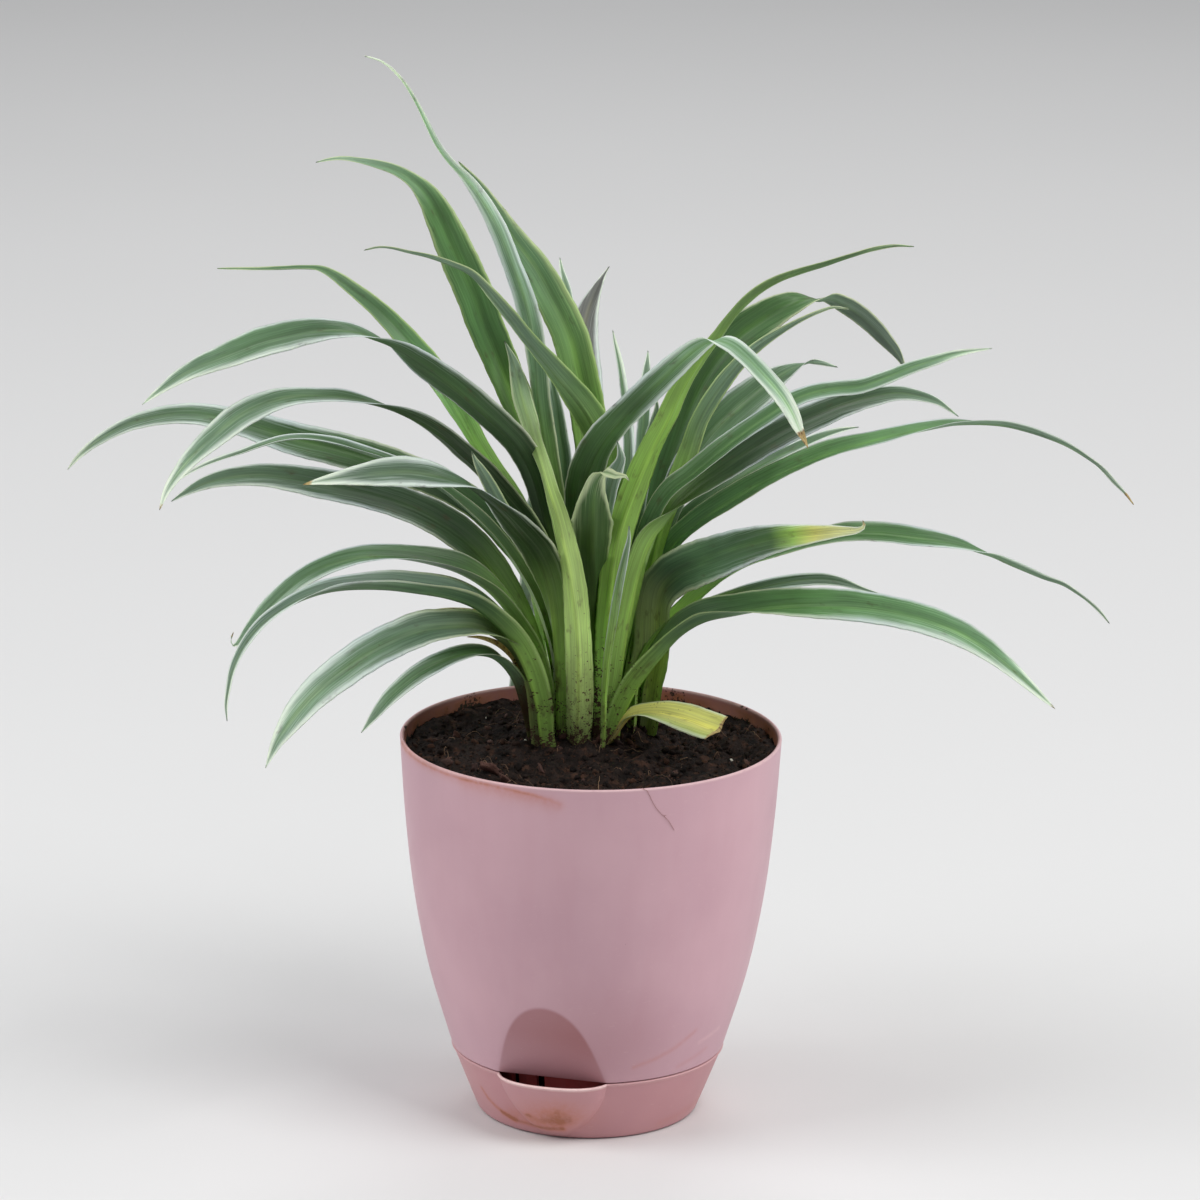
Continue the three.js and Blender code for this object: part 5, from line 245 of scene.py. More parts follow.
        [-90.8, -20.8, 235.6, -0.25, 0.54, 0.8, 5.6], [-96.8, -23.5, 235.1, -0.28, 0.27, 0.92, 6.7],
        [-102.7, -26.6, 233.5, -0.44, 0.25, 0.87, 8.0], [-108.7, -30.1, 230.9, -0.59, 0.22, 0.78, 8.6],
        [-114.2, -34.0, 227.1, -0.68, 0.19, 0.71, 7.9], [-119.2, -37.8, 223.2, -0.7, 0.19, 0.69, 6.4],
        [-123.5, -41.6, 219.4, -0.77, 0.16, 0.61, 4.9], [-127.2, -45.6, 215.1, -0.85, 0.13, 0.52, 3.3],
        [-129.7, -48.9, 211.2, -0.91, 0.1, 0.39, 2.1], [-131.1, -52.0, 207.3, -0.99, 0.02, 0.13, 0.4],
    ]],
    ["J", "leaf_left_5", [[0, 34], [0.7, 14], [1, 14]], 0, [
        [-12.7, 6.1, 117.0, 0.39, 0.92, 0.1, 6.4], [-13.3, 6.1, 124.3, 0.39, 0.92, 0.1, 6.7],
        [-13.6, 6.0, 131.6, 0.39, 0.92, 0.1, 7.1], [-16.3, 5.5, 144.8, 0.44, 0.89, 0.15, 8.3],
        [-20.8, 4.9, 158.0, 0.52, 0.81, 0.27, 9.2], [-26.5, 4.4, 168.4, 0.6, 0.69, 0.4, 9.9],
        [-32.8, 3.9, 177.5, 0.63, 0.56, 0.54, 10.5], [-39.7, 3.6, 184.7, 0.53, 0.56, 0.64, 11.1],
        [-47.8, 3.2, 190.5, 0.4, 0.57, 0.72, 11.4], [-57.2, 2.8, 195.0, 0.32, 0.4, 0.86, 10.4],
        [-66.5, 2.3, 198.2, 0.26, 0.31, 0.92, 10.0], [-75.8, 1.7, 200.6, 0.19, 0.31, 0.93, 10.0],
        [-85.1, 0.7, 202.5, 0.15, 0.31, 0.94, 9.7], [-94.4, -0.5, 204.4, 0.13, 0.31, 0.94, 8.4],
        [-103.0, -2.0, 205.6, 0.01, 0.31, 0.95, 7.2], [-110.3, -3.3, 205.5, -0.13, 0.3, 0.95, 6.2],
        [-117.4, -4.7, 204.5, -0.27, 0.28, 0.92, 5.0], [-122.6, -5.9, 202.8, -0.43, 0.26, 0.87, 3.4],
        [-127.2, -7.1, 200.5, -0.53, 0.24, 0.81, 1.9], [-130.5, -8.0, 198.5, -0.56, 0.23, 0.79, 0.4],
    ]],
    ["O", "leaf_left_short", [[0, 32], [0.7, 20], [1, 20]], 0, [
        [-10.6, 12.3, 114.3, -0.91, 0.4, -0.08, 2.6], [-11.1, 12.2, 135.2, -0.91, 0.4, -0.08, 2.7],
        [-11.4, 11.0, 156.4, -0.91, 0.4, -0.08, 2.9], [-14.9, 4.0, 171.2, -0.85, 0.5, -0.14, 3.9],
        [-20.2, -2.6, 184.3, -0.83, 0.43, -0.35, 4.6], [-25.8, -6.9, 193.3, -0.84, -0.09, -0.54, 4.3],
        [-29.6, -9.1, 200.3, -0.88, -0.08, -0.47, 4.3], [-32.7, -10.9, 206.5, -0.88, -0.08, -0.47, 4.3],
        [-35.1, -12.4, 211.2, -0.87, -0.08, -0.48, 3.1], [-36.7, -13.3, 214.3, -0.9, -0.07, -0.43, 1.5],
        [-37.6, -14.0, 216.7, -0.95, -0.04, -0.31, 0.4],
    ]],
    ["S7", "leaf_center_short_3", [[0, 30], [0.7, 20], [1, 20]], 0, [
        [2.3, 6.1, 117.0, -0.68, -0.73, -0.04, 3.3], [2.4, 6.1, 137.5, -0.68, -0.73, -0.04, 3.5],
        [2.4, 6.0, 157.9, -0.68, -0.73, -0.04, 3.7], [3.2, 1.6, 178.6, -0.54, -0.8, -0.26, 5.4],
        [3.9, -5.8, 193.4, -0.62, -0.67, -0.4, 5.4], [5.1, -14.4, 205.2, -0.99, -0.01, 0.12, 4.3],
        [6.8, -18.9, 212.8, -0.91, 0.05, 0.4, 5.2], [8.3, -20.8, 217.4, -1, -0.05, 0, 3.7],
        [7.8, -21.6, 220.1, -0.94, -0.14, -0.32, 1.8], [7.0, -22.0, 222.7, -0.96, -0.12, -0.24, 0.4],
    ]],
    ["C", "leaf_upper_left_crossing", [[0, 35], [0.7, 22], [1, 22]], 0, [
        [5.7, 10.8, 117.0, -0.56, 0.82, 0.04, 5.9], [6.0, 10.9, 125.3, -0.56, 0.82, 0.04, 6.2],
        [6.2, 11.0, 133.7, -0.56, 0.82, 0.04, 6.5], [7.2, 10.1, 156.8, -0.54, 0.84, 0.07, 7.9],
        [7.2, 8.5, 176.8, -0.64, 0.77, 0.07, 8.9], [6.4, 6.2, 193.6, -0.74, 0.67, 0.06, 9.6],
        [4.4, 2.4, 208.9, -0.89, 0.45, -0.03, 10.2], [0.5, -3.1, 222.4, -0.94, 0.17, -0.3, 10.4],
        [-5.1, -9.3, 233.1, -0.88, 0.22, -0.42, 9.4], [-10.4, -13.5, 241.0, -0.81, 0.49, -0.33, 8.6],
        [-15.3, -16.9, 247.7, -0.78, 0.55, -0.31, 7.9], [-20.6, -20.4, 254.7, -0.77, 0.56, -0.28, 7.2],
        [-25.7, -23.9, 262.0, -0.77, 0.58, -0.28, 6.4], [-30.3, -26.8, 268.2, -0.72, 0.65, -0.23, 5.6],
        [-34.2, -29.2, 273.3, -0.65, 0.73, -0.18, 5.0], [-38.1, -31.2, 277.5, -0.55, 0.8, -0.23, 4.4],
        [-44.2, -33.7, 280.7, -0.45, 0.84, -0.3, 3.7], [-50.7, -36.1, 283.3, -0.41, 0.84, -0.36, 2.9],
        [-56.7, -38.1, 284.9, -0.39, 0.8, -0.46, 2.2], [-62.1, -39.8, 286.3, -0.34, 0.76, -0.55, 1.5],
        [-65.7, -40.9, 286.6, -0.14, 0.55, -0.82, 0.9], [-69.5, -42.0, 285.9, 0.39, -0.12, -0.91, 0.4],
    ]],
    ["A1", "leaf_tall_hair_tip", [[0, 38], [0.7, 20], [1, 20]], 0, [
        [-5.4, 8.9, 117.0, -0.95, 0.29, -0.09, 4.4], [-5.8, 9.0, 129.2, -0.95, 0.29, -0.09, 4.7],
        [-7.5, 8.9, 150.5, -0.98, 0.2, -0.07, 5.5], [-9.7, 8.5, 176.6, -1, 0.03, -0.09, 6.3],
        [-11.7, 8.1, 196.1, -0.94, 0.34, -0.11, 6.7], [-14.1, 7.2, 212.3, -0.81, 0.58, -0.08, 7.1],
        [-16.4, 5.5, 228.7, -0.78, 0.63, -0.01, 7.5], [-18.3, 2.5, 245.3, -0.94, 0.33, -0.05, 7.0],
        [-21.8, -2.4, 262.2, -0.96, -0.02, -0.29, 6.8], [-26.1, -6.3, 275.0, -0.94, -0.03, -0.34, 5.8],
        [-30.1, -9.7, 286.0, -0.92, -0.04, -0.4, 5.8], [-34.7, -12.8, 295.3, -0.87, -0.06, -0.5, 4.6],
        [-39.9, -15.8, 303.3, -0.77, 0.47, -0.43, 3.9], [-44.7, -18.2, 308.7, -0.7, 0.65, -0.3, 3.5],
        [-48.3, -20.3, 314.0, -0.71, 0.69, -0.12, 3.1], [-51.3, -22.8, 320.6, -0.7, 0.71, -0.03, 2.7],
        [-54.5, -25.5, 327.8, -0.71, 0.71, -0.07, 2.1], [-59.6, -29.1, 336.4, -0.74, 0.61, -0.28, 1.4],
        [-65.2, -32.0, 341.7, -0.6, 0.31, -0.74, 0.7], [-69.9, -34.0, 343.5, -0.12, -0.13, -0.98, 0.4],
    ]],
    ["Y", "leaf_right_1", [[0, 34], [0.7, 16], [1, 16]], 0, [
        [7.8, 11.8, 117.0, 0.57, -0.8, -0.19, 4.6], [8.2, 11.9, 125.2, 0.57, -0.8, -0.19, 4.8],
        [8.4, 12.0, 133.4, 0.57, -0.8, -0.19, 5.1], [11.2, 8.5, 157.3, 0.6, -0.78, -0.2, 6.3],
        [14.1, 4.7, 177.9, 0.63, -0.73, -0.26, 7.1], [17.6, 0.9, 192.8, 0.5, -0.76, -0.41, 7.7],
        [23.1, -2.2, 202.7, 0.27, -0.85, -0.46, 8.0], [29.8, -3.1, 208.4, 0.29, -0.85, -0.43, 8.2],
        [37.4, -3.4, 215.0, 0.36, -0.82, -0.45, 7.7], [45.1, -3.6, 221.2, 0.38, -0.76, -0.52, 7.1],
        [52.7, -3.9, 226.7, 0.41, -0.68, -0.61, 6.5], [60.3, -4.3, 231.7, 0.34, -0.63, -0.7, 5.9],
        [66.4, -4.8, 234.4, 0.2, -0.6, -0.77, 5.4], [74.1, -5.6, 236.1, 0.09, -0.29, -0.95, 4.9],
        [81.8, -6.5, 237.2, 0.18, -0.29, -0.94, 4.9], [89.3, -7.6, 240.1, 0.37, -0.29, -0.88, 4.3],
        [96.9, -9.0, 243.7, 0.33, -0.29, -0.9, 4.0], [104.4, -10.4, 246.6, 0.3, -0.29, -0.91, 3.4],
        [110.5, -11.6, 248.9, 0.23, -0.29, -0.93, 2.5], [116.5, -12.9, 250.4, 0.12, -0.29, -0.95, 1.2],
        [121.3, -14.0, 251.3, 0.13, -0.29, -0.95, 0.4],
    ]],
    ["W", "leaf_upper_right_2", [[0, 36], [0.7, 20], [1, 20]], 0, [
        [9.6, 17.8, 115.2, -0.93, -0.33, 0.14, 3.7], [10.0, 17.9, 123.4, -0.93, -0.33, 0.14, 3.9],
        [10.3, 18.0, 131.7, -0.93, -0.33, 0.14, 4.1], [14.4, 16.6, 155.1, -0.92, -0.37, 0.16, 5.2],
        [18.5, 12.7, 175.8, -0.95, -0.23, 0.2, 5.9], [22.7, 9.4, 192.9, -0.95, -0.17, 0.27, 6.5],
        [26.6, 8.3, 204.5, -0.93, -0.14, 0.34, 6.4], [29.8, 7.6, 213.4, -0.95, 0.03, 0.31, 6.2],
        [32.5, 6.9, 222.0, -0.93, 0.04, 0.36, 5.6], [36.1, 6.1, 229.2, -0.86, 0.08, 0.51, 5.6],
        [41.2, 5.0, 237.2, -0.8, 0.09, 0.59, 5.0], [46.7, 3.7, 243.9, -0.71, 0.12, 0.7, 4.0],
        [51.5, 2.3, 248.4, -0.61, 0.13, 0.78, 3.1], [57.6, 0.6, 253.0, -0.61, -0.29, 0.74, 2.5],
        [63.6, -1.4, 257.0, -0.57, -0.34, 0.75, 1.8], [69.1, -3.2, 260.0, -0.5, -0.28, 0.82, 1.2],
        [73.3, -4.6, 261.6, -0.15, 0.16, 0.97, 0.9], [77.5, -6.0, 261.4, 0.38, 0.13, 0.91, 0.4],
    ]],
    ["AE", "leaf_lower_right_2", [[0, 38], [0.7, 18], [1, 18]], 0, [
        [11.9, 7.0, 117.3, 0.49, -0.84, -0.23, 3.9], [12.5, 7.0, 126.1, 0.49, -0.84, -0.23, 4.1],
        [12.8, 7.0, 134.9, 0.49, -0.84, -0.23, 4.3], [16.4, 5.0, 147.0, 0.26, -0.92, -0.29, 5.4],
        [21.9, 3.0, 155.7, 0.03, -0.95, -0.3, 6.0], [29.0, 1.2, 161.5, -0.11, -0.96, -0.25, 6.5],
        [36.7, -0.8, 166.1, -0.15, -0.96, -0.25, 7.0], [46.0, -3.4, 170.4, -0.13, -0.91, -0.38, 6.2],
        [55.2, -6.3, 173.6, -0.12, -0.82, -0.55, 5.2], [64.4, -9.6, 175.9, 0.04, -0.41, -0.91, 4.1],
        [71.1, -12.2, 177.0, -0.05, -0.32, -0.95, 4.0], [77.2, -14.7, 176.8, -0.26, -0.3, -0.92, 2.8],
        [82.7, -17.2, 175.6, -0.35, -0.29, -0.89, 1.5], [88.8, -20.0, 174.5, -0.2, -0.31, -0.93, 0.4],
    ]],
    ["AD", "leaf_lower_right_1", [[0, 38], [0.7, 18], [1, 18]], 0, [
        [13.1, 13.6, 117.0, 0.75, -0.61, -0.26, 4.8], [13.7, 13.8, 124.9, 0.75, -0.61, -0.26, 5.1],
        [14.1, 14.0, 132.9, 0.75, -0.61, -0.26, 5.3], [18.3, 12.0, 146.6, 0.65, -0.67, -0.36, 6.2],
        [23.8, 11.0, 156.1, 0.46, -0.78, -0.43, 6.6], [30.6, 10.4, 163.6, 0.38, -0.83, -0.42, 7.0],
        [37.4, 10.1, 170.2, 0.29, -0.89, -0.36, 7.4], [46.1, 10.0, 176.2, 0.17, -0.94, -0.31, 7.8],
        [57.0, 10.6, 180.4, 0.17, -0.95, -0.27, 8.2], [68.0, 12.0, 183.4, 0.23, -0.92, -0.31, 8.5],
        [79.0, 14.0, 185.4, 0.2, -0.82, -0.54, 8.4], [90.0, 16.3, 184.8, 0.05, -0.7, -0.71, 7.7],
        [101.2, 18.6, 183.0, 0.03, -0.69, -0.72, 7.0], [110.8, 21.1, 181.2, 0.1, -0.8, -0.59, 6.3],
        [117.2, 23.0, 179.4, 0.15, -0.91, -0.4, 5.8], [122.1, 24.7, 177.4, 0.29, -0.95, -0.11, 5.4],
        [126.0, 26.1, 175.8, 0.44, -0.86, 0.24, 5.1], [131.3, 28.3, 172.7, 0.54, -0.75, 0.38, 4.6],
        [136.9, 30.6, 169.6, 0.56, -0.65, 0.52, 4.1], [143.5, 33.6, 166.1, 0.53, -0.73, 0.44, 3.5],
        [149.2, 36.2, 163.5, 0.57, -0.71, 0.4, 2.9], [154.6, 39.0, 159.5, 0.64, -0.71, 0.29, 2.2],
        [159.4, 41.8, 155.2, 0.72, -0.6, 0.35, 1.5], [162.9, 44.1, 151.3, 0.76, 0.06, 0.64, 1.1],
        [165.4, 46.0, 147.8, 0.83, 0.03, 0.55, 0.4],
    ]],
    ["AA", "leaf_right_4", [[0, 38], [0.7, 22], [1, 22]], 0, [
        [10.2, 23.8, 113.4, 0.4, -0.9, -0.15, 5.0], [10.7, 23.9, 121.7, 0.4, -0.9, -0.15, 5.3],
        [11.0, 24.0, 130.0, 0.4, -0.9, -0.15, 5.6], [13.9, 21.4, 150.5, 0.5, -0.85, -0.16, 6.6],
        [18.0, 15.9, 168.4, 0.58, -0.78, -0.24, 7.3], [23.5, 11.3, 181.1, 0.48, -0.79, -0.38, 7.7],
        [31.8, 8.4, 190.0, 0.38, -0.78, -0.5, 8.1], [42.6, 8.1, 197.7, 0.35, -0.79, -0.5, 8.5],
        [53.4, 8.6, 204.4, 0.29, -0.85, -0.44, 8.9], [64.2, 9.4, 209.5, 0.23, -0.9, -0.37, 8.9],
        [75.1, 10.3, 213.6, 0.2, -0.9, -0.39, 8.3], [86.0, 11.3, 216.4, 0.17, -0.91, -0.37, 7.6],
        [95.3, 12.3, 218.5, 0.16, -0.95, -0.28, 7.1], [104.7, 13.4, 220.3, 0.17, -0.97, -0.17, 6.5],
        [111.6, 14.5, 221.4, 0.16, -0.99, 0, 6.0], [116.6, 15.3, 221.5, 0.17, -0.97, 0.16, 5.7],
        [122.0, 16.2, 221.2, 0.21, -0.89, 0.41, 5.3], [128.4, 17.5, 220.2, 0.29, -0.8, 0.53, 4.9],
        [134.8, 18.9, 218.3, 0.36, -0.73, 0.59, 4.4], [141.2, 20.4, 215.9, 0.39, -0.79, 0.47, 3.9],
        [147.7, 22.0, 212.9, 0.42, -0.84, 0.34, 3.4], [154.2, 23.9, 208.6, 0.47, -0.83, 0.31, 2.7],
        [159.8, 25.7, 204.0, 0.6, -0.74, 0.32, 2.1], [164.6, 27.6, 198.4, 0.73, 0.05, 0.68, 1.4],
        [167.9, 28.9, 194.8, 0.74, 0.05, 0.67, 0.9], [170.4, 30.0, 191.3, 0.91, -0.03, 0.41, 0.4],
    ]],
    ["B", "leaf_upper_left_1", [[0, 35], [0.7, 14], [1, 14]], 0, [
        [-5.1, 13.6, 117.0, 0.54, 0.84, 0.06, 7.4], [-5.5, 14.0, 129.4, 0.54, 0.84, 0.06, 7.8],
        [-7.6, 14.0, 149.0, 0.52, 0.85, 0.06, 9.2], [-10.3, 13.8, 171.9, 0.56, 0.82, 0.09, 10.4],
        [-14.0, 13.4, 193.0, 0.6, 0.79, 0.14, 11.4], [-17.8, 13.1, 209.2, 0.64, 0.74, 0.2, 12.1],
        [-22.3, 12.3, 222.9, 0.61, 0.73, 0.3, 12.5], [-26.7, 10.9, 233.7, 0.73, 0.56, 0.39, 11.7],
        [-30.8, 9.0, 243.7, 0.9, 0.17, 0.41, 10.9], [-34.5, 6.7, 253.1, 0.92, 0.16, 0.36, 11.5],
        [-37.6, 4.0, 262.8, 0.92, 0.16, 0.37, 11.8], [-41.0, 1.6, 271.2, 0.89, 0.17, 0.42, 11.7],
        [-44.4, -0.8, 279.5, 0.9, 0.17, 0.41, 11.1], [-48.1, -3.3, 288.2, 0.88, 0.17, 0.44, 9.5],
        [-51.7, -5.6, 295.1, 0.78, 0.2, 0.6, 7.4], [-56.5, -7.7, 300.5, 0.4, 0.55, 0.73, 4.7],
        [-61.7, -9.7, 304.0, 0.07, 0.75, 0.66, 4.0], [-67.7, -11.8, 306.3, -0.05, 0.74, 0.67, 3.1],
        [-72.8, -13.6, 307.7, -0.17, 0.84, 0.51, 2.4], [-77.6, -15.3, 308.6, -0.23, 0.77, 0.59, 1.7],
        [-81.2, -16.6, 308.5, -0.3, 0.58, 0.76, 1.0], [-85.1, -18.0, 307.8, -0.3, 0.23, 0.93, 0.4],
    ]],
    ["G", "leaf_left_3", [[0, 36], [0.7, 12], [1, 12]], 0, [
        [-9.2, 14.6, 117.0, 0.46, 0.88, 0.09, 6.5], [-9.7, 14.8, 124.7, 0.46, 0.88, 0.09, 6.8],
        [-9.9, 15.0, 132.3, 0.46, 0.88, 0.09, 7.2], [-12.0, 15.1, 147.0, 0.54, 0.84, 0.06, 8.2],
        [-14.6, 15.3, 161.0, 0.62, 0.76, 0.17, 8.9], [-19.8, 15.6, 172.3, 0.61, 0.71, 0.35, 9.4],
        [-26.8, 16.0, 181.8, 0.57, 0.7, 0.42, 9.9], [-35.6, 17.9, 190.7, 0.56, 0.68, 0.46, 10.4],
        [-45.2, 21.4, 196.1, 0.5, 0.61, 0.61, 10.9], [-54.8, 25.7, 199.1, 0.45, 0.56, 0.69, 11.3],
        [-64.4, 30.5, 201.4, 0.42, 0.55, 0.72, 11.6], [-74.1, 35.6, 202.9, 0.31, 0.35, 0.89, 11.2],
        [-83.8, 40.6, 204.2, 0.25, 0.3, 0.92, 11.1], [-93.5, 45.2, 205.2, 0.26, 0.3, 0.92, 10.8],
        [-103.3, 50.0, 206.8, 0.32, 0.3, 0.9, 9.9], [-113.1, 55.2, 208.4, 0.27, 0.3, 0.92, 8.6],
        [-120.4, 59.1, 209.0, 0.21, 0.3, 0.93, 7.7], [-127.0, 62.7, 209.1, 0.11, 0.29, 0.95, 7.1],
        [-134.7, 66.9, 208.0, -0.06, 0.28, 0.96, 6.4], [-143.1, 71.7, 205.4, -0.2, 0.27, 0.94, 5.5],
        [-151.5, 76.9, 201.5, -0.36, 0.24, 0.9, 4.5], [-158.4, 81.4, 196.8, -0.51, 0.21, 0.84, 3.6],
        [-164.3, 85.8, 191.7, -0.6, 0.19, 0.77, 2.6], [-168.5, 89.2, 187.1, -0.71, 0.16, 0.69, 1.6],
        [-171.4, 92.0, 183.0, -0.81, 0.12, 0.57, 0.4],
    ]],
    ["H", "leaf_left_4", [[0, 34], [0.7, 22], [1, 22]], 0, [
        [-9.3, 9.7, 117.9, 0.35, 0.93, 0.06, 4.2], [-9.7, 9.8, 129.1, 0.35, 0.93, 0.06, 4.5],
        [-10.0, 10.0, 140.3, 0.35, 0.93, 0.06, 4.7], [-13.9, 10.2, 156.6, 0.34, 0.93, 0.11, 5.6],
        [-20.3, 11.3, 170.8, 0.28, 0.95, 0.16, 6.2], [-29.2, 12.5, 183.4, 0.2, 0.97, 0.14, 6.8],
        [-38.7, 14.2, 192.6, 0.25, 0.97, 0.04, 7.2], [-48.2, 17.2, 199.1, 0.32, 0.95, -0.06, 7.6],
        [-57.1, 20.6, 203.3, 0.34, 0.94, -0.07, 7.3], [-65.7, 23.9, 205.9, 0.34, 0.94, -0.06, 6.7],
        [-73.7, 26.8, 207.7, 0.34, 0.94, -0.02, 6.2], [-80.1, 29.3, 209.0, 0.37, 0.93, 0.01, 5.8],
        [-86.5, 31.9, 209.6, 0.38, 0.92, 0.08, 5.3], [-93.0, 34.6, 209.3, 0.37, 0.91, 0.19, 4.8],
        [-99.4, 37.6, 207.7, 0.31, 0.89, 0.33, 4.3], [-106.0, 40.8, 204.8, 0.26, 0.88, 0.4, 3.8],
        [-112.5, 44.3, 201.4, 0.24, 0.86, 0.45, 3.2], [-119.1, 48.0, 198.2, 0.21, 0.83, 0.52, 2.5],
        [-124.8, 51.2, 195.1, 0.07, 0.76, 0.65, 1.8], [-129.8, 54.4, 191.6, -0.2, 0.61, 0.76, 1.1],
        [-134.8, 58.0, 187.0, -0.63, 0.2, 0.75, 0.4],
    ]],
    ["X", "leaf_upper_right_3", [[0, 34], [0.7, 14], [1, 14]], 0, [
        [10.2, 25.5, 114.0, 0.38, -0.92, -0.03, 6.7], [10.7, 25.8, 121.7, 0.38, -0.92, -0.03, 7.1],
        [11.0, 26.0, 129.4, 0.38, -0.92, -0.03, 7.4], [15.1, 26.1, 152.5, 0.41, -0.91, -0.04, 9.6],
        [19.3, 22.9, 173.1, 0.47, -0.88, -0.01, 11.0], [23.4, 21.5, 189.8, 0.58, -0.81, -0.02, 12.0],
        [29.5, 24.2, 203.8, 0.8, -0.51, -0.31, 10.7], [37.0, 28.1, 213.6, 0.76, -0.23, -0.61, 11.7],
        [44.2, 32.3, 219.8, 0.67, -0.25, -0.7, 12.0], [51.1, 37.0, 224.6, 0.66, -0.25, -0.71, 11.1],
        [56.9, 41.3, 228.2, 0.59, -0.25, -0.76, 7.6], [61.6, 44.8, 230.3, 0.59, -0.41, -0.7, 4.3],
        [65.2, 47.5, 231.5, 0.58, -0.81, 0.05, 3.5], [67.4, 49.1, 231.8, 0.44, -0.61, 0.66, 3.0],
        [71.3, 51.8, 230.9, 0.4, -0.09, 0.91, 2.0], [74.6, 54.3, 229.5, 0.29, 0.16, 0.94, 1.3],
        [76.9, 56.0, 228.5, 0.31, 0.16, 0.94, 0.4],
    ]],
    ["A2", "leaf_tall_rear", [[0, 35], [0.7, 14], [1, 14]], 0, [
        [-0.4, 15.5, 117.0, 0.69, 0.73, 0.03, 7.1], [-0.4, 16.0, 125.5, 0.69, 0.73, 0.03, 7.4],
        [0.6, 14.5, 149.0, 0.7, 0.72, 0.01, 9.2], [1.3, 13.4, 168.9, 0.77, 0.64, 0.02, 10.3],
        [1.1, 12.5, 188.6, 0.83, 0.56, 0.05, 11.2], [-0.0, 11.9, 208.1, 0.87, 0.49, 0.1, 12.0],
        [-2.0, 11.5, 222.7, 0.98, 0.11, 0.18, 11.2], [-4.7, 11.1, 235.5, 0.97, 0.12, 0.21, 11.5],
        [-7.9, 10.8, 248.3, 0.93, 0.15, 0.34, 11.5], [-13.3, 10.6, 259.7, 0.87, 0.17, 0.46, 10.9],
        [-19.3, 10.3, 270.2, 0.81, 0.19, 0.56, 9.6], [-26.1, 10.2, 279.3, 0.79, 0.2, 0.58, 7.7],
        [-31.4, 10.1, 287.4, 0.84, 0.19, 0.52, 5.6], [-36.1, 10.0, 294.6, 0.79, 0.2, 0.58, 3.7],
        [-39.5, 10.0, 299.0, 0.75, 0.21, 0.62, 2.2], [-42.6, 10.0, 302.7, 0.76, 0.21, 0.62, 0.4],
    ]],
    ["S1", "leaf_center_short_1", [[0, 30], [0.7, 18], [1, 18]], 0, [
        [-5.9, 10.8, 117.3, 0.63, 0.76, 0.13, 3.3], [-6.1, 10.9, 133.6, 0.63, 0.76, 0.13, 3.5],
        [-6.3, 11.0, 149.9, 0.63, 0.76, 0.13, 3.7], [-8.4, 9.8, 176.3, 0.62, 0.78, 0.08, 5.5],
        [-8.9, 8.9, 195.9, 0.8, 0.6, 0.05, 5.4], [-9.7, 7.9, 210.6, 0.98, 0.1, 0.14, 5.3],
        [-11.0, 7.4, 218.8, 0.98, 0.11, 0.15, 5.3], [-12.0, 6.8, 226.9, 0.98, 0.1, 0.15, 4.0],
        [-13.0, 6.4, 232.4, 0.97, 0.12, 0.21, 2.5], [-13.6, 6.2, 235.9, 0.99, 0.1, 0.12, 1.1],
        [-13.7, 6.0, 238.5, 0.99, 0.04, -0.11, 0.4],
    ]],
    ["S6", "leaf_center_short_2", [[0, 30], [0.7, 20], [1, 20]], 0, [
        [8.6, 15.5, 117.0, 0.89, -0.43, -0.17, 3.1], [9.1, 15.8, 139.4, 0.89, -0.43, -0.17, 3.2],
        [9.3, 16.0, 161.8, 0.89, -0.43, -0.17, 3.4], [12.2, 14.8, 181.7, 0.85, -0.51, -0.15, 5.0],
        [15.1, 13.6, 201.4, 0.98, -0.11, -0.17, 5.3], [17.1, 12.9, 212.9, 0.97, -0.12, -0.19, 4.7],
        [18.9, 12.4, 221.7, 0.97, -0.12, -0.22, 2.8], [19.4, 12.2, 225.0, 0.99, -0.09, -0.1, 1.6],
        [19.1, 12.0, 228.6, 0.94, 0.01, 0.33, 0.4],
    ]],
    ["AB", "leaf_right_3", [[0, 36], [0.7, 18], [1, 18]], 0, [
        [9.5, 21.5, 115.2, 0.56, -0.83, 0.04, 3.9], [10.0, 21.8, 124.5, 0.56, -0.83, 0.04, 4.1],
        [10.3, 22.0, 133.8, 0.56, -0.83, 0.04, 4.3], [13.2, 25.3, 152.7, 0.56, -0.83, 0.09, 5.5],
        [17.4, 27.5, 168.5, 0.58, -0.81, 0.04, 6.2], [23.6, 29.7, 180.5, 0.56, -0.83, -0.04, 6.8],
        [32.1, 33.3, 188.5, 0.55, -0.83, -0.12, 6.9], [41.6, 38.8, 194.0, 0.59, -0.78, -0.18, 5.9],
        [52.8, 46.7, 198.7, 0.65, -0.69, -0.31, 4.8], [64.1, 56.2, 202.1, 0.61, -0.5, -0.61, 3.5],
        [72.3, 63.9, 203.9, 0.4, -0.28, -0.87, 2.6], [78.9, 70.2, 204.4, 0.27, -0.28, -0.92, 1.9],
        [84.9, 76.0, 204.0, 0.16, -0.28, -0.95, 0.4],
    ]],
    ["TB", "leaf_lower_left_5", [[0, 34], [0.7, 20], [1, 20]], 0, [
        [-12.7, 11.0, 116.1, 0.54, 0.82, 0.16, 2.8], [-13.4, 11.0, 124.8, 0.54, 0.82, 0.16, 2.9],
        [-13.7, 11.0, 133.4, 0.54, 0.82, 0.16, 3.1], [-16.9, 9.8, 145.2, 0.29, 0.93, 0.24, 4.0],
        [-22.6, 8.0, 153.8, 0.02, 0.97, 0.25, 4.6], [-31.4, 5.7, 158.9, -0.14, 0.98, 0.17, 5.0],
        [-41.4, 2.6, 161.3, -0.21, 0.95, 0.22, 4.1], [-50.7, -0.6, 161.4, -0.29, 0.89, 0.35, 3.1],
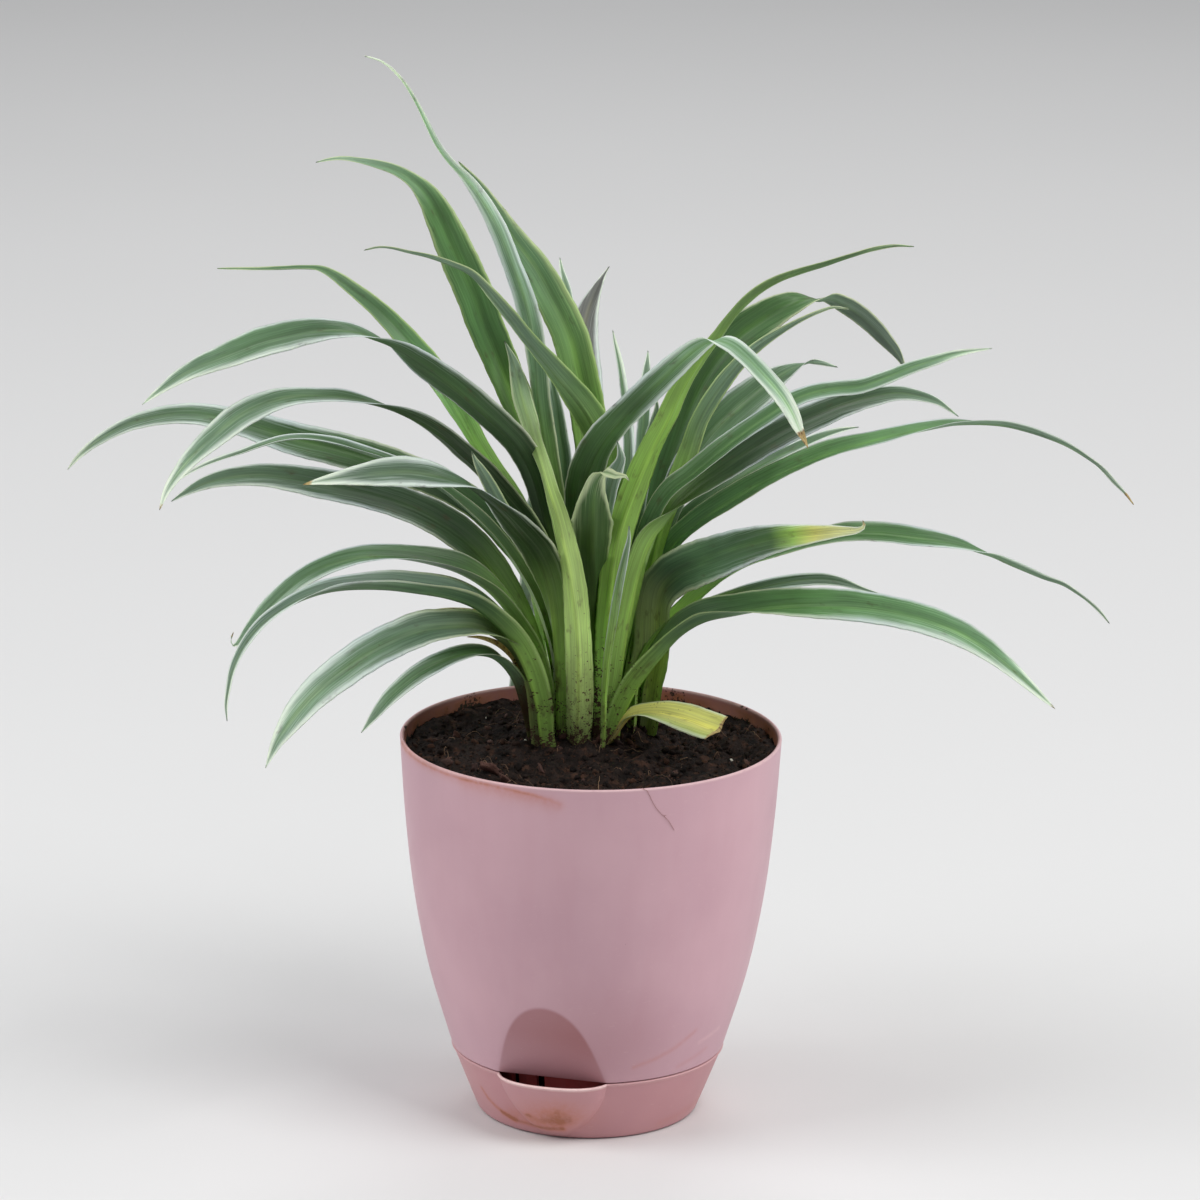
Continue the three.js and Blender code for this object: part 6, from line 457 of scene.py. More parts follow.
        [-58.7, -3.6, 160.2, -0.39, 0.8, 0.46, 2.1], [-64.9, -5.9, 158.2, -0.48, 0.57, 0.67, 1.2],
        [-70.1, -8.0, 156.1, -0.45, 0.28, 0.85, 0.4],
    ]],
    ["DR", "leaf_dried_scrap", [[0, 30], [0.7, 20], [1, 20]], 0, [
        [-18.5, 6.1, 117.0, -0.86, 0.49, -0.11, 1.5], [-19.4, 6.1, 124.3, -0.86, 0.49, -0.11, 1.5],
        [-19.9, 6.0, 131.5, -0.86, 0.49, -0.11, 1.6], [-22.2, 2.8, 140.6, -0.77, 0.64, 0.03, 2.3],
        [-24.7, 0.3, 147.1, -0.83, 0.46, -0.31, 2.5], [-28.7, -1.8, 151.6, -0.55, -0.18, -0.81, 1.9],
        [-32.8, -3.6, 154.0, -0.31, -0.21, -0.93, 1.6], [-35.9, -4.9, 155.0, -0.11, -0.21, -0.97, 0.9],
        [-38.7, -6.0, 155.3, 0.09, -0.21, -0.97, 0.4],
    ]],
    ["D", "leaf_upper_left_2", [[0, 35], [0.7, 20], [1, 20]], 0, [
        [-6.3, 18.3, 117.0, 0.54, 0.84, 0.06, 4.8], [-6.6, 18.7, 124.1, 0.54, 0.84, 0.06, 5.1],
        [-6.8, 19.0, 131.2, 0.54, 0.84, 0.06, 5.3], [-10.8, 21.4, 153.5, 0.55, 0.83, -0.01, 6.5],
        [-15.8, 24.6, 173.8, 0.51, 0.86, 0.02, 7.2], [-23.2, 27.8, 189.2, 0.46, 0.88, 0.09, 7.8],
        [-30.9, 30.5, 200.2, 0.46, 0.88, 0.11, 8.3], [-36.7, 32.8, 208.6, 0.56, 0.82, 0.13, 8.6],
        [-41.9, 35.2, 217.1, 0.72, 0.65, 0.24, 8.4], [-47.3, 38.0, 225.1, 0.8, 0.38, 0.46, 7.8],
        [-53.1, 40.9, 232.1, 0.77, 0.23, 0.6, 7.6], [-59.3, 44.0, 238.5, 0.74, 0.23, 0.63, 7.3],
        [-65.4, 47.3, 244.3, 0.71, 0.24, 0.66, 6.3], [-71.5, 50.7, 249.1, 0.67, 0.47, 0.58, 5.5],
        [-78.0, 54.7, 253.2, 0.66, 0.6, 0.45, 4.9], [-82.9, 57.9, 256.0, 0.62, 0.74, 0.27, 4.5],
        [-87.8, 61.1, 257.7, 0.54, 0.83, 0.15, 4.1], [-94.4, 65.1, 257.2, 0.49, 0.85, 0.22, 3.5],
        [-101.0, 69.4, 255.8, 0.51, 0.83, 0.2, 2.8], [-107.6, 73.9, 254.5, 0.5, 0.81, 0.31, 2.1],
        [-114.3, 78.6, 253.4, 0.47, 0.76, 0.46, 1.3], [-121.7, 84.0, 252.1, 0, 0.26, 0.97, 0.4],
    ]],
    ["V", "leaf_upper_right_1", [[0, 34], [0.7, 14], [1, 14]], 0, [
        [8.4, 19.2, 117.3, 0.55, -0.83, 0.11, 7.5], [9.0, 20.0, 131.1, 0.55, -0.83, 0.11, 7.9],
        [11.3, 23.9, 153.1, 0.57, -0.82, 0.06, 9.6], [14.2, 27.0, 171.9, 0.62, -0.79, -0.02, 10.7],
        [17.8, 29.1, 187.8, 0.71, -0.7, -0.13, 11.5], [22.1, 30.6, 200.5, 0.78, -0.59, -0.21, 12.2],
        [26.6, 32.1, 213.1, 0.83, -0.49, -0.26, 12.8], [31.5, 33.3, 224.9, 0.9, -0.18, -0.41, 12.3],
        [37.7, 34.6, 235.3, 0.8, -0.21, -0.57, 12.6], [44.8, 36.1, 242.8, 0.65, -0.24, -0.72, 12.6],
        [52.3, 37.7, 248.0, 0.54, -0.26, -0.8, 11.4], [59.5, 40.0, 251.8, 0.46, -0.27, -0.85, 8.5],
        [65.2, 42.4, 253.6, 0.44, -0.87, -0.23, 7.8], [68.7, 44.0, 253.7, 0.44, -0.9, 0, 7.4],
        [70.7, 45.0, 253.4, 0.46, -0.82, 0.34, 7.1], [73.2, 46.4, 253.4, 0.41, -0.62, 0.67, 6.8],
        [77.8, 49.2, 250.9, 0.7, -0.28, 0.65, 6.2], [83.1, 53.2, 246.8, 0.59, 0.11, 0.8, 6.0],
        [88.2, 57.7, 241.6, 0.73, 0.08, 0.68, 5.7], [92.6, 62.3, 236.0, 0.76, 0.07, 0.64, 4.8],
        [96.1, 66.3, 231.2, 0.83, 0.04, 0.56, 3.5], [98.2, 69.4, 227.3, 0.9, 0.01, 0.43, 1.6],
        [99.7, 72.0, 223.7, 0.94, -0.01, 0.34, 0.4],
    ]],
    ["S4", "leaf_rear_short_2", [[0, 30], [0.7, 20], [1, 20]], 0, [
        [7.0, 17.4, 117.0, 0.89, -0.45, -0.06, 2.5], [7.3, 17.7, 135.8, 0.89, -0.45, -0.06, 2.7],
        [7.5, 18.0, 154.6, 0.89, -0.45, -0.06, 2.8], [9.2, 21.9, 173.2, 0.86, -0.5, 0.11, 3.7],
        [10.5, 30.0, 190.7, 0.88, -0.44, 0.18, 4.3], [11.0, 38.8, 204.8, 0.94, -0.26, 0.22, 4.0],
        [10.3, 48.8, 214.7, 0.99, -0.02, 0.16, 3.2], [9.2, 56.4, 220.7, 0.98, -0.01, 0.19, 2.6],
        [8.2, 63.5, 225.6, 0.97, 0.01, 0.24, 2.2], [6.9, 70.4, 229.9, 0.95, 0.02, 0.3, 1.8],
        [6.1, 74.4, 232.2, 0.96, 0.02, 0.28, 1.0], [5.5, 78.0, 234.4, 0.99, -0.01, 0.16, 0.4],
    ]],
    ["S2", "leaf_rear_short_1", [[0, 30], [0.7, 18], [1, 18]], 0, [
        [-0.9, 19.3, 117.0, 1, 0.07, 0, 2.8], [-0.9, 19.6, 145.3, 1, 0.07, 0, 3.0],
        [-0.9, 20.0, 173.6, 1, 0.07, 0, 3.2], [-2.2, 24.1, 198.6, 0.87, 0.49, -0.05, 4.3],
        [-4.7, 33.1, 222.2, 0.8, 0.56, -0.22, 4.8], [-7.2, 48.3, 241.3, 1, 0.07, 0.06, 3.5],
        [-9.3, 61.4, 252.0, 0.98, 0.1, 0.2, 2.6], [-11.0, 67.7, 256.5, 0.98, 0.1, 0.19, 1.6],
        [-11.7, 72.0, 259.4, 1, 0.06, 0.02, 0.4],
    ]],
    ["S3", "leaf_rear_grey", [[0, 35], [0.7, 18], [1, 18]], 0, [
        [1.7, 20.2, 117.0, 0.59, -0.8, 0.14, 5.9], [1.8, 20.6, 132.1, 0.59, -0.8, 0.14, 6.2],
        [1.9, 21.0, 147.2, 0.59, -0.8, 0.14, 6.5], [1.6, 27.9, 171.5, 0.62, -0.72, 0.3, 8.6],
        [0.7, 39.2, 194.8, 0.7, -0.6, 0.39, 10.2], [-1.2, 49.7, 211.8, 0.99, -0.02, 0.14, 9.2],
        [-2.9, 60.1, 224.0, 0.98, -0.01, 0.18, 10.2], [-4.0, 68.1, 231.9, 1, -0.03, 0.07, 10.3],
        [-3.2, 76.0, 239.0, 0.98, -0.09, -0.16, 8.4], [-1.3, 82.2, 243.9, 0.94, -0.12, -0.31, 5.2],
        [0.9, 87.5, 247.7, 0.91, -0.14, -0.4, 2.6], [2.4, 90.9, 249.9, 0.89, -0.15, -0.44, 1.3],
        [4.0, 94.0, 251.9, 0.86, -0.16, -0.49, 0.4],
    ]],
    ["S5", "leaf_rear_short_3", [[0, 30], [0.7, 20], [1, 20]], 0, [
        [8.7, 19.2, 117.3, 0.9, -0.44, 0.01, 2.5], [9.2, 19.6, 135.7, 0.9, -0.44, 0.01, 2.7],
        [9.4, 20.0, 154.1, 0.9, -0.44, 0.01, 2.8], [12.3, 30.2, 177.6, 0.83, -0.53, 0.2, 3.9],
        [14.6, 46.0, 196.5, 0.89, -0.35, 0.3, 4.4], [15.5, 59.3, 206.3, 1, -0.05, 0, 4.2],
        [16.1, 72.0, 213.1, 1, -0.04, 0.02, 3.9], [16.4, 81.3, 217.5, 1, -0.04, 0.01, 3.6],
        [16.7, 88.3, 220.5, 1, -0.05, 0, 2.3], [17.0, 96.0, 223.7, 1, -0.04, 0.02, 0.4],
    ]],
    ["BK1", "leaf_back_1", [[0, 40], [0.7, 12], [1, 12]], 0, [
        [-3.0, 17.0, 115.0, 0.97, 0.21, 0.1, 6.8], [-6.0, 23.0, 140.0, 0.98, 0.17, 0.05, 8.3],
        [-9.0, 36.0, 168.0, 0.99, 0.12, 0.04, 9.7], [-12.0, 56.0, 186.0, 0.99, 0.09, 0.09, 10.7],
        [-15.0, 80.0, 184.0, 0.96, 0.21, 0.16, 10.3], [-19.0, 102.0, 166.0, 0.93, 0.34, 0.12, 8.2],
        [-22.0, 118.0, 138.0, 0.91, 0.41, 0.09, 5.6], [-24.0, 126.0, 108.0, 0.89, 0.46, 0.03, 2.7],
        [-25.0, 129.0, 90.0, 0.87, 0.49, 0.03, 0.4],
    ]],
    ["BK2", "leaf_back_2", [[0, 40], [0.7, 12], [1, 12]], 0, [
        [4.0, 18.0, 115.0, 0.99, -0.07, -0.1, 6.2], [7.0, 25.0, 142.0, 0.99, -0.04, -0.1, 7.8],
        [10.0, 38.0, 168.0, 0.99, -0.03, -0.1, 9.0], [12.0, 58.0, 182.0, 0.99, -0.02, -0.11, 10.0],
        [12.0, 82.0, 176.0, 0.99, -0.07, -0.15, 8.7], [11.0, 102.0, 154.0, 0.97, -0.17, -0.14, 6.4],
        [10.0, 115.0, 126.0, 0.96, -0.24, -0.11, 3.7], [9.0, 121.0, 98.0, 0.95, -0.3, -0.07, 0.4],
    ]],
    ["BK3", "leaf_back_3", [[0, 42], [0.7, 14], [1, 14]], 0, [
        [0.0, 21.0, 115.0, 1, -0.01, 0.04, 5.6], [0.0, 28.0, 132.0, 1, -0.03, -0.02, 6.7],
        [1.0, 42.0, 148.0, 1, -0.05, -0.02, 7.7], [2.0, 64.0, 156.0, 1, -0.02, 0, 8.7],
        [2.0, 88.0, 150.0, 1, -0.02, 0, 8.2], [3.0, 108.0, 130.0, 1, -0.03, 0.02, 6.0],
        [3.0, 121.0, 100.0, 1, -0.01, -0.03, 3.1], [2.0, 126.0, 78.0, 1, -0.01, -0.06, 0.4],
    ]],
    ["BK4", "leaf_back_4", [[0, 42], [0.7, 14], [1, 14]], 0, [
        [-9.0, 18.0, 115.0, 0.96, 0.25, 0.09, 5.8], [-12.0, 27.0, 134.0, 0.98, 0.18, 0.03, 7.2],
        [-15.0, 44.0, 152.0, 0.99, 0.12, 0.05, 8.3], [-18.0, 66.0, 158.0, 0.98, 0.13, 0.16, 9.3],
        [-20.0, 86.0, 148.0, 0.94, 0.29, 0.19, 8.3], [-23.0, 101.0, 126.0, 0.89, 0.45, 0.08, 6.0],
        [-27.0, 110.0, 98.0, 0.85, 0.52, -0.01, 3.2], [-30.0, 113.0, 76.0, 0.83, 0.56, -0.07, 0.4],
    ]],
    ["BK5", "leaf_back_5", [[0, 42], [0.7, 14], [1, 14]], 0, [
        [9.0, 18.0, 115.0, 0.98, -0.1, -0.17, 5.3], [12.0, 26.0, 132.0, 0.99, -0.05, -0.11, 6.5],
        [14.0, 40.0, 148.0, 1, -0.01, -0.1, 7.5], [15.0, 60.0, 156.0, 0.99, -0.02, -0.14, 8.4],
        [15.0, 82.0, 148.0, 0.98, -0.11, -0.19, 7.5], [14.0, 99.0, 128.0, 0.96, -0.23, -0.17, 5.4],
        [13.0, 109.0, 100.0, 0.94, -0.33, -0.12, 2.5], [12.0, 112.0, 84.0, 0.92, -0.37, -0.14, 0.4],
    ]],
]

# ---------------------------------------------------------------- helpers


def srgb(r, g, b):
    """Linear colour of an 8-bit sRGB triple."""
    out = []
    for v in (r, g, b):
        v = v / 255.0
        out.append(v / 12.92 if v <= 0.04045 else ((v + 0.055) / 1.055) ** 2.4)
    return tuple(out)


def smooth(x, a, b):
    t = np.clip((np.asarray(x, float) - a) / (b - a), 0, 1)
    return t * t * (3 - 2 * t)


def _hash(i, j, k, seed):
    n = (i * 374761393 + j * 668265263 + k * 1442695041 + seed * 144665033) & 0xFFFFFFFF
    n = ((n ^ (n >> 13)) * 1274126177) & 0xFFFFFFFF
    n = ((n ^ (n >> 16)) * 2246822519) & 0xFFFFFFFF
    return ((n ^ (n >> 15)) & 0xFFFFFF) / 16777215.0


def vnoise(p, seed=0):
    """Value noise in 0..1 at points p (n, 3)."""
    p = np.asarray(p, float)
    c = np.floor(p).astype(np.int64)
    f = p - c
    u = f * f * f * (f * (f * 6 - 15) + 10)
    out = np.zeros(len(p))
    for di in (0, 1):
        for dj in (0, 1):
            for dk in (0, 1):
                w = np.abs(1 - di - u[:, 0]) * np.abs(1 - dj - u[:, 1]) * np.abs(1 - dk - u[:, 2])
                out += w * _hash(c[:, 0] + di, c[:, 1] + dj, c[:, 2] + dk, seed)
    return out


def fbm(p, seed=0, octaves=4, gain=0.5):
    p = np.asarray(p, float)
    out, a, total = np.zeros(len(p)), 1.0, 0.0
    for o in range(octaves):
        out += a * vnoise(p * 2.03**o + 7.3 * o, seed + o)
        total += a
        a *= gain
    return out / total


def xyz(x, y, z=0.0):
    x = np.asarray(x, float)
    return np.stack([x, np.broadcast_to(y, x.shape), np.broadcast_to(z, x.shape)], -1).reshape(-1, 3)


def mesh_piece(name, verts, faces, mat, nodes=(), attrs=None, flat=False):
    """A mesh object from millimetre vertices, riding on the part, with point attributes."""
    me = bpy.data.meshes.new(name)
    me.from_pydata((np.asarray(verts, float) * MM).tolist(), [], faces)
    me.update()
    me.validate(clean_customdata=False)
    for key, value in (attrs or {}).items():
        value = np.asarray(value, np.float32)
        if value.ndim == 1:
            me.attributes.new(key, "FLOAT", "POINT").data.foreach_set("value", value)
        elif value.shape[1] == 3:
            me.attributes.new(key, "FLOAT_VECTOR", "POINT").data.foreach_set("vector", value.ravel())
        else:
            me.attributes.new(key, "FLOAT_COLOR", "POINT").data.foreach_set("color", value.ravel())
    me.polygons.foreach_set("use_smooth", [not flat] * len(me.polygons))
    ob = bpy.data.objects.new(name, me)
    bpy.context.scene.collection.objects.link(ob)
    me.materials.append(mat)
    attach(ob, "root")
    if nodes:
        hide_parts(*nodes)
    return ob


def ring_faces(n, m, close_n=False, close_m=True):
    """Quads of n rings of m points."""
    faces = []
    for i in range(n if close_n else n - 1):
        a, b = i * m, ((i + 1) % n) * m
        for k in range(m if close_m else m - 1):
            q = (k + 1) % m
            faces.append((a + k, a + q, b + q, b + k))
    return faces


class Nodes:
    """Small builder of a material's node tree."""

    def __init__(self, name):
        self.mat = bpy.data.materials.new(name)
        self.mat.use_nodes = True
        self.t = self.mat.node_tree
        self.t.nodes.clear()
        self.out = self.t.nodes.new("ShaderNodeOutputMaterial")

    def new(self, kind, inputs=None, **props):
        n = self.t.nodes.new(kind)
        for k, v in props.items():
            setattr(n, k, v)
        for k, v in (inputs or {}).items():
            self.put(n.inputs[k], v)
        return n

    def put(self, socket, v):
        if isinstance(v, bpy.types.NodeSocket):
            self.t.links.new(v, socket)
        elif isinstance(v, (tuple, list)) and len(v) == 3 and socket.type == "RGBA":
            socket.default_value = (*v, 1.0)
        else:
            socket.default_value = v

    def math(self, op, a, b=None, c=None, clamp=False):
        n = self.t.nodes.new("ShaderNodeMath")
        n.operation = op
        n.use_clamp = clamp
        for i, v in enumerate((a, b, c)):
            if v is not None:
                self.put(n.inputs[i], v)
        return n.outputs[0]

    def attr(self, name, out="Fac"):
        return self.new("ShaderNodeAttribute", attribute_name=name).outputs[out]

    def split(self, v):
        n = self.new("ShaderNodeSeparateXYZ", {0: v})
        return n.outputs[0], n.outputs[1], n.outputs[2]

    def join(self, x, y, z):
        return self.new("ShaderNodeCombineXYZ", {0: x, 1: y, 2: z}).outputs[0]

    def noise(self, vec, scale, detail=3.0, rough=0.55, out="Fac", distortion=0.0):
        n = self.new("ShaderNodeTexNoise", {"Vector": vec, "Scale": scale, "Detail": detail, "Roughness": rough, "Distortion": distortion})
        return n.outputs[out]

    def ramp(self, v, a, b, lo=0.0, hi=1.0, kind="SMOOTHSTEP"):
        n = self.new("ShaderNodeMapRange", interpolation_type=kind)
        self.put(n.inputs["Value"], v)
        for k, x in (("From Min", a), ("From Max", b), ("To Min", lo), ("To Max", hi)):
            self.put(n.inputs[k], x)
        return n.outputs[0]

    def mix(self, fac, a, b, mode="MIX"):
        n = self.new("ShaderNodeMix", data_type="RGBA", blend_type=mode, clamp_factor=True)
        self.put(n.inputs[0], fac)
        self.put(n.inputs[6], a)
        self.put(n.inputs[7], b)
        return n.outputs[2]

    def bump(self, height, strength, distance, normal=None):
        n = self.new("ShaderNodeBump", {"Height": height, "Strength": strength, "Distance": distance})
        if normal is not None:
            self.put(n.inputs["Normal"], normal)
        return n.outputs[0]


# ---------------------------------------------------------------- materials


def leaf_material():
    n = Nodes("leaf_blade")
    across, along, half = n.split(n.attr("leaf_uv", "Vector"))
    edge_w, dirt, dry = n.split(n.attr("leaf_wear", "Vector"))
    body, rim = n.attr("leaf_col", "Color"), n.attr("leaf_rim", "Color")
    seed = n.attr("leaf_seed")
    x = n.math("MULTIPLY", across, half)
    off = n.math("MULTIPLY", seed, 37.0)
    xs = n.math("ADD", x, off)
    # streaks run the length of the blade
    streak = n.noise(n.join(n.math("MULTIPLY", xs, 1.0), n.math("MULTIPLY", along, 0.012), seed), 1.25, 3.0, 0.6)
    fine = n.noise(n.join(n.math("MULTIPLY", xs, 1.0), n.math("MULTIPLY", along, 0.012), off), 3.1, 2.0, 0.55)
    slow = n.noise(n.join(n.math("MULTIPLY", xs, 0.3), n.math("MULTIPLY", along, 0.05), off), 1.0, 2.0, 0.5)
    dist = n.math("SUBTRACT", 1.0, n.math("ABSOLUTE", across))
    wob = n.math("ADD", n.math("MULTIPLY", n.math("SUBTRACT", streak, 0.5), 0.9), n.math("MULTIPLY", n.math("SUBTRACT", fine, 0.5), 0.8))
    soft = n.math("ADD", n.math("MULTIPLY", edge_w, 0.55), 0.035)
    d = n.math("ADD", dist, n.math("MULTIPLY", wob, n.math("ADD", edge_w, 0.02)))
    margin = n.ramp(n.math("DIVIDE", n.math("SUBTRACT", d, edge_w), soft), -1.0, 1.0, 0.96, 0.0)
    # paler lines just inside the margin, and a few faint ones over the blade
    near = n.ramp(n.math("DIVIDE", n.math("SUBTRACT", d, edge_w), n.math("ADD", edge_w, 0.08)), 0.0, 1.9, 1.0, 0.0)
    vivid = n.ramp(edge_w, 0.05, 0.24, 0.35, 1.0, "LINEAR")
    pale = n.math("MULTIPLY", n.ramp(fine, 0.46, 0.62), n.math("MULTIPLY", near, n.math("MULTIPLY", vivid, 0.78)))
    lines = n.math("MULTIPLY", n.ramp(streak, 0.52, 0.68), n.math("MULTIPLY", vivid, 0.26))
    core = n.math("MULTIPLY", n.ramp(n.math("ABSOLUTE", across), 0.0, 0.34, 1.0, 0.0), n.ramp(slow, 0.35, 0.65, 0.10, 0.42))
    light = n.mix(0.40, body, rim)
    c = n.mix(n.math("ADD", pale, lines, clamp=True), body, light)
    bright = n.mix(1.0, c, (1.42, 1.34, 0.92), "MULTIPLY")
    c = n.mix(core, c, bright)
    shade = n.ramp(n.math("ADD", n.math("MULTIPLY", fine, 0.6), n.math("MULTIPLY", slow, 0.4)), 0.34, 0.66, 0.74, 1.26, "LINEAR")
    c = n.mix(1.0, c, n.join(shade, shade, shade), "MULTIPLY")
    rim_c = n.mix(1.0, rim, n.join(n.ramp(fine, 0.34, 0.60, 0.88, 1.12, "LINEAR"), n.ramp(fine, 0.34, 0.60, 0.90, 1.10, "LINEAR"), n.ramp(fine, 0.34, 0.60, 0.88, 1.12, "LINEAR")), "MULTIPLY")
    c = n.mix(margin, c, rim_c)
    # drying: straw to brown
    dn = n.noise(n.join(n.math("MULTIPLY", xs, 0.6), n.math("MULTIPLY", along, 0.35), off), 1.4, 4.0, 0.6)
    dm = n.ramp(n.math("ADD", dry, n.math("MULTIPLY", n.math("SUBTRACT", dn, 0.5), 0.8)), 0.30, 0.62)
    c = n.mix(dm, c, n.mix(n.ramp(dn, 0.48, 0.70), srgb(206, 184, 128), srgb(132, 98, 60)))
    # soil and brown specks near the foot
    p = n.join(xs, along, seed)
    s1 = n.noise(p, 0.50, 4.0, 0.65)
    s2 = n.noise(p, 1.9, 2.0, 0.5)
    s3 = n.noise(n.join(xs, n.math("MULTIPLY", along, 0.35), seed), 0.33, 3.0, 0.6)
    smudge = n.ramp(n.math("ADD", s3, n.math("MULTIPLY", dirt, 0.30)), 0.60, 0.80, 0.0, 0.62)
    c = n.mix(smudge, c, srgb(86, 72, 46))
    sp = n.ramp(n.math("ADD", n.math("MULTIPLY", s1, 0.6), n.math("ADD", n.math("MULTIPLY", s2, 0.4), n.math("MULTIPLY", dirt, 0.36))), 0.665, 0.72)
    c = n.mix(sp, c, n.mix(s2, srgb(58, 42, 32), srgb(96, 70, 50)))
    rough = n.ramp(fine, 0.2, 0.8, 0.36, 0.50, "LINEAR")
    rough = n.math("ADD", rough, n.math("MULTIPLY", sp, 0.35), clamp=True)
    h = n.math("ADD", n.math("MULTIPLY", fine, 1.0), n.math("ADD", n.math("MULTIPLY", streak, 0.8), n.math("MULTIPLY", sp, 1.6)))
    normal = n.bump(h, 0.30, 0.00022)
    bsdf = n.new("ShaderNodeBsdfPrincipled", {"Base Color": c, "Roughness": rough, "Normal": normal})
    bsdf.inputs["Specular IOR Level"].default_value = 0.42
    through = n.mix(1.0, c, (1.25, 1.32, 0.70), "MULTIPLY")
    trans = n.new("ShaderNodeBsdfTranslucent", {"Color": through, "Normal": normal})
    mixed = n.new("ShaderNodeMixShader", {0: 0.28, 1: bsdf.outputs[0], 2: trans.outputs[0]})
    n.t.links.new(mixed.outputs[0], n.out.inputs[0])
    return n.mat


def pot_material(name, base, low, rough=0.46):
    """Moulded plastic with rust-coloured water stains, scuffs and soil smears, with painted shade and a painted
    highlight along the lips.
    """
    n = Nodes(name)
    pos = n.new("ShaderNodeTexCoord").outputs["Object"]
    stain, soil, wear_and_highlight = n.split(n.attr("pot_wear_and_highlight", "Vector"))
    painted_shade = n.attr("pot_painted_shade")
    cloud = n.noise(pos, 26.0, 3.0, 0.5)
    grain = n.noise(pos, 1500.0, 2.0, 0.5)
    px, py, pz = n.split(pos)
    flow = n.noise(n.join(px, py, n.math("MULTIPLY", pz, 0.18)), 150.0, 3.0, 0.55)
    c = n.mix(n.ramp(cloud, 0.3, 0.7), base, low)
    c = n.mix(n.ramp(flow, 0.35, 0.75, 0.0, 0.10), c, srgb(190, 140, 150))
    # painted shade: a darker mauve where the shell lies in shade (the flat over the spout, low on the front, the inside
    # walls)
    c = n.mix(n.math("MULTIPLY", painted_shade, 1.0, clamp=True), c, srgb(160, 102, 105))
    # faint dust and scuffs; a similar pale pink also paints the highlight along the lips
    scuff = n.noise(n.join(n.math("MULTIPLY", px, 1.0), n.math("MULTIPLY", py, 1.0), n.math("MULTIPLY", pz, 3.0)), 320.0, 4.0, 0.7)
    c = n.mix(n.ramp(scuff, 0.62, 0.72, 0.0, 0.10), c, srgb(236, 205, 205))
    c = n.mix(n.math("MULTIPLY", wear_and_highlight, n.ramp(scuff, 0.3, 0.55, 0.55, 1.0)), c, srgb(240, 208, 206))
    brk = n.noise(pos, 420.0, 4.0, 0.65)
    st = n.math("MULTIPLY", stain, n.ramp(brk, 0.25, 0.65, 0.62, 1.0))
    st = n.math("MINIMUM", st, 0.92)
    c = n.mix(st, c, n.mix(n.ramp(stain, 0.62, 1.1), srgb(192, 120, 96), srgb(160, 94, 58)))
    sl = n.ramp(n.math("ADD", soil, n.math("MULTIPLY", n.math("SUBTRACT", n.noise(pos, 700.0, 5.0, 0.7), 0.5), 1.1)), 0.48, 0.60)
    c = n.mix(sl, c, n.mix(grain, srgb(36, 26, 22), srgb(64, 46, 36)))
    r = n.math("ADD", n.ramp(cloud, 0.3, 0.7, rough - 0.03, rough + 0.05), n.math("MULTIPLY", sl, 0.4), clamp=True)
    h = n.math("ADD", n.math("MULTIPLY", grain, 0.35), n.math("ADD", n.math("MULTIPLY", flow, 0.5), n.math("MULTIPLY", sl, 3.0)))
    normal = n.bump(h, 0.12, 0.00035)
    bsdf = n.new("ShaderNodeBsdfPrincipled", {"Base Color": c, "Roughness": r, "Normal": normal})
    bsdf.inputs["Specular IOR Level"].default_value = 0.45
    n.t.links.new(bsdf.outputs[0], n.out.inputs[0])
    return n.mat


def soil_material(name="soil_mix"):
    n = Nodes(name)
    pos = n.new("ShaderNodeTexCoord").outputs["Object"]
    tint = n.attr("soil_tint")
    a = n.noise(pos, 260.0, 5.0, 0.7)
    b = n.noise(pos, 900.0, 4.0, 0.65)
    c = n.noise(pos, 2600.0, 2.0, 0.6)
    col = n.mix(n.ramp(a, 0.35, 0.65), srgb(18, 15, 14), srgb(45, 36, 33))
    col = n.mix(n.ramp(b, 0.52, 0.74, 0.0, 0.55), col, srgb(62, 44, 36))
    col = n.mix(n.ramp(c, 0.68, 0.76, 0.0, 0.30), col, srgb(120, 94, 72))
    col = n.mix(n.ramp(tint, 0.0, 1.0, 0.0, 0.85, "LINEAR"), col, n.mix(b, srgb(76, 46, 38), srgb(132, 94, 72)))
    h = n.math("ADD", n.math("MULTIPLY", a, 1.2), n.math("ADD", n.math("MULTIPLY", b, 0.8), n.math("MULTIPLY", c, 0.3)))
    normal = n.bump(h, 0.9, 0.0009)
    bsdf = n.new("ShaderNodeBsdfPrincipled", {"Base Color": col, "Roughness": n.ramp(b, 0.3, 0.7, 0.72, 0.98), "Normal": normal})
    bsdf.inputs["Specular IOR Level"].default_value = 0.12
    n.t.links.new(bsdf.outputs[0], n.out.inputs[0])
    return n.mat


def tinted_material(name, lo, hi, spots, scale, rough, bump=0.5):
    """Rough natural material: two colours mixed by noise, with darker spots."""
    n = Nodes(name)
    pos = n.new("ShaderNodeTexCoord").outputs["Object"]
    tint = n.attr("soil_tint")
    a = n.noise(pos, scale, 4.0, 0.65)
    b = n.noise(pos, scale * 4.0, 3.0, 0.6)
    col = n.mix(n.ramp(n.math("ADD", n.math("MULTIPLY", a, 0.5), n.math("MULTIPLY", tint, 0.5)), 0.2, 0.8), lo, hi)
    col = n.mix(n.ramp(b, 0.54, 0.68, 0.0, 0.8), col, spots)
    normal = n.bump(n.math("ADD", a, n.math("MULTIPLY", b, 0.6)), bump, 0.0006)
    bsdf = n.new("ShaderNodeBsdfPrincipled", {"Base Color": col, "Roughness": n.ramp(b, 0.3, 0.7, rough - 0.1, rough + 0.08), "Normal": normal})
    n.t.links.new(bsdf.outputs[0], n.out.inputs[0])
    return n.mat


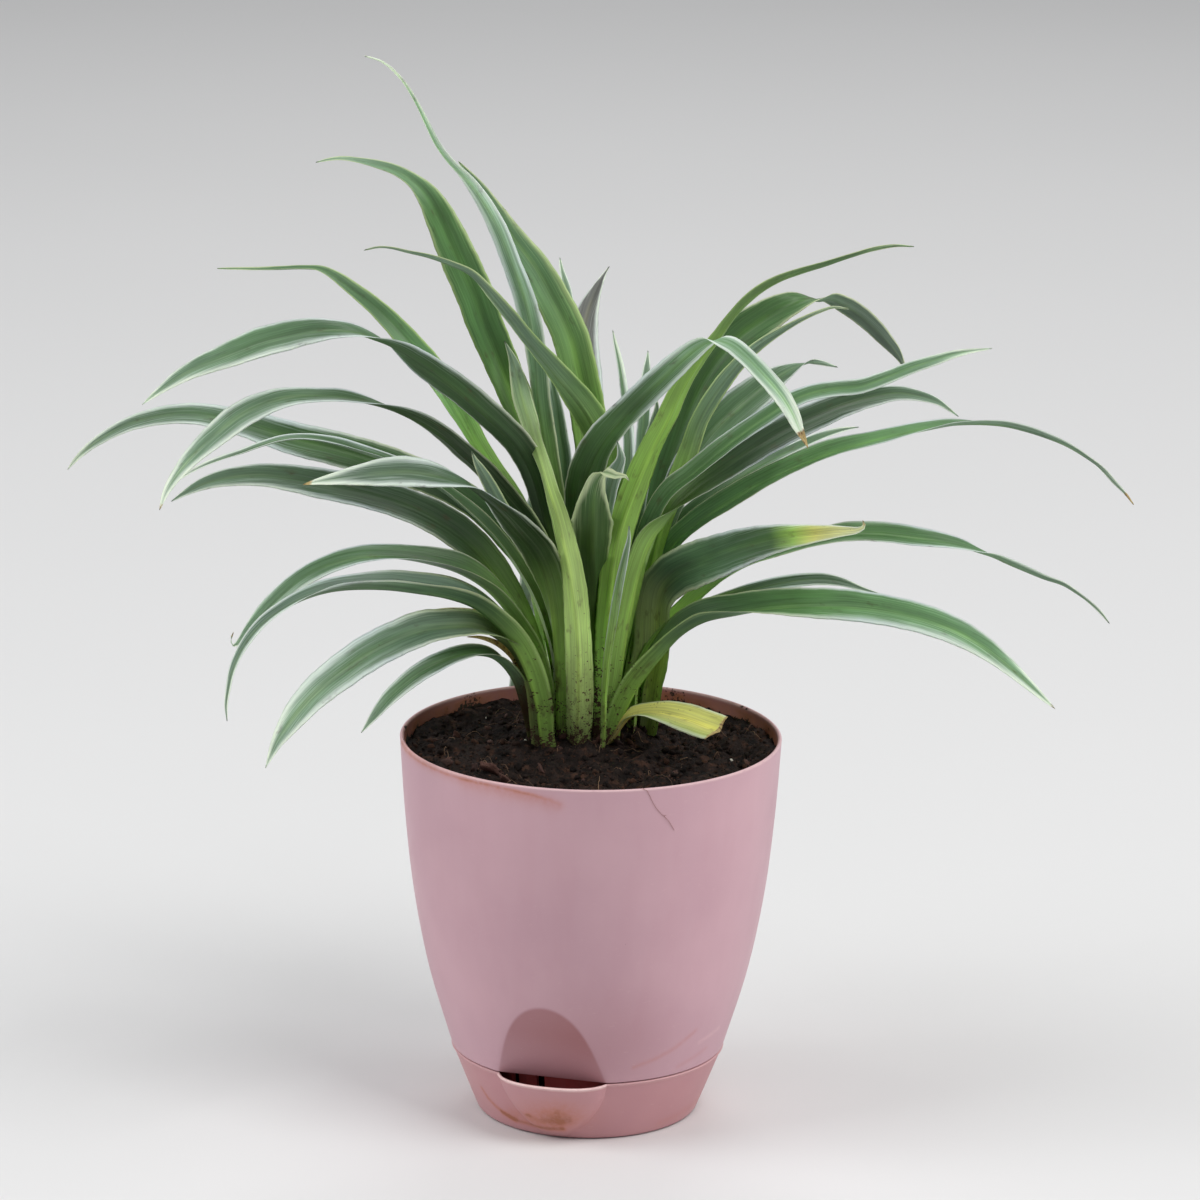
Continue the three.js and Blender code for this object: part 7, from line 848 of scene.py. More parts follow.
def floor_material():
    n = Nodes("floor_paper")
    pos = n.new("ShaderNodeTexCoord").outputs["Object"]
    a = n.noise(pos, 3.0, 2.0, 0.5)
    col = n.mix(a, (0.74, 0.74, 0.74), (0.76, 0.76, 0.76))
    bsdf = n.new("ShaderNodeBsdfPrincipled", {"Base Color": col, "Roughness": 0.8})
    bsdf.inputs["Specular IOR Level"].default_value = 0.2
    n.t.links.new(bsdf.outputs[0], n.out.inputs[0])
    return n.mat


MAT_LEAF = leaf_material()
MAT_POT = pot_material("pot_plastic", srgb(207, 167, 177), srgb(200, 160, 171))
MAT_BASE = pot_material("reservoir_plastic", srgb(202, 150, 154), srgb(194, 142, 147))
MAT_BASKET = pot_material("basket_plastic", srgb(196, 104, 106), srgb(178, 90, 92), 0.4)
MAT_SOIL = soil_material()
MAT_BARK = tinted_material("bark_chips", srgb(40, 25, 22), srgb(84, 52, 42), srgb(24, 16, 14), 700.0, 0.85)
MAT_FIBRE = tinted_material("root_fibres", srgb(84, 60, 44), srgb(150, 118, 90), srgb(56, 40, 30), 900.0, 0.75)
MAT_ROOTLET = tinted_material("rootlet", srgb(132, 84, 70), srgb(160, 104, 88), srgb(110, 66, 54), 900.0, 0.7)
MAT_CROWN = tinted_material("crown_tissue", srgb(66, 60, 34), srgb(120, 118, 66), srgb(44, 32, 24), 300.0, 0.75, 0.8)
MAT_PERLITE = tinted_material("perlite", srgb(196, 190, 176), srgb(232, 228, 216), srgb(150, 140, 122), 1200.0, 0.85)
MAT_FLOOR = floor_material()

# ---------------------------------------------------------------- pot


def body_r(z):
    """Outer radius of the upper shell: a smooth curve through BODY_R."""
    z = np.clip(np.asarray(z, float), SEAM_Z, POT_H)
    k = len(BODY_R) - 1
    u = (z - SEAM_Z) / (POT_H - SEAM_Z) * k
    i = np.clip(np.floor(u).astype(int), 0, k - 1)
    f = u - i
    r = np.array([2 * BODY_R[0] - BODY_R[1], *BODY_R, 2 * BODY_R[-1] - BODY_R[-2]])
    p0, p1, p2, p3 = r[i], r[i + 1], r[i + 2], r[i + 3]
    return 0.5 * (2 * p1 + (p2 - p0) * f + (2 * p0 - 5 * p1 + 4 * p2 - p3) * f**2 + (3 * p1 - p0 - 3 * p2 + p3) * f**3)


RECESS_SLOPE = (float(body_r(RECESS_TOP_Z)) - RECESS_FOOT) / (RECESS_TOP_Z - SEAM_Z)


def angle_from(theta, centre):
    return np.arctan2(np.sin(theta - centre), np.cos(theta - centre))


def shell_r(theta, z):
    """Outer radius of the upper shell with its flat recess over the spout."""
    r = body_r(z)
    d = angle_from(theta, SPOUT_AZ)
    c = np.cos(np.clip(d, -1.2, 1.2))
    flat = (RECESS_FOOT + RECESS_SLOPE * (z - SEAM_Z)) / c
    k = 0.22
    m = np.minimum(r, flat)
    out = m - k * np.log(np.exp(-(r - m) / k) + np.exp(-(flat - m) / k)) + k * math.log(2) * 0.0
    return np.where(np.abs(d) < 1.1, out, r)


FOOT = np.array([[33.2, 0.0], [34.3, 0.28], [35.05, 0.9], [35.5, 1.9], [36.3, 3.9], [37.75, 7.5], [39.4, 11.7], [41.2, 16.3], [43.15, 21.3]])


def base_r(z):
    return np.interp(z, FOOT[:, 1], FOOT[:, 0])


def spout_out(theta, z):
    # a round-bottomed scoop: it narrows downwards
    share = np.interp(z, [0.0, 1.5, 3.5, 6.0, 9.0, 12.0, 16.0, 21.3], [0.16, 0.26, 0.46, 0.64, 0.79, 0.89, 0.97, 1.0])
    d = np.abs(angle_from(theta, SPOUT_AZ)) / (SPOUT_HALF * share)
    across = np.where(d < 1, (1 - np.minimum(d, 1) ** 3.6) ** 0.95, 0)
    u = np.clip((z - 1.0) / (SEAM_Z - 1.0), 0, 1)
    belly = 0.5 * np.clip(smooth(z, -1.0, SEAM_Z + 4) ** 0.85 * 1.12, 0, 1) + 0.5 * np.sqrt(1 - (1 - u) ** 2)
    return (SPOUT_OUT + 0.1) * across * belly


def azimuths(fine):
    """Angles round the pot, closer together near the spout."""
    a = [-math.pi]
    while a[-1] < math.pi:
        d = abs(angle_from(a[-1], SPOUT_AZ))
        a.append(a[-1] + math.radians(fine if d < math.radians(45) else 1.2 if d < math.radians(95) else 2.0))
    a = np.array(a[:-1])
    return a if math.pi - a[-1] > math.radians(0.3) else a[:-1]


def around(theta, r, z):
    """Point at azimuth theta (0 faces the camera, positive to its right)."""
    return np.stack([r * np.sin(theta), -r * np.cos(theta), z + 0 * r], -1)


def stroke(az, z, r, path, width, soft=1.0):
    """0..1 mask of a line painted on the wall: path points are (degrees, mm)."""
    best = np.full(az.shape, 1e9)
    for (a0, z0), (a1, z1) in zip(path[:-1], path[1:]):
        ax = np.radians((a0 + a1) / 2) + angle_from(az, np.radians((a0 + a1) / 2)) - np.radians(a0)
        x, y = ax * r, z - z0
        dx, dy = np.radians(a1 - a0) * r, z1 - z0
        t = np.clip((x * dx + y * dy) / np.maximum(dx * dx + dy * dy, 1e-9), 0, 1)
        best = np.minimum(best, np.hypot(x - t * dx, y - t * dy))
    return np.exp(-((best / width) ** 2) ** soft)


def blob(az, z, r, a0, z0, wa, wz):
    return np.exp(-((angle_from(az, math.radians(a0)) * r / wa) ** 2) - ((z - z0) / wz) ** 2)


def wall_wear(az, z, r, inner):
    """stain, soil, wear with the lip's painted highlight, and painted shade of a point on the shell."""
    lumps = fbm(np.stack([np.sin(az) * 9, np.cos(az) * 9, z * 0.16], -1).reshape(-1, 3), 41, 4).reshape(az.shape)
    fine = fbm(np.stack([np.sin(az) * 40, np.cos(az) * 40, z * 0.7], -1).reshape(-1, 3), 47, 3).reshape(az.shape)
    stain, soil, wear_and_highlight, painted_shade = (np.zeros(az.shape) for _ in range(4))
    out = ~inner
    # water line under the rim at the front left, with a smear down from it
    fade = smooth(np.degrees(az), -6, -20)
    stain += out * 0.50 * stroke(az, z, r, [(-82, 121.4), (-62, 121.2), (-45, 121.0), (-31, 121.0), (-24, 120.6), (-17, 119.8), (-11, 118.4), (-8.5, 117.4)], 0.6) * (0.35 + 0.65 * fade)
    stain += out * 0.30 * stroke(az, z, r, [(-80, 121.2), (-45, 120.6), (-30, 120.2), (-16, 118.8), (-9, 117.0)], 1.6) * (0.5 + 0.8 * fine)
    stain += out * 0.16 * stroke(az, z, r, [(-40, 119.4), (-22, 118.6), (-12, 117.2)], 2.8)
    stain += out * 0.22 * stroke(az, z, r, [(168, 120.4), (190, 118.0), (204, 117.2)], 1.6)
    # dried water on the reservoir
    stain += out * 0.78 * stroke(az, z, r, [(-57, 11.6), (-54.5, 9.0), (-50, 6.9), (-45, 5.4), (-38, 4.1)], 0.95)
    stain += out * 0.72 * stroke(az, z, r, [(-46, 5.2), (-38, 3.9), (-29, 3.6), (-18, 3.8), (-11, 4.3)], 0.85)
    stain += out * 0.34 * stroke(az, z, r, [(-40, 6.4), (-30, 6.2), (-18, 6.4), (-8, 7.6)], 2.2) * (0.4 + lumps)
    stain += out * 0.62 * blob(az, z, r, -27, 8.4, 1.6, 0.9)
    stain += out * 0.28 * blob(az, z, r, -14, 9.5, 8.5, 4.2) * (0.5 + fine)
    stain += out * 0.22 * blob(az, z, r, -10, 13.5, 6.0, 3.5) * (0.5 + fine)
    stain += out * 0.20 * stroke(az, z, r, [(40, 3.0), (62, 4.6), (80, 6.0)], 1.6)
    stain += out * 0.30 * stroke(az, z, r, [(118, 4.0), (135, 3.4), (150, 5.2)], 1.3)
    # the scoop's belly has gone brown; its lip's painted highlight is set in reservoir()
    stain += out * (0.50 * blob(az, z, r, -13, 9.0, 10.0, 5.6) + 0.10 * blob(az, z, r, -27, 8.0, 9.0, 6.0)) * (z < SEAM_Z)
    # faint rubbed lines at the lower right
    stain += out * 0.32 * stroke(az, z, r, [(19, 26.8), (28, 29.0), (36, 31.5), (45, 36.0)], 0.8)
    stain += out * 0.18 * stroke(az, z, r, [(40, 24.0), (56, 27.5)], 0.9)
    wear_and_highlight += out * 0.25 * stroke(az, z, r, [(50, 31.0), (62, 33.0)], 0.8)
    for a0, z0, w in ((-49, 85.5, 0.35), (-9.5, 51.6, 0.22), (31, 96.0, 0.2), (12, 71.0, 0.16), (150, 66.0, 0.4), (-140, 90.0, 0.3), (104, 44.0, 0.3), (-100, 58.0, 0.25)):
        soil += out * 0.75 * blob(az, z, r, a0, z0, w, w * 0.8)
    # inner wall: brown water marks, painted shade darkening the whole inner wall, and soil splashed up from the surface
    up = smooth(z, 121.8, 114.5)
    brown = 0.35 + 0.9 * smooth(-np.degrees(az), 30, 105) * smooth(-np.degrees(az), 172, 140) + 0.85 * smooth(np.degrees(az), 20, 75)
    stain += inner * np.clip(brown * (0.15 + 1.1 * lumps) * smooth(z, 122.4, 120.0), 0, 0.95)
    painted_shade += inner * 0.9
    # painted shade: the flat over the spout, which faces down and away from the light, is painted darker than the wall
    # round it
    flat = (RECESS_FOOT + RECESS_SLOPE * (z - SEAM_Z)) / np.cos(np.clip(angle_from(az, SPOUT_AZ), -1.2, 1.2))
    painted_shade += out * (0.68 - 0.30 * smooth(z, 40, 24)) * smooth(body_r(z) - flat, -0.05, 0.25) * (z > SEAM_Z) * (np.abs(angle_from(az, SPOUT_AZ)) < 1.0)
    # painted shade: a patch low on the front of the wall is painted darker
    painted_shade += out * 0.30 * blob(az, z, r, 7, 34, 22, 20)
    splash = smooth(z, 121.5 - 2.5 * lumps, 115.0)
    soil += inner * (0.14 + 0.36 * smooth(lumps, 0.48, 0.66) + 0.80 * splash * (0.40 + 0.9 * fine))
    # a little soil left along the lip, a painted highlight along its top, and a brown stain on its left side
    lip = np.exp(-((z - 122.0) / 0.35) ** 2)
    soil += lip * 0.34 * smooth(fine, 0.52, 0.75)
    wear_and_highlight += lip * 0.5
    stain += lip * 0.25 * smooth(-np.degrees(az), 20, 70) * smooth(-np.degrees(az), 150, 90)
    return np.clip(stain, 0, 1), np.clip(soil, 0, 1), np.clip(wear_and_highlight, 0, 1), np.clip(painted_shade, 0, 1)


def upper_shell():
    th = azimuths(0.36)
    outer_z = np.concatenate([np.linspace(SEAM_Z + GAP / 2 + 0.40, 50, 74), np.linspace(50.9, 116, 56), np.linspace(116.6, POT_H - 0.62, 16)])
    n = len(th)
    T = th[:, None]
    cols, inner = [], []

    def add(r, z, is_inner=False):
        r = np.broadcast_to(np.asarray(r, float), (n,))
        cols.append(np.stack([r, np.full(n, float(z))], -1))
        inner.append(is_inner)

    foot = shell_r(th, SEAM_Z + 0.5)
    low = SEAM_Z + GAP / 2
    for a in (0, 30, 60):
        a = math.radians(a)
        add(foot - 0.40 + 0.40 * math.sin(a), low + 0.40 - 0.40 * math.cos(a))
    for z in outer_z:
        add(shell_r(th, z), z)
    rim = shell_r(th, POT_H)
    for a in np.radians([15, 35, 55, 75, 90, 105, 125, 145, 165]):
        add(rim - 0.62 + 0.62 * math.cos(a), POT_H - 0.62 + 0.62 * math.sin(a), a > math.pi / 2)
    for z in np.concatenate([np.linspace(POT_H - 0.62, 108, 26), np.linspace(105, 30, 16), [26.5, 24.6]]):
        w = 1.24 + (WALL - 1.24) * float(smooth(z, 121, 104))
        add(shell_r(th, z) - w, z, True)
    top = SEAM_Z + GAP / 2 + FLOOR_T
    add(np.minimum(shell_r(th, top) - WALL - 0.5, 41.0), top, True)
    add(34.0, top, True)
    add(31.5, top, True)
    add(31.0, top - 0.5, True)
    add(31.0, low + 0.5, True)
    add(31.5, low, True)
    add(35.0, low, True)
    RZ = np.stack(cols, 1)
    inner = np.broadcast_to(np.array(inner)[None, :], RZ.shape[:2])
    az = np.broadcast_to(T, RZ.shape[:2])
    V = around(az, RZ[..., 0], RZ[..., 1])
    st, so, wo, to = wall_wear(az, RZ[..., 1], RZ[..., 0], inner)
    m = RZ.shape[1]
    return mesh_piece(
        "pot_shell", V.reshape(-1, 3), ring_faces(n, m, close_n=True), MAT_POT, ["pot_body"],
        {"pot_wear_and_highlight": np.stack([st, so, wo], -1).reshape(-1, 3), "pot_painted_shade": to.ravel()},
    )


def reservoir():
    th = azimuths(0.36)
    n = len(th)
    lip_z = SEAM_Z - GAP / 2
    cols, inner = [], []

    def add(r, z, is_inner=False):
        cols.append(np.stack([np.broadcast_to(np.asarray(r, float), (n,)), np.broadcast_to(np.asarray(z, float), (n,))], -1))
        inner.append(is_inner)

    for r, z in ((0.4, 0.8), (12, 0.8), (26, 0.8), (29.6, 0.8), (30.4, 0.25), (31.0, 0.0), (32.2, 0.0)):
        add(r, z)
    for z in np.concatenate([[0.0, 0.06, 0.16, 0.3, 0.5, 0.75, 1.05, 1.4, 1.8], np.linspace(2.3, lip_z - 0.6, 44)]):
        add(base_r(z) + spout_out(th, z), z)
    w = 1.25
    lip = base_r(lip_z) + spout_out(th, lip_z) + 0.16
    for a in np.radians([0, 20, 40, 60, 80, 100, 120, 140, 160, 180]):
        add(lip - w / 2 + (w / 2) * math.cos(a), lip_z - 0.5 + 0.5 * math.sin(a), a > math.pi / 2)
    for z in np.linspace(lip_z - 0.7, 3.0, 30):
        add(base_r(z) + spout_out(th, z) - w - 0.35 * float(smooth(z, 20, 8)), z, True)
    for r, z in ((33.0, 2.4), (30, 2.4), (15, 2.4), (0.4, 2.4)):
        add(r, z, True)
    RZ = np.stack(cols, 1)
    m = RZ.shape[1]
    inner = np.broadcast_to(np.array(inner)[None, :], RZ.shape[:2])
    az = np.broadcast_to(th[:, None], RZ.shape[:2])
    V = around(az, RZ[..., 0], RZ[..., 1])
    st, so, wo, to = wall_wear(az, RZ[..., 1], RZ[..., 0], inner & False)
    st = np.where(inner, 0.25, st)
    # painted shade: the reservoir's whole inside is painted darker
    to = np.where(inner, 1.0, 0.0)
    # painted highlight: the lip's top edge is painted paler, most of all along the spout
    edge = smooth(RZ[..., 1], lip_z - 1.5, lip_z - 0.5)
    wo = np.maximum(wo, edge * (0.25 + 0.75 * (spout_out(az, lip_z) > 0.4)))
    faces = ring_faces(n, m, close_n=True, close_m=False)
    faces.append(tuple(i * m for i in range(n))[::1])
    faces.append(tuple(i * m + m - 1 for i in range(n))[::-1])
    return mesh_piece(
        "reservoir_shell", V.reshape(-1, 3), faces, MAT_BASE, ["water_reservoir"],
        {"pot_wear_and_highlight": np.stack([st, so, wo], -1).reshape(-1, 3), "pot_painted_shade": to.ravel()},
    )


def basket():
    """The CAD basket keeps its shape and gets the wet plastic."""
    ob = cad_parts["wicking_basket"]
    ob.data.materials.clear()
    ob.data.materials.append(MAT_BASKET)


upper_shell()
reservoir()
basket()

# ---------------------------------------------------------------- soil


def soil_plain(x, y):
    """The packed soil's own surface."""
    d = np.hypot((x - CROWN[0]) / 40, (y - CROWN[1]) / 34)
    return SOIL_Z + MOUND_H * np.exp(-d * d * 1.8) + 0.5 * np.sin(x * 0.21 + 1.3) * np.cos(y * 0.27 + 0.4) + 0.3 * np.sin(x * 0.53 - y * 0.41)


def soil_top(x, y):
    """Loose, lumpy surface on the packed soil."""
    x, y = np.asarray(x, float), np.asarray(y, float)
    r, az = np.hypot(x, y), np.arctan2(x, -y)
    z = soil_plain(x, y)
    z = z + 2.8 * (fbm(xyz(x / 11, y / 11), 3, 3) - 0.5)
    z = z + 2.6 * (fbm(xyz(x / 3.6, y / 3.6), 11, 3) - 0.5)
    z = z + 1.3 * (fbm(xyz(x / 1.3, y / 1.3), 19, 2) - 0.5)
    # lumps here and there
    for lx, ly, lr, lh in ((-33, -28, 7, 2.6), (-24, -40, 5, 1.8), (22, -34, 6, 2.0), (40, -16, 7, 2.4), (4, -30, 6, 1.6), (-44, 2, 7, 2.8), (46, 14, 8, 2.6), (8, 40, 9, 2.0), (-26, 34, 8, 2.2), (-12, -20, 6, 2.2), (17, -14, 6, 2.0), (-50, -14, 5, 1.2), (30, 36, 6, 1.6)):
        z = z + lh * np.exp(-(((x - lx) ** 2 + (y - ly) ** 2) / (lr * lr)))
    # soil climbs the wall in places and lies low along the front
    wall = smooth(r, 47, 57.5)
    climb = 0.4 + 2.6 * fbm(xyz(np.sin(az) * 3.1, np.cos(az) * 3.1), 29, 3) + 1.6 * smooth(np.abs(np.degrees(az)), 50, 85)
    z = z + 2.3 * np.exp(-((((x + 1) / 21) ** 2 + ((y - 5) / 18) ** 2) ** 2))
    z = z + wall * (climb - 1.0) - 1.2 * wall * smooth(np.degrees(np.abs(az)), 45, 10)
    return z


def soil_bed():
    n, step = 300, 0.62
    rs = np.concatenate([[0.5], np.arange(1.4, 57.0, step), [57.3]])
    th = np.linspace(-math.pi, math.pi, n, endpoint=False)
    T, R = np.meshgrid(th, rs, indexing="ij")
    x, y = R * np.sin(T), -R * np.cos(T)
    z = soil_top(x.ravel(), y.ravel()).reshape(x.shape)
    edge = np.minimum(shell_r(T, z) - 1.6, 57.9)
    x[:, -1] = (edge * np.sin(T))[:, -1]
    y[:, -1] = (-edge * np.cos(T))[:, -1]
    top = np.stack([x, y, z], -1)
    low = []
    for zz in (112, 100, 80, 60, 45, 34, 27, SEAM_Z + GAP / 2 + FLOOR_T + 0.3):
        r = shell_r(th, zz) - WALL - 0.25
        low.append(around(th, r, zz))
    for r, zz in ((30.6, SEAM_Z + GAP / 2 + FLOOR_T + 0.2), (30.6, 21.0), (30.4, 4.4), (0.5, 4.4)):
        low.append(around(th, np.full(n, r), zz))
    V = np.concatenate([top, np.stack(low, 1)], 1)
    m = V.shape[1]
    faces = ring_faces(n, m, close_n=True, close_m=False)
    faces.append(tuple(i * m for i in range(n)))
    faces.append(tuple(i * m + m - 1 for i in range(n))[::-1])
    flat = V.reshape(-1, 3)
    tint = 0.35 * smooth(fbm(flat / 2.2, 57, 3), 0.58, 0.75)
    return mesh_piece("soil_bed", flat, faces, MAT_SOIL, ["soil"], {"soil_tint": tint})


def ico(sub):
    bm_verts = []
    t = (1 + 5**0.5) / 2
    v = [(-1, t, 0), (1, t, 0), (-1, -t, 0), (1, -t, 0), (0, -1, t), (0, 1, t), (0, -1, -t), (0, 1, -t), (t, 0, -1), (t, 0, 1), (-t, 0, -1), (-t, 0, 1)]
    f = [(0, 11, 5), (0, 5, 1), (0, 1, 7), (0, 7, 10), (0, 10, 11), (1, 5, 9), (5, 11, 4), (11, 10, 2), (10, 7, 6), (7, 1, 8), (3, 9, 4), (3, 4, 2), (3, 2, 6), (3, 6, 8), (3, 8, 9), (4, 9, 5), (2, 4, 11), (6, 2, 10), (8, 6, 7), (9, 8, 1)]
    v = [np.array(p) / np.linalg.norm(p) for p in v]
    for _ in range(sub):
        mid, nf = {}, []
        for a, b, c in f:
            e = []
            for i, j in ((a, b), (b, c), (c, a)):
                key = (min(i, j), max(i, j))
                if key not in mid:
                    p = v[i] + v[j]
                    v.append(p / np.linalg.norm(p))
                    mid[key] = len(v) - 1
                e.append(mid[key])
            nf += [(a, e[0], e[2]), (b, e[1], e[0]), (c, e[2], e[1]), (e[0], e[1], e[2])]
        f = nf
    return np.array(v), f


ICO = {0: ico(0), 1: ico(1), 2: ico(2)}


def random_turn(rng):
    q = rng.normal(size=4)
    q /= np.linalg.norm(q)
    w, x, y, z = q
    return np.array([[1 - 2 * (y * y + z * z), 2 * (x * y - z * w), 2 * (x * z + y * w)], [2 * (x * y + z * w), 1 - 2 * (x * x + z * z), 2 * (y * z - x * w)], [2 * (x * z - y * w), 2 * (y * z + x * w), 1 - 2 * (x * x + y * y)]])


def grains(name, spots, mat, sub_of, squash, rough, tint_of, sink=0.25):
    """One mesh of irregular grains at spots (x, y, z, size)."""
    V, F, tint, at = [], [], [], 0
    for x, y, z, s in spots:
        v, f = ICO[sub_of(s)]
        v = v * (1 + rough * (vnoise(v * 1.7 + RNG.random(3) * 50, 5) * 2 - 1))[:, None]
        v = (v * squash(s)) @ random_turn(RNG).T * s
        V.append(v + np.array([x, y, z + s * (0.5 - sink)]))
        F += [tuple(int(i) + at for i in t) for t in f]
        tint += [tint_of()] * len(v)
        at += len(v)
    return mesh_piece(name, np.concatenate(V), F, mat, (), {"soil_tint": np.array(tint)}, flat=False)


def scatter(count, low, high, power, r_max=56.0, keep=None):
    spots = []
    while len(spots) < count:
        k = count
        r, a = r_max * np.sqrt(RNG.random(k)), RNG.random(k) * 2 * math.pi
        x, y = r * np.sin(a), -r * np.cos(a)
        s = low + (high - low) * RNG.random(k) ** power
        z = soil_top(x, y)
        for row in zip(x, y, z, s):
            if keep is None or keep(row[0], row[1]):
                spots.append(row)
    return spots[:count]


def tube(points, radius, sides=5, ends=True):
    """Vertices and faces of a thin closed tube along points."""
    P = np.asarray(points, float)
    T = np.gradient(P, axis=0)
    T /= np.linalg.norm(T, axis=1)[:, None] + 1e-12
    ref = np.array([0.13, 0.21, 0.97])
    rad = np.broadcast_to(np.asarray(radius, float), (len(P),))
    V = []
    for p, t, r in zip(P, T, rad):
        a = np.cross(t, ref)
        a /= np.linalg.norm(a) + 1e-12
        b = np.cross(t, a)
        for k in range(sides):
            w = 2 * math.pi * k / sides
            V.append(p + r * (a * math.cos(w) + b * math.sin(w)))
    F = ring_faces(len(P), sides)
    F = [tuple(reversed(f)) for f in F]
    F.append(tuple(range(sides)))
    F.append(tuple(reversed(range((len(P) - 1) * sides, len(P) * sides))))
    return V, F


def tubes(name, paths, mat):
    V, F, tint, at = [], [], [], 0
    for pts, radius in paths:
        v, f = tube(pts, radius)
        V += v
        F += [tuple(i + at for i in q) for q in f]
        tint += [float(RNG.random())] * len(v)
        at += len(v)
    return mesh_piece(name, V, F, mat, (), {"soil_tint": np.array(tint)})


def soil_litter():
    grains("soil_crumbs", scatter(1300, 0.30, 1.45, 3.4), MAT_SOIL, lambda s: 1, lambda s: np.array([1, 0.8, 0.62]), 0.42, lambda: max(0.0, RNG.random() * 1.3 - 0.85))
    grains("soil_grit", scatter(2600, 0.16, 0.42, 1.5), MAT_SOIL, lambda s: 0, lambda s: np.array([1, 0.8, 0.7]), 0.35, lambda: max(0.0, RNG.random() * 1.5 - 0.8))
    bark = [(-31, -29, 0, 4.2), (-26, -33, 0, 2.6), (-36, -24, 0, 2.4), (-20, -44, 0, 1.8), (14, -44, 0, 2.0), (38, -30, 0, 1.9), (-45, -16, 0, 1.7), (26, -22, 0, 1.7)]
    bark = [(x, y, float(soil_top(np.array([x]), np.array([y]))[0]), s) for x, y, _, s in bark]
    bark += scatter(46, 0.7, 2.0, 1.6)
    grains("bark_chips", bark, MAT_BARK, lambda s: 2 if s > 1.5 else 1, lambda s: np.array([1.0, 0.62, 0.34]), 0.5, lambda: RNG.random(), 0.3)
    white = scatter(7, 0.35, 0.75, 1.0)
    white.append((44.0, -3.0, float(soil_top(np.array([44.0]), np.array([-3.0]))[0]), 0.85))
    grains("perlite_grains", white, MAT_PERLITE, lambda s: 1, lambda s: np.array([1.0, 0.85, 0.8]), 0.3, lambda: RNG.random(), 0.2)
    # root fibres lying on and poking out of the soil
    paths = []
    for _ in range(56):
        r, a = 54 * math.sqrt(RNG.random()), RNG.random() * 2 * math.pi
        x, y = r * math.sin(a), -r * math.cos(a)
        h, length, lift = RNG.random() * 2 * math.pi, 3 + 9 * RNG.random() ** 1.5, RNG.random() ** 2.2 * 3.2
        pts, px, py = [], x, y
        for i in range(9):
            u = i / 8
            h += RNG.normal() * 0.28
            px, py = px + math.cos(h) * length / 8, py + math.sin(h) * length / 8
            if math.hypot(px, py) > 56.2:
                break
            z = float(soil_top(np.array([px]), np.array([py]))[0])
            pts.append((px, py, z - 0.25 + (0.3 + lift) * math.sin(math.pi * min(u * 1.08, 1)) + 0.15))
        if len(pts) > 4:
            paths.append((pts, 0.045 + 0.06 * RNG.random()))
    # a few longer ones that stand out at the front and left
    for x0, y0, x1, y1, top in ((-34, -8, -26, -26, 3.0), (-23, -28, -17, -40, 2.6), (2, -30, 5, -48, 2.2), (-47, -28, -46.5, -31, 3.4), (-12, -47, -6, -44, 1.8), (18, -28, 27, -38, 2.0), (-8, 36, 6, 44, 2.4)):
        pts = []
        for i in range(14):
            u = i / 13
            x, y = x0 + (x1 - x0) * u + math.sin(u * 5 + x0) * 0.9, y0 + (y1 - y0) * u + math.cos(u * 6 + y0) * 0.7
            z = float(soil_top(np.array([x]), np.array([y]))[0])
            pts.append((x, y, z - 0.2 + top * math.sin(math.pi * u) ** 0.8 * (0.7 + 0.3 * math.sin(u * 9))))
        paths.append((pts, 0.085))
    tubes("root_fibres", paths, MAT_FIBRE)
    # one thin root hangs over the rim
    keys = [(14.0, 117.6, -3.4), (15.2, 121.6, -1.5), (15.9, 122.55, -0.4), (16.3, 122.0, 0.22), (16.9, 120.9, 0.16), (19.5, 116.7, 0.16), (21.9, 113.2, 0.16), (23.9, 110.7, 0.2), (26.3, 107.8, 0.16)]
    k = np.array(keys)
    u = np.linspace(0, len(k) - 1, 40)
    az, z, off = (np.interp(u, np.arange(len(k)), k[:, j]) for j in range(3))
    az = az + 0.35 * np.sin(u * 2.1)
    pts = around(np.radians(az), body_r(z) + off, z)
    tubes("rim_rootlet", [(pts, 0.06), (np.array([pts[30], pts[30] + [0.5, -0.02, 0.35], pts[30] + [0.8, 0.0, 0.2]]), 0.06)], MAT_ROOTLET)


soil_bed()
soil_litter()


def crown_piece():
    v, f = ico(4)
    cx, cy, cz, rx, ry, rz = CROWN
    d = 1 + 0.20 * (fbm(v * 2.6, 71, 4) - 0.5) + 0.10 * (fbm(v * 9.0, 77, 3) - 0.5)
    P = v * d[:, None] * np.array([rx, ry, rz]) * 0.97 + np.array([cx, cy, cz])
    mesh_piece("crown_stem", P, [tuple(int(i) for i in t) for t in f], MAT_CROWN, ["crown"], {"soil_tint": fbm(P / 3.0, 81, 3)})


crown_piece()

# ---------------------------------------------------------------- leaves

# ink, fir and deep are the greens of shaded blades, painted shade; mid, soft and slate carry a painted blue-grey sheen;
# lilac is white with a painted bluish sheen; glow and husk are pale feet made lighter as painted light where they sit
# in shade
PALETTE = {
    "ink": (50, 76, 40),
    "fir": (56, 80, 38),
    "sage": (84, 114, 84),
    "husk": (194, 209, 152),
    "moss": (84, 116, 66),
    "deep": (60, 90, 45),
    "dark": (78, 113, 67),
    "mid": (106, 139, 104),
    "soft": (131, 157, 136),
    "bright": (138, 178, 84),
    "glow": (194, 220, 136),
    "slate": (114, 142, 120),
    "lime": (160, 200, 98),
    "pale": (184, 212, 136),
    "cream": (222, 230, 198),
    "white": (242, 248, 246),
    "lilac": (226, 236, 246),
    "grey": (120, 122, 118),
    "dull": (118, 134, 78),
    "olive": (150, 158, 98),
    "yellow": (216, 216, 126),
    "straw": (200, 180, 112),
    "brown": (112, 82, 50),
    "bark": (70, 52, 36),
}
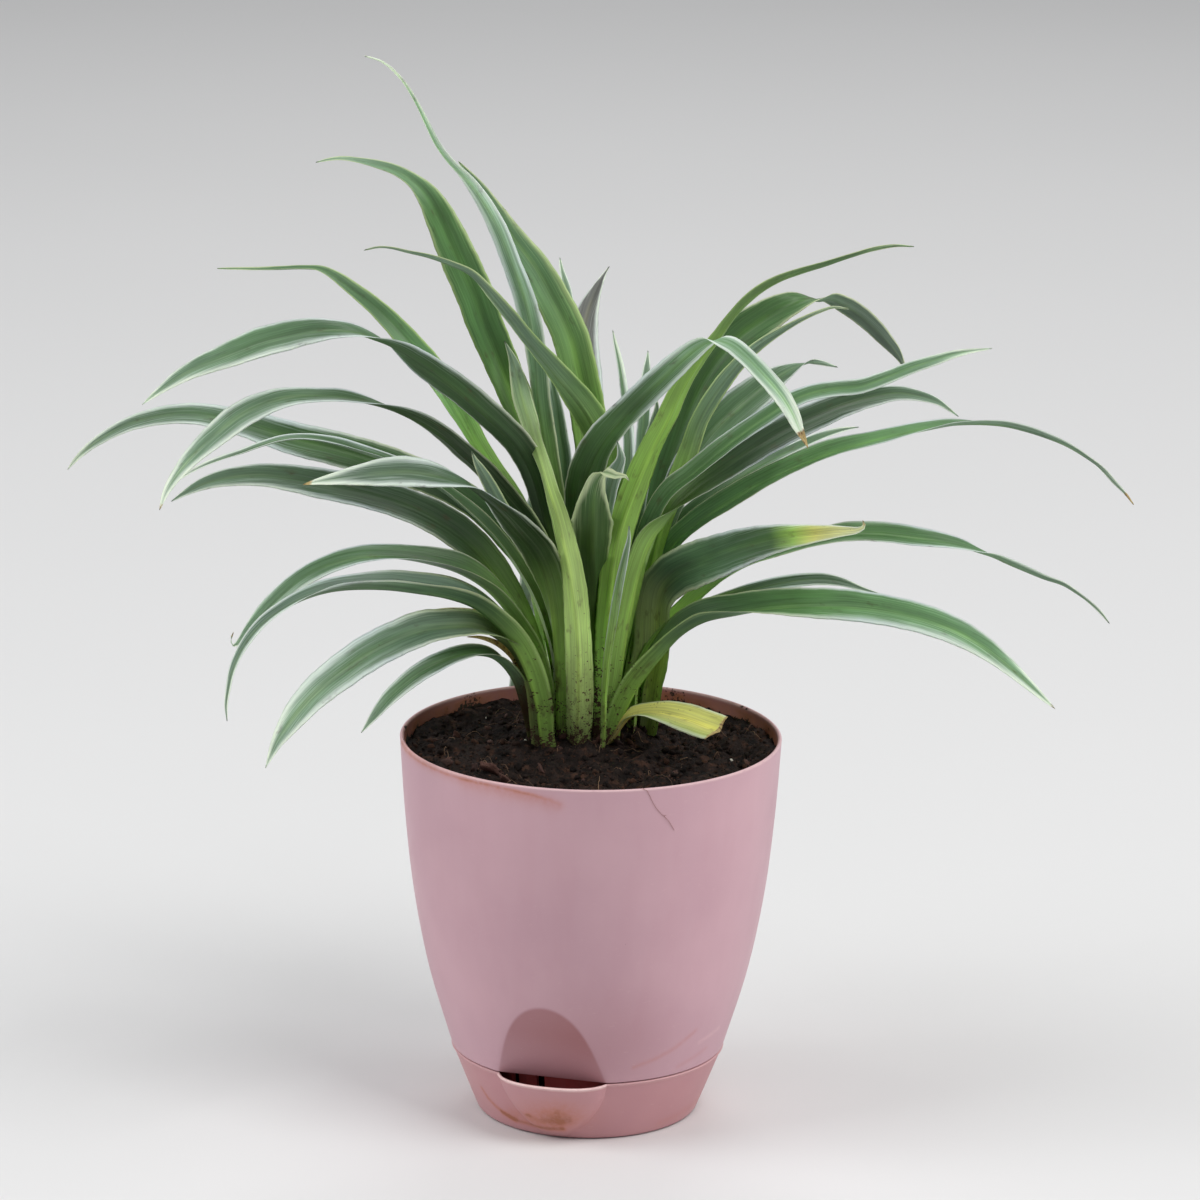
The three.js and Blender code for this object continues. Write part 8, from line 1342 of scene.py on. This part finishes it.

# base: colour near the soil; turn: where it gives way to the blade's colours, in mm;
# up and dn: blade colours of the two faces along the leaf; edge: share of the half
# width that is white, on the two sides; rim: its colour; dirt: specks at the foot;
# dry: (from, to, amount) shares of the length that have dried; gain: how light the
# blade is painted along its length: partly its own paler tips, mostly painted light
# and shade (darker in the crowded middle and under arching leaves, lighter where the
# blade is lit); sheath: (mm, factor) scales the foot's colour along it, as painted
# light and shade on the feet; half: (side, colour) one half of the fold painted
# another green, as painted light and shade on the two sides of the fold;
# foot: (mm, times wider, mm to the side, turn to the front);
# inner: share of the margin's width that is left near the foot
RIM = [(0, "lime"), (0.25, "pale"), (0.42, "cream"), (0.62, "lilac"), (1, "white")]
GREEN_RIM = [(0, "lime"), (0.6, "pale"), (1, "cream")]
PLAIN = dict(base="lime", turn=(28, 80), up=[(0, "mid"), (0.5, "dark"), (0.85, "mid"), (1, "soft")], dn=[(0, "mid"), (0.6, "mid"), (1, "soft")], edge=(0.18, 0.18), rim=RIM, dirt=0.5, dry=None, thick=1.0, wave=0.3, half=None, near=None, gain=[(0, 1.0)], foot=None, inner=0.30, tip=0.0, sheath=[(0, 1.0)])

LOOKS = {
    "P": dict(near=[(0, 1.5), (25, 5), (90, 6), (150, 3)], foot=[(0, 1.3, -0.8, 0.3), (35, 1.15, -0.5, 0.2), (60, 1.0, 0.0, 0.0)], turn=(80, 135), base="glow", up=[(0, "bright"), (0.6, "bright"), (1, "soft")], dn=[(0, "bright"), (0.6, "bright"), (1, "soft")], edge=(0.10, 0.18), rim=[(0, "pale"), (0.5, "pale"), (1, "cream")], dirt=0.55, sheath=[(0, 0.75), (12, 0.78), (24, 0.88), (42, 1.18), (58, 1.1), (80, 0.98), (110, 0.92)]),
    "A1": dict(turn=(50, 120), up=[(0, "bright"), (0.5, "mid"), (1, "soft")], dn=[(0, "bright"), (0.5, "mid"), (1, "soft")], edge=(0.42, 0.46), gain=[(0, 1.0), (0.5, 1.3), (0.75, 1.8), (1, 2.2)], tip=0.5),
    "A2": dict(base="bright", turn=(80, 165), up=[(0, "mid"), (0.4, "mid"), (1, "mid")], dn=[(0, "mid"), (0.4, "dark"), (1, "mid")], edge=(0.10, 0.24), rim=GREEN_RIM, gain=[(0, 1.0), (0.45, 1.2), (0.62, 1.4), (0.8, 1.4), (1, 1.2)]),
    "B": dict(base="bright", turn=(70, 140), up=[(0, "mid"), (0.4, "dark"), (0.8, "dark"), (1, "soft")], dn=[(0, "mid"), (0.4, "dark"), (1, "mid")], edge=(0.12, 0.14), rim=GREEN_RIM, gain=[(0, 1.1), (0.5, 1.4), (0.65, 1.75), (0.85, 1.75), (1, 1.4)]),
    "C": dict(base="bright", turn=(80, 155), up=[(0, "mid"), (0.4, "mid"), (1, "soft")], dn=[(0, "bright"), (0.4, "mid"), (1, "soft")], rim=GREEN_RIM),
    "D": dict(base="bright", turn=(70, 130), up=[(0, "mid"), (0.4, "dark"), (1, "mid")], edge=(0.14, 0.18), rim=GREEN_RIM, gain=[(0, 1.2), (0.42, 2.2), (0.6, 2.1), (0.69, 1.15), (1, 1.1)]),
    "T": dict(turn=(20, 55), up=[(0, "deep"), (0.6, "deep"), (1, "dark")], dn=[(0, "fir"), (0.7, "fir"), (1, "dark")], half=(-1, "moss"), edge=(0.12, 0.18), inner=0.3, tip=0.7, rim=[(0, "lime"), (0.5, "pale"), (1, "cream")], gain=[(0, 1.35), (0.75, 1.35), (0.85, 1.8), (1, 2.2)], dry=(0.985, 1.0, 0.3)),
    "R": dict(turn=(90, 170), base="lime", sheath=[(0, 1.1), (25, 1.4), (45, 1.22), (70, 1.0)], up=[(0, "lime"), (0.5, "bright"), (1, "mid")], dn=[(0, "lime"), (0.5, "bright"), (1, "mid")], edge=(0.10, 0.12), rim=GREEN_RIM, dirt=0.8, gain=[(0, 0.95)]),
    "W": dict(turn=(70, 130), dn=[(0, "bright"), (0.5, "mid"), (1, "soft")], rim=GREEN_RIM),
    "V": dict(edge=(0.08, 0.14), up=[(0, "mid"), (0.5, "dark"), (1, "dark")], gain=[(0, 1.0), (0.6, 1.15), (0.75, 1.3), (0.83, 0.6), (1, 0.55)], rim=[(0, "lime"), (0.6, "cream"), (1, "cream")]),
    "X": dict(edge=(0.12, 0.15)),
    "Y": dict(edge=(0.2, 0.22), tip=0.3, gain=[(0, 1.0), (0.5, 1.3), (1, 1.6)]),
    "Z": dict(turn=(50, 110), dn=[(0, "bright"), (0.3, "mid"), (1, "mid")], edge=(0.12, 0.16), gain=[(0, 1.0), (0.4, 0.8), (0.6, 0.5), (0.78, 0.5), (0.9, 0.9), (1, 1.2)]),
    "AB": dict(edge=(0.2, 0.25)),
    "AA": dict(dry=(0.97, 1.0, 0.8), edge=(0.15, 0.22), gain=[(0, 1.0), (0.35, 1.6), (0.6, 1.8), (0.75, 1.2), (1, 0.9)]),
    "AD": dict(edge=(0.2, 0.26), gain=[(0, 1.0), (0.5, 1.5), (0.7, 1.5), (1, 0.9)]),
    "AE": dict(edge=(0.22, 0.22), gain=[(0, 0.8), (0.5, 0.6), (1, 0.9)]),
    "AF": dict(edge=(0.15, 0.40), tip=0.3, base="bright", turn=(20, 60), gain=[(0, 1.0), (0.3, 0.85), (0.42, 1.3), (0.55, 2.0), (0.8, 1.7), (1, 1.5)], dry=(0.985, 1.0, 0.4)),
    "E": dict(edge=(0.32, 0.12), tip=0.2, up=[(0, "mid"), (0.35, "ink"), (0.6, "dark"), (0.72, "mid"), (0.85, "mid"), (1, "soft")], dn=[(0, "mid"), (0.3, "ink"), (0.6, "dark"), (1, "mid")], gain=[(0, 1.0), (0.6, 0.92), (0.75, 0.95), (0.85, 1.4), (1, 1.3)]),
    "F": dict(dry=(0.985, 1.0, 0.5), edge=(0.30, 0.22), tip=0.45, up=[(0, "mid"), (0.35, "ink"), (0.6, "dark"), (0.72, "mid"), (1, "soft")], dn=[(0, "mid"), (0.3, "ink"), (0.55, "deep"), (1, "mid")], gain=[(0, 1.0), (0.55, 0.88), (0.8, 1.2), (1, 1.4)]),
    "G": dict(tip=0.35, up=[(0, "mid"), (0.4, "dark"), (0.6, "dark"), (0.75, "mid"), (1, "soft")], edge=(0.28, 0.30)),
    "H": dict(edge=(0.34, 0.34), tip=0.3),
    "S3": dict(up=[(0, "grey"), (1, "grey")], dn=[(0, "grey"), (1, "grey")], edge=(0.12, 0.26), base="dull"),
    "S4": dict(edge=(0.15, 0.7)),
    "Q": dict(turn=(30, 90), up=[(0, "mid"), (0.4, "deep"), (0.62, "dark"), (0.8, "mid"), (1, "soft")], dn=[(0, "mid"), (0.4, "deep"), (0.62, "dark"), (0.8, "mid"), (1, "soft")], edge=(0.32, 0.32), inner=0.12, tip=0.6, gain=[(0, 1.0), (0.45, 1.3), (0.55, 1.4), (0.62, 1.15), (0.75, 1.7), (1, 1.9)], dry=(0.965, 1.0, 0.8)),
    "AC": dict(base="husk", turn=(38, 60), inner=0.8, sheath=[(0, 0.9), (30, 1.0), (60, 0.8)], foot=[(0, 1.5, 3.2, 0.8), (30, 1.35, 4.2, 0.7), (52, 1.0, 2.0, 0.3), (80, 1.0, 0.0, 0.0)], edge=(0.12, 0.15), up=[(0, "sage"), (0.6, "sage"), (0.74, "dark"), (0.80, "lime"), (0.86, "yellow"), (1, "cream")], dn=[(0, "dark"), (0.7, "mid"), (0.82, "yellow"), (1, "straw")], gain=[(0, 0.8), (0.38, 0.8), (0.5, 1.5), (0.6, 1.3), (0.7, 0.95), (0.8, 1.0)], dry=(0.975, 1.0, 0.5), dirt=0.25),
    "I": dict(tip=0.4, edge=(0.30, 0.24), up=[(0, "mid"), (0.5, "dark"), (0.7, "mid"), (1, "soft")], dn=[(0, "mid"), (0.4, "deep"), (0.6, "deep"), (1, "mid")], gain=[(0, 1.0), (0.4, 0.68), (0.6, 0.65), (0.75, 0.75), (0.9, 0.85), (1, 1.2)], dry=(0.975, 1.0, 0.75)),
    "J": dict(edge=(0.26, 0.13), up=[(0, "mid"), (0.4, "dark"), (0.75, "mid"), (1, "soft")], gain=[(0, 1.0), (0.4, 0.66), (0.65, 0.58), (0.85, 0.95), (1, 1.2)]),
    "K": dict(dry=(0.985, 1.0, 0.7), up=[(0, "mid"), (0.5, "dark"), (0.75, "mid"), (1, "soft")], edge=(0.34, 0.13), gain=[(0, 1.0), (0.5, 0.95), (0.8, 1.35), (1, 1.3)]),
    "L": dict(base="bright", turn=(30, 70), up=[(0, "mid"), (0.4, "slate"), (1, "slate")], edge=(0.42, 0.22)),
    "M": dict(base="dull", edge=(0.28, 0.38), tip=0.2, inner=0.4, up=[(0, "mid"), (0.4, "slate"), (0.7, "mid"), (1, "soft")], gain=[(0, 1.0), (0.5, 0.95), (1, 1.4)]),
    "N": dict(base="bark", turn=(12, 40), edge=(0.26, 0.2), inner=0.5, gain=[(0, 1.1)]),
    "O": dict(rim=GREEN_RIM),
    "DR": dict(base="brown", turn=(5, 30), up=[(0, "brown"), (1, "straw")], dn=[(0, "brown"), (1, "straw")], edge=(0.05, 0.05), rim=[(0, "straw"), (1, "straw")], dirt=0.9, dry=(0.0, 1.0, 0.6)),
    "TB": dict(base="bark", turn=(5, 30), up=[(0, "brown"), (0.5, "straw"), (1, "straw")], dn=[(0, "brown"), (1, "straw")], rim=[(0, "straw"), (1, "cream")], dry=(0.0, 1.0, 0.4)),
    "YC": dict(base="straw", turn=(4, 14), up=[(0, "straw"), (0.3, "yellow"), (1, "yellow")], dn=[(0, "straw"), (1, "yellow")], edge=(0.10, 0.16), rim=[(0, "straw"), (0.4, "cream"), (1, "cream")], dirt=0.35, dry=(0.95, 1.0, 0.3), thick=0.8, wave=0.15, inner=1.0),
}


def along_colour(stops, t):
    k = [s[0] for s in stops]
    c = np.array([srgb(*PALETTE[s[1]]) for s in stops])
    return np.stack([np.interp(t, k, c[:, j]) for j in range(3)], -1)


def hermite(S, V, q):
    h = np.diff(S)
    d = np.diff(V, axis=0) / h[:, None]
    m = np.empty_like(V)
    m[0], m[-1] = d[0], d[-1]
    m[1:-1] = (d[:-1] * h[1:, None] + d[1:] * h[:-1, None]) / (h[:-1] + h[1:])[:, None]
    i = np.clip(np.searchsorted(S, q, side="right") - 1, 0, len(S) - 2)
    u = np.clip((q - S[i]) / h[i], 0, 1)[:, None]
    hh = h[i][:, None]
    return V[i] * (2 * u**3 - 3 * u**2 + 1) + m[i] * hh * (u**3 - 2 * u**2 + u) + V[i + 1] * (3 * u**2 - 2 * u**3) + m[i + 1] * hh * (u**3 - u**2)


def settle(values, q, sigma):
    """Gaussian smoothing along the leaf that keeps the ends."""
    step = q[1] - q[0]
    k = int(3 * sigma / step) + 1
    w = np.exp(-0.5 * ((np.arange(-k, k + 1) * step) / sigma) ** 2)
    w /= w.sum()
    v = np.atleast_2d(values.T).T
    first, last = v[:1], v[-1:]
    pad = np.concatenate([2 * first - v[k:0:-1], v, 2 * last - v[-2 : -k - 2 : -1]])
    out = np.stack([np.convolve(pad[:, j], w, "valid") for j in range(v.shape[1])], -1)
    return out[:, 0] if values.ndim == 1 else out


NA = 15  # points across each face


def leaf_piece(index, key, node, fold, blunt, rows):
    look = {**PLAIN, **LOOKS.get(key, {})}
    rng = np.random.default_rng(900 + index)
    R = np.array(rows, float)
    d = R[0, :3] - R[1, :3]
    d /= np.linalg.norm(d)
    foot = R[0].copy()
    foot[:3] += d * 6.0
    R = np.concatenate([foot[None], R])
    P, A, W = R[:, :3], R[:, 3:6], R[:, 6]
    S = np.r_[0, np.cumsum(np.linalg.norm(np.diff(P, axis=0), axis=1))]
    n = max(24, int(S[-1] / 1.5))
    q = np.linspace(0, S[-1], n + 1)
    pos = hermite(S, P, q)
    tan = np.gradient(pos, axis=0)
    tan /= np.linalg.norm(tan, axis=1)[:, None]
    acr = settle(hermite(S, A, q), q, 4.0)
    acr -= (acr * tan).sum(1)[:, None] * tan
    acr /= np.linalg.norm(acr, axis=1)[:, None]
    up = np.cross(acr, tan)
    if look["near"]:
        # moved towards the front along the line of sight, which keeps the outline
        k = np.interp(q - 6, [v[0] for v in look["near"]], [v[1] for v in look["near"]])
        pos = pos + settle(k, q, 8.0)[:, None] * np.array([0.0, -0.964, 0.265])
    width = settle(np.interp(q, S, W), q, 3.0)
    if look["foot"]:
        # the sheath at the foot is fuller than the blade and faces the front
        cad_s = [v[0] for v in look["foot"]]
        wide, aside, face_k = (settle(np.interp(q - 6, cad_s, [v[j] for v in look["foot"]]), q, 6.0) for j in (1, 2, 3))
        width = width * wide
        pos = pos + aside[:, None] * np.array([1.0, 0.0, 0.0])
        sgn = np.sign(acr[:, 0] + 1e-9)[:, None]
        acr = acr * (1 - face_k[:, None]) + sgn * np.array([0.93, -0.36, 0.0]) * face_k[:, None]
        acr -= (acr * tan).sum(1)[:, None] * tan
        acr /= np.linalg.norm(acr, axis=1)[:, None]
        up = np.cross(acr, tan)
    L = q[-1]
    t = q / L
    s = np.maximum(q - 6.0, 0)
    if not blunt:
        width = np.minimum(width, 0.35 + (L - q) * 0.42)
    width = np.maximum(width, 0.32)
    half = width / 2
    fa = np.radians(np.interp(np.clip(s / (L - 6.0), 0, 1), [f[0] for f in fold], [f[1] for f in fold]))
    depth = settle(half * np.tan(fa), q, 4.0)
    a = np.linspace(-1, 1, NA)
    a = np.sign(a) * np.abs(a) ** 0.92
    e = 0.10
    g = (np.sqrt(a * a + e * e) - e) / (math.sqrt(1 + e * e) - e)
    blade = 0.20 + 0.30 * np.exp(-s / 40.0)
    keel = (0.50 * (1 - 0.6 * t)) * look["thick"]
    taper = np.minimum(1, (half / 2.2)) ** 0.7
    thick = (0.09 + (blade[:, None] - 0.09) * (1 - np.abs(a[None]) ** 3) + keel[:, None] * np.exp(-((a[None] / 0.13) ** 2))) * taper[:, None]
    ph = rng.random(8) * 2 * math.pi
    wave = look["wave"] * smooth(s, 20, 60) * np.minimum(1, half / 4)
    lam1, lam2 = 38 + 22 * rng.random(), 21 + 9 * rng.random()
    side = np.where(a < 0, 0, 1)
    rip = np.stack([np.sin(2 * math.pi * q / lam1 + ph[0]) + 0.5 * np.sin(2 * math.pi * q / lam2 + ph[1]), np.sin(2 * math.pi * q / lam1 + ph[2]) + 0.5 * np.sin(2 * math.pi * q / lam2 + ph[3])], -1)
    lift = wave[:, None] * rip[:, side] * np.abs(a[None]) ** 2.5
    # blades arch slightly between keel and margin, and carry a few shallow pleats
    arch = 0.045 * width[:, None] * np.sin(math.pi * np.abs(a[None])) * smooth(s, 5, 50)[:, None]
    pleat = 0.05 * np.cos(a[None] * half[:, None] * 2 * math.pi / 1.9 + ph[4]) * (1 - a[None] ** 4) * np.minimum(1, half / 3)[:, None]
    y_top = -depth[:, None] * (1 - g[None]) + lift + arch + pleat
    nick = 1 + 0.012 * np.sin(2 * math.pi * q / 9.3 + ph[5]) + 0.008 * np.sin(2 * math.pi * q / 4.1 + ph[6])
    x = a[None] * (half * nick)[:, None]
    top = pos[:, None] + acr[:, None] * x[..., None] + up[:, None] * y_top[..., None]
    bot = pos[:, None] + acr[:, None] * x[..., None] + up[:, None] * (y_top - thick)[..., None]
    V = np.concatenate([top, bot[:, -2:0:-1]], 1)
    m = V.shape[1]
    aa = np.concatenate([a, a[-2:0:-1]])
    face = np.concatenate([np.ones(NA), np.zeros(NA - 2)])
    face[0] = face[NA - 1] = 0.5
    if blunt:
        cut = 1.1 * (fbm(xyz(aa * 2.2, 3.0), 5, 2) - 0.5)
        V[-1] += tan[-1] * (cut[:, None] - 0.35 * np.abs(aa[:, None]) ** 2) * 1.6
    # colours
    tt = np.clip(s / (L - 6.0), 0, 1)
    upc, dnc = along_colour(look["up"], tt), along_colour(look["dn"], tt)
    basec = np.array(srgb(*PALETTE[look["base"]]))[None]
    k = smooth(s + 7 * (vnoise(xyz(s / 16, index * 3.1)) - 0.5), *look["turn"])[:, None]
    # sheath: painted light and shade on the foot
    basec = basec * np.interp(s, [v[0] for v in look["sheath"]], [v[1] for v in look["sheath"]])[:, None]
    # the lowest 14 mm of each blade are mixed towards a duller olive
    foot_dull_k = smooth(s, 14, 2)[:, None] * 0.55
    dull = np.array(srgb(*PALETTE["dull"]))[None]
    body = []
    for c in (upc, dnc):
        c = basec * (1 - k) + c * k
        # gain paints light and shade along the blade
        c = c * (1 - k + k * np.interp(tt, [v[0] for v in look["gain"]], [v[1] for v in look["gain"]])[:, None])
        body.append(c * (1 - foot_dull_k) + dull * foot_dull_k)
    col = body[0][:, None] * face[None, :, None] + body[1][:, None] * (1 - face)[None, :, None]
    # half: painted light and shade on the two sides of the fold
    if look["half"]:
        sign, other = look["half"]
        w = smooth(aa * sign, -0.05, 0.25)[None, :, None] * 0.85
        col = col * (1 - w) + np.array(srgb(*PALETTE[other])) * w
    rim = along_colour(look["rim"], tt)
    rim = rim * (1 - foot_dull_k) + dull * foot_dull_k
    rim = np.broadcast_to(rim[:, None], col.shape)
    one = np.ones(col.shape[:2] + (1,))
    el, er = look["edge"]
    ew = np.where(aa < 0, el, er)[None] * (0.8 + 0.5 * (fbm(xyz(q / 23.0, index * 1.7, 0.5), 91, 3)))[:, None]
    ew = ew * (look["inner"] + (1 - look["inner"]) * smooth(tt, 0.42, 0.84))[:, None] + 0.22 * smooth(half, 1.5, 0.5)[:, None]
    ew = ew + look["tip"] * smooth(L - q, 26, 2)[:, None]
    dirt = np.broadcast_to((look["dirt"] * (smooth(s, 62, 0) * 0.75 + 0.5 * smooth(s, 12, 0)))[:, None], ew.shape)
    dry = np.zeros_like(ew)
    if look["dry"]:
        d0, d1, amount = look["dry"]
        dry = np.broadcast_to((amount * smooth(tt, d0, min(d0 + 0.6 * (d1 - d0) + 1e-3, 1.0)))[:, None], ew.shape).copy()
    if key == "YC":
        dry = dry + 0.5 * smooth(q, L - 1.3, L - 0.2)[:, None]
        green = smooth(aa, 0.2, 1.0)[None, :, None] * smooth(tt, 0.2, 0.4)[:, None, None] * 0.75
        col = col * (1 - green) + np.array(srgb(120, 156, 66)) * green
    uv = np.stack([np.broadcast_to(aa[None], ew.shape), np.broadcast_to(q[:, None], ew.shape), np.broadcast_to(half[:, None], ew.shape)], -1)
    faces = ring_faces(n + 1, m)
    faces = [tuple(reversed(f)) for f in faces]
    verts = V.reshape(-1, 3)
    tip = len(verts)
    centre = V[-1].mean(0) + tan[-1] * (0.5 if not blunt else -0.2)
    root = V[0].mean(0)
    verts = np.concatenate([verts, [centre], [root]])
    o = n * m
    for j in range(m):
        faces.append((o + j, tip, o + (j + 1) % m))
        faces.append((j, (j + 1) % m, tip + 1))
    faces[len(faces) - 2 * m :] = [tuple(reversed(f)) for f in faces[len(faces) - 2 * m :]]

    def ends(v):
        v = np.asarray(v).reshape(n + 1, m, -1)
        return np.concatenate([v.reshape((n + 1) * m, -1), v[-1].mean(0, keepdims=True), v[0].mean(0, keepdims=True)])

    attrs = {
        "leaf_uv": ends(uv),
        "leaf_wear": ends(np.stack([ew, dirt, dry], -1)),
        "leaf_col": ends(np.concatenate([col, one], -1)),
        "leaf_rim": ends(np.concatenate([rim, one], -1)),
        "leaf_seed": np.full(len(verts), (index * 0.618) % 1.0),
    }
    return mesh_piece("blade_" + node[5:], verts, faces, MAT_LEAF, [node], attrs)


for index, (key, node, fold, blunt, rows) in enumerate(LEAVES):
    leaf_piece(index, key, node, fold, blunt, rows)

# ---------------------------------------------------------------- stage, light, camera


def floor():
    me = bpy.data.meshes.new("floor")
    rs, n = [0.0, 0.2, 0.6, 1.5, 4.0, 9.0], 96
    V = [(0, 0, 0)]
    for r in rs[1:]:
        V += [(r * math.cos(2 * math.pi * k / n), r * math.sin(2 * math.pi * k / n), 0) for k in range(n)]
    F = [(0, 1 + k, 1 + (k + 1) % n) for k in range(n)]
    for i in range(len(rs) - 2):
        a, b = 1 + i * n, 1 + (i + 1) * n
        F += [(a + k, b + k, b + (k + 1) % n, a + (k + 1) % n) for k in range(n)]
    me.from_pydata(V, [], F)
    ob = bpy.data.objects.new("floor", me)
    ob.location.z = -0.00005
    me.materials.append(MAT_FLOOR)
    bpy.context.scene.collection.objects.link(ob)


def softbox(name, place, target, size, watts, colour=(1, 1, 1)):
    data = bpy.data.lights.new(name, "AREA")
    data.shape = "RECTANGLE"
    data.size, data.size_y = size
    data.energy = watts
    data.color = colour
    ob = bpy.data.objects.new(name, data)
    bpy.context.scene.collection.objects.link(ob)
    ob.location = place
    ob.rotation_euler = (Vector(target) - Vector(place)).to_track_quat("-Z", "Y").to_euler()
    return ob


floor()


def beam(name, azimuth, elevation, distance, share, size, colour=(1, 1, 1)):
    """Softbox at an azimuth (0 in front, positive to the right); share is the light a white surface facing it sends back."""
    a, e = math.radians(azimuth), math.radians(elevation)
    place = (distance * math.cos(e) * math.sin(a), -distance * math.cos(e) * math.cos(a), 0.15 + distance * math.sin(e))
    softbox(name, place, (0, 0, 0.15), (size, size), share * math.pi**2 * distance**2, colour)


beam("key_light", 48, 56, 2.3, 0.52, 1.1, (1.0, 0.99, 0.975))
beam("left_light", -72, 48, 2.3, 0.34, 1.2, (0.98, 0.99, 1.0))
beam("right_side", 88, 18, 2.1, 0.26, 1.0)
beam("left_side", -92, 18, 2.1, 0.20, 1.0)
beam("back_light", 172, 46, 2.3, 0.22, 1.2)
world = bpy.data.worlds.new("studio")
world.use_nodes = True
bg = world.node_tree.nodes["Background"]
bg.inputs["Color"].default_value = (0.97, 0.98, 1.0, 1.0)
bg.inputs["Strength"].default_value = 0.26
bpy.context.scene.world = world
bpy.context.scene.view_settings.view_transform = "Standard"
bpy.context.scene.view_settings.look = "None"

# the camera matches the rim, seam and foot of the pot in the photograph
elevation, roll, distance = math.radians(15.3474), math.radians(0.6637), 1.955
forward = Vector((0, math.cos(elevation), -math.sin(elevation)))
right = Vector((1, 0, 0))
upward = right.cross(forward)
cam_right = right * math.cos(roll) + upward * math.sin(roll)
cam_up = upward * math.cos(roll) - right * math.sin(roll)
cam_data = bpy.data.cameras.new("camera")
cam_data.sensor_width = 36.0
cam_data.sensor_fit = "HORIZONTAL"
cam_data.lens = 187.8
cam_data.clip_start, cam_data.clip_end = 0.05, 60.0
cam = bpy.data.objects.new("camera", cam_data)
bpy.context.scene.collection.objects.link(cam)
place = Vector((0.002365, 0, 0.166071)) - forward * distance
cam.matrix_world = Matrix(((cam_right.x, cam_up.x, -forward.x, place.x), (cam_right.y, cam_up.y, -forward.y, place.y), (cam_right.z, cam_up.z, -forward.z, place.z), (0, 0, 0, 1)))
bpy.context.scene.camera = cam
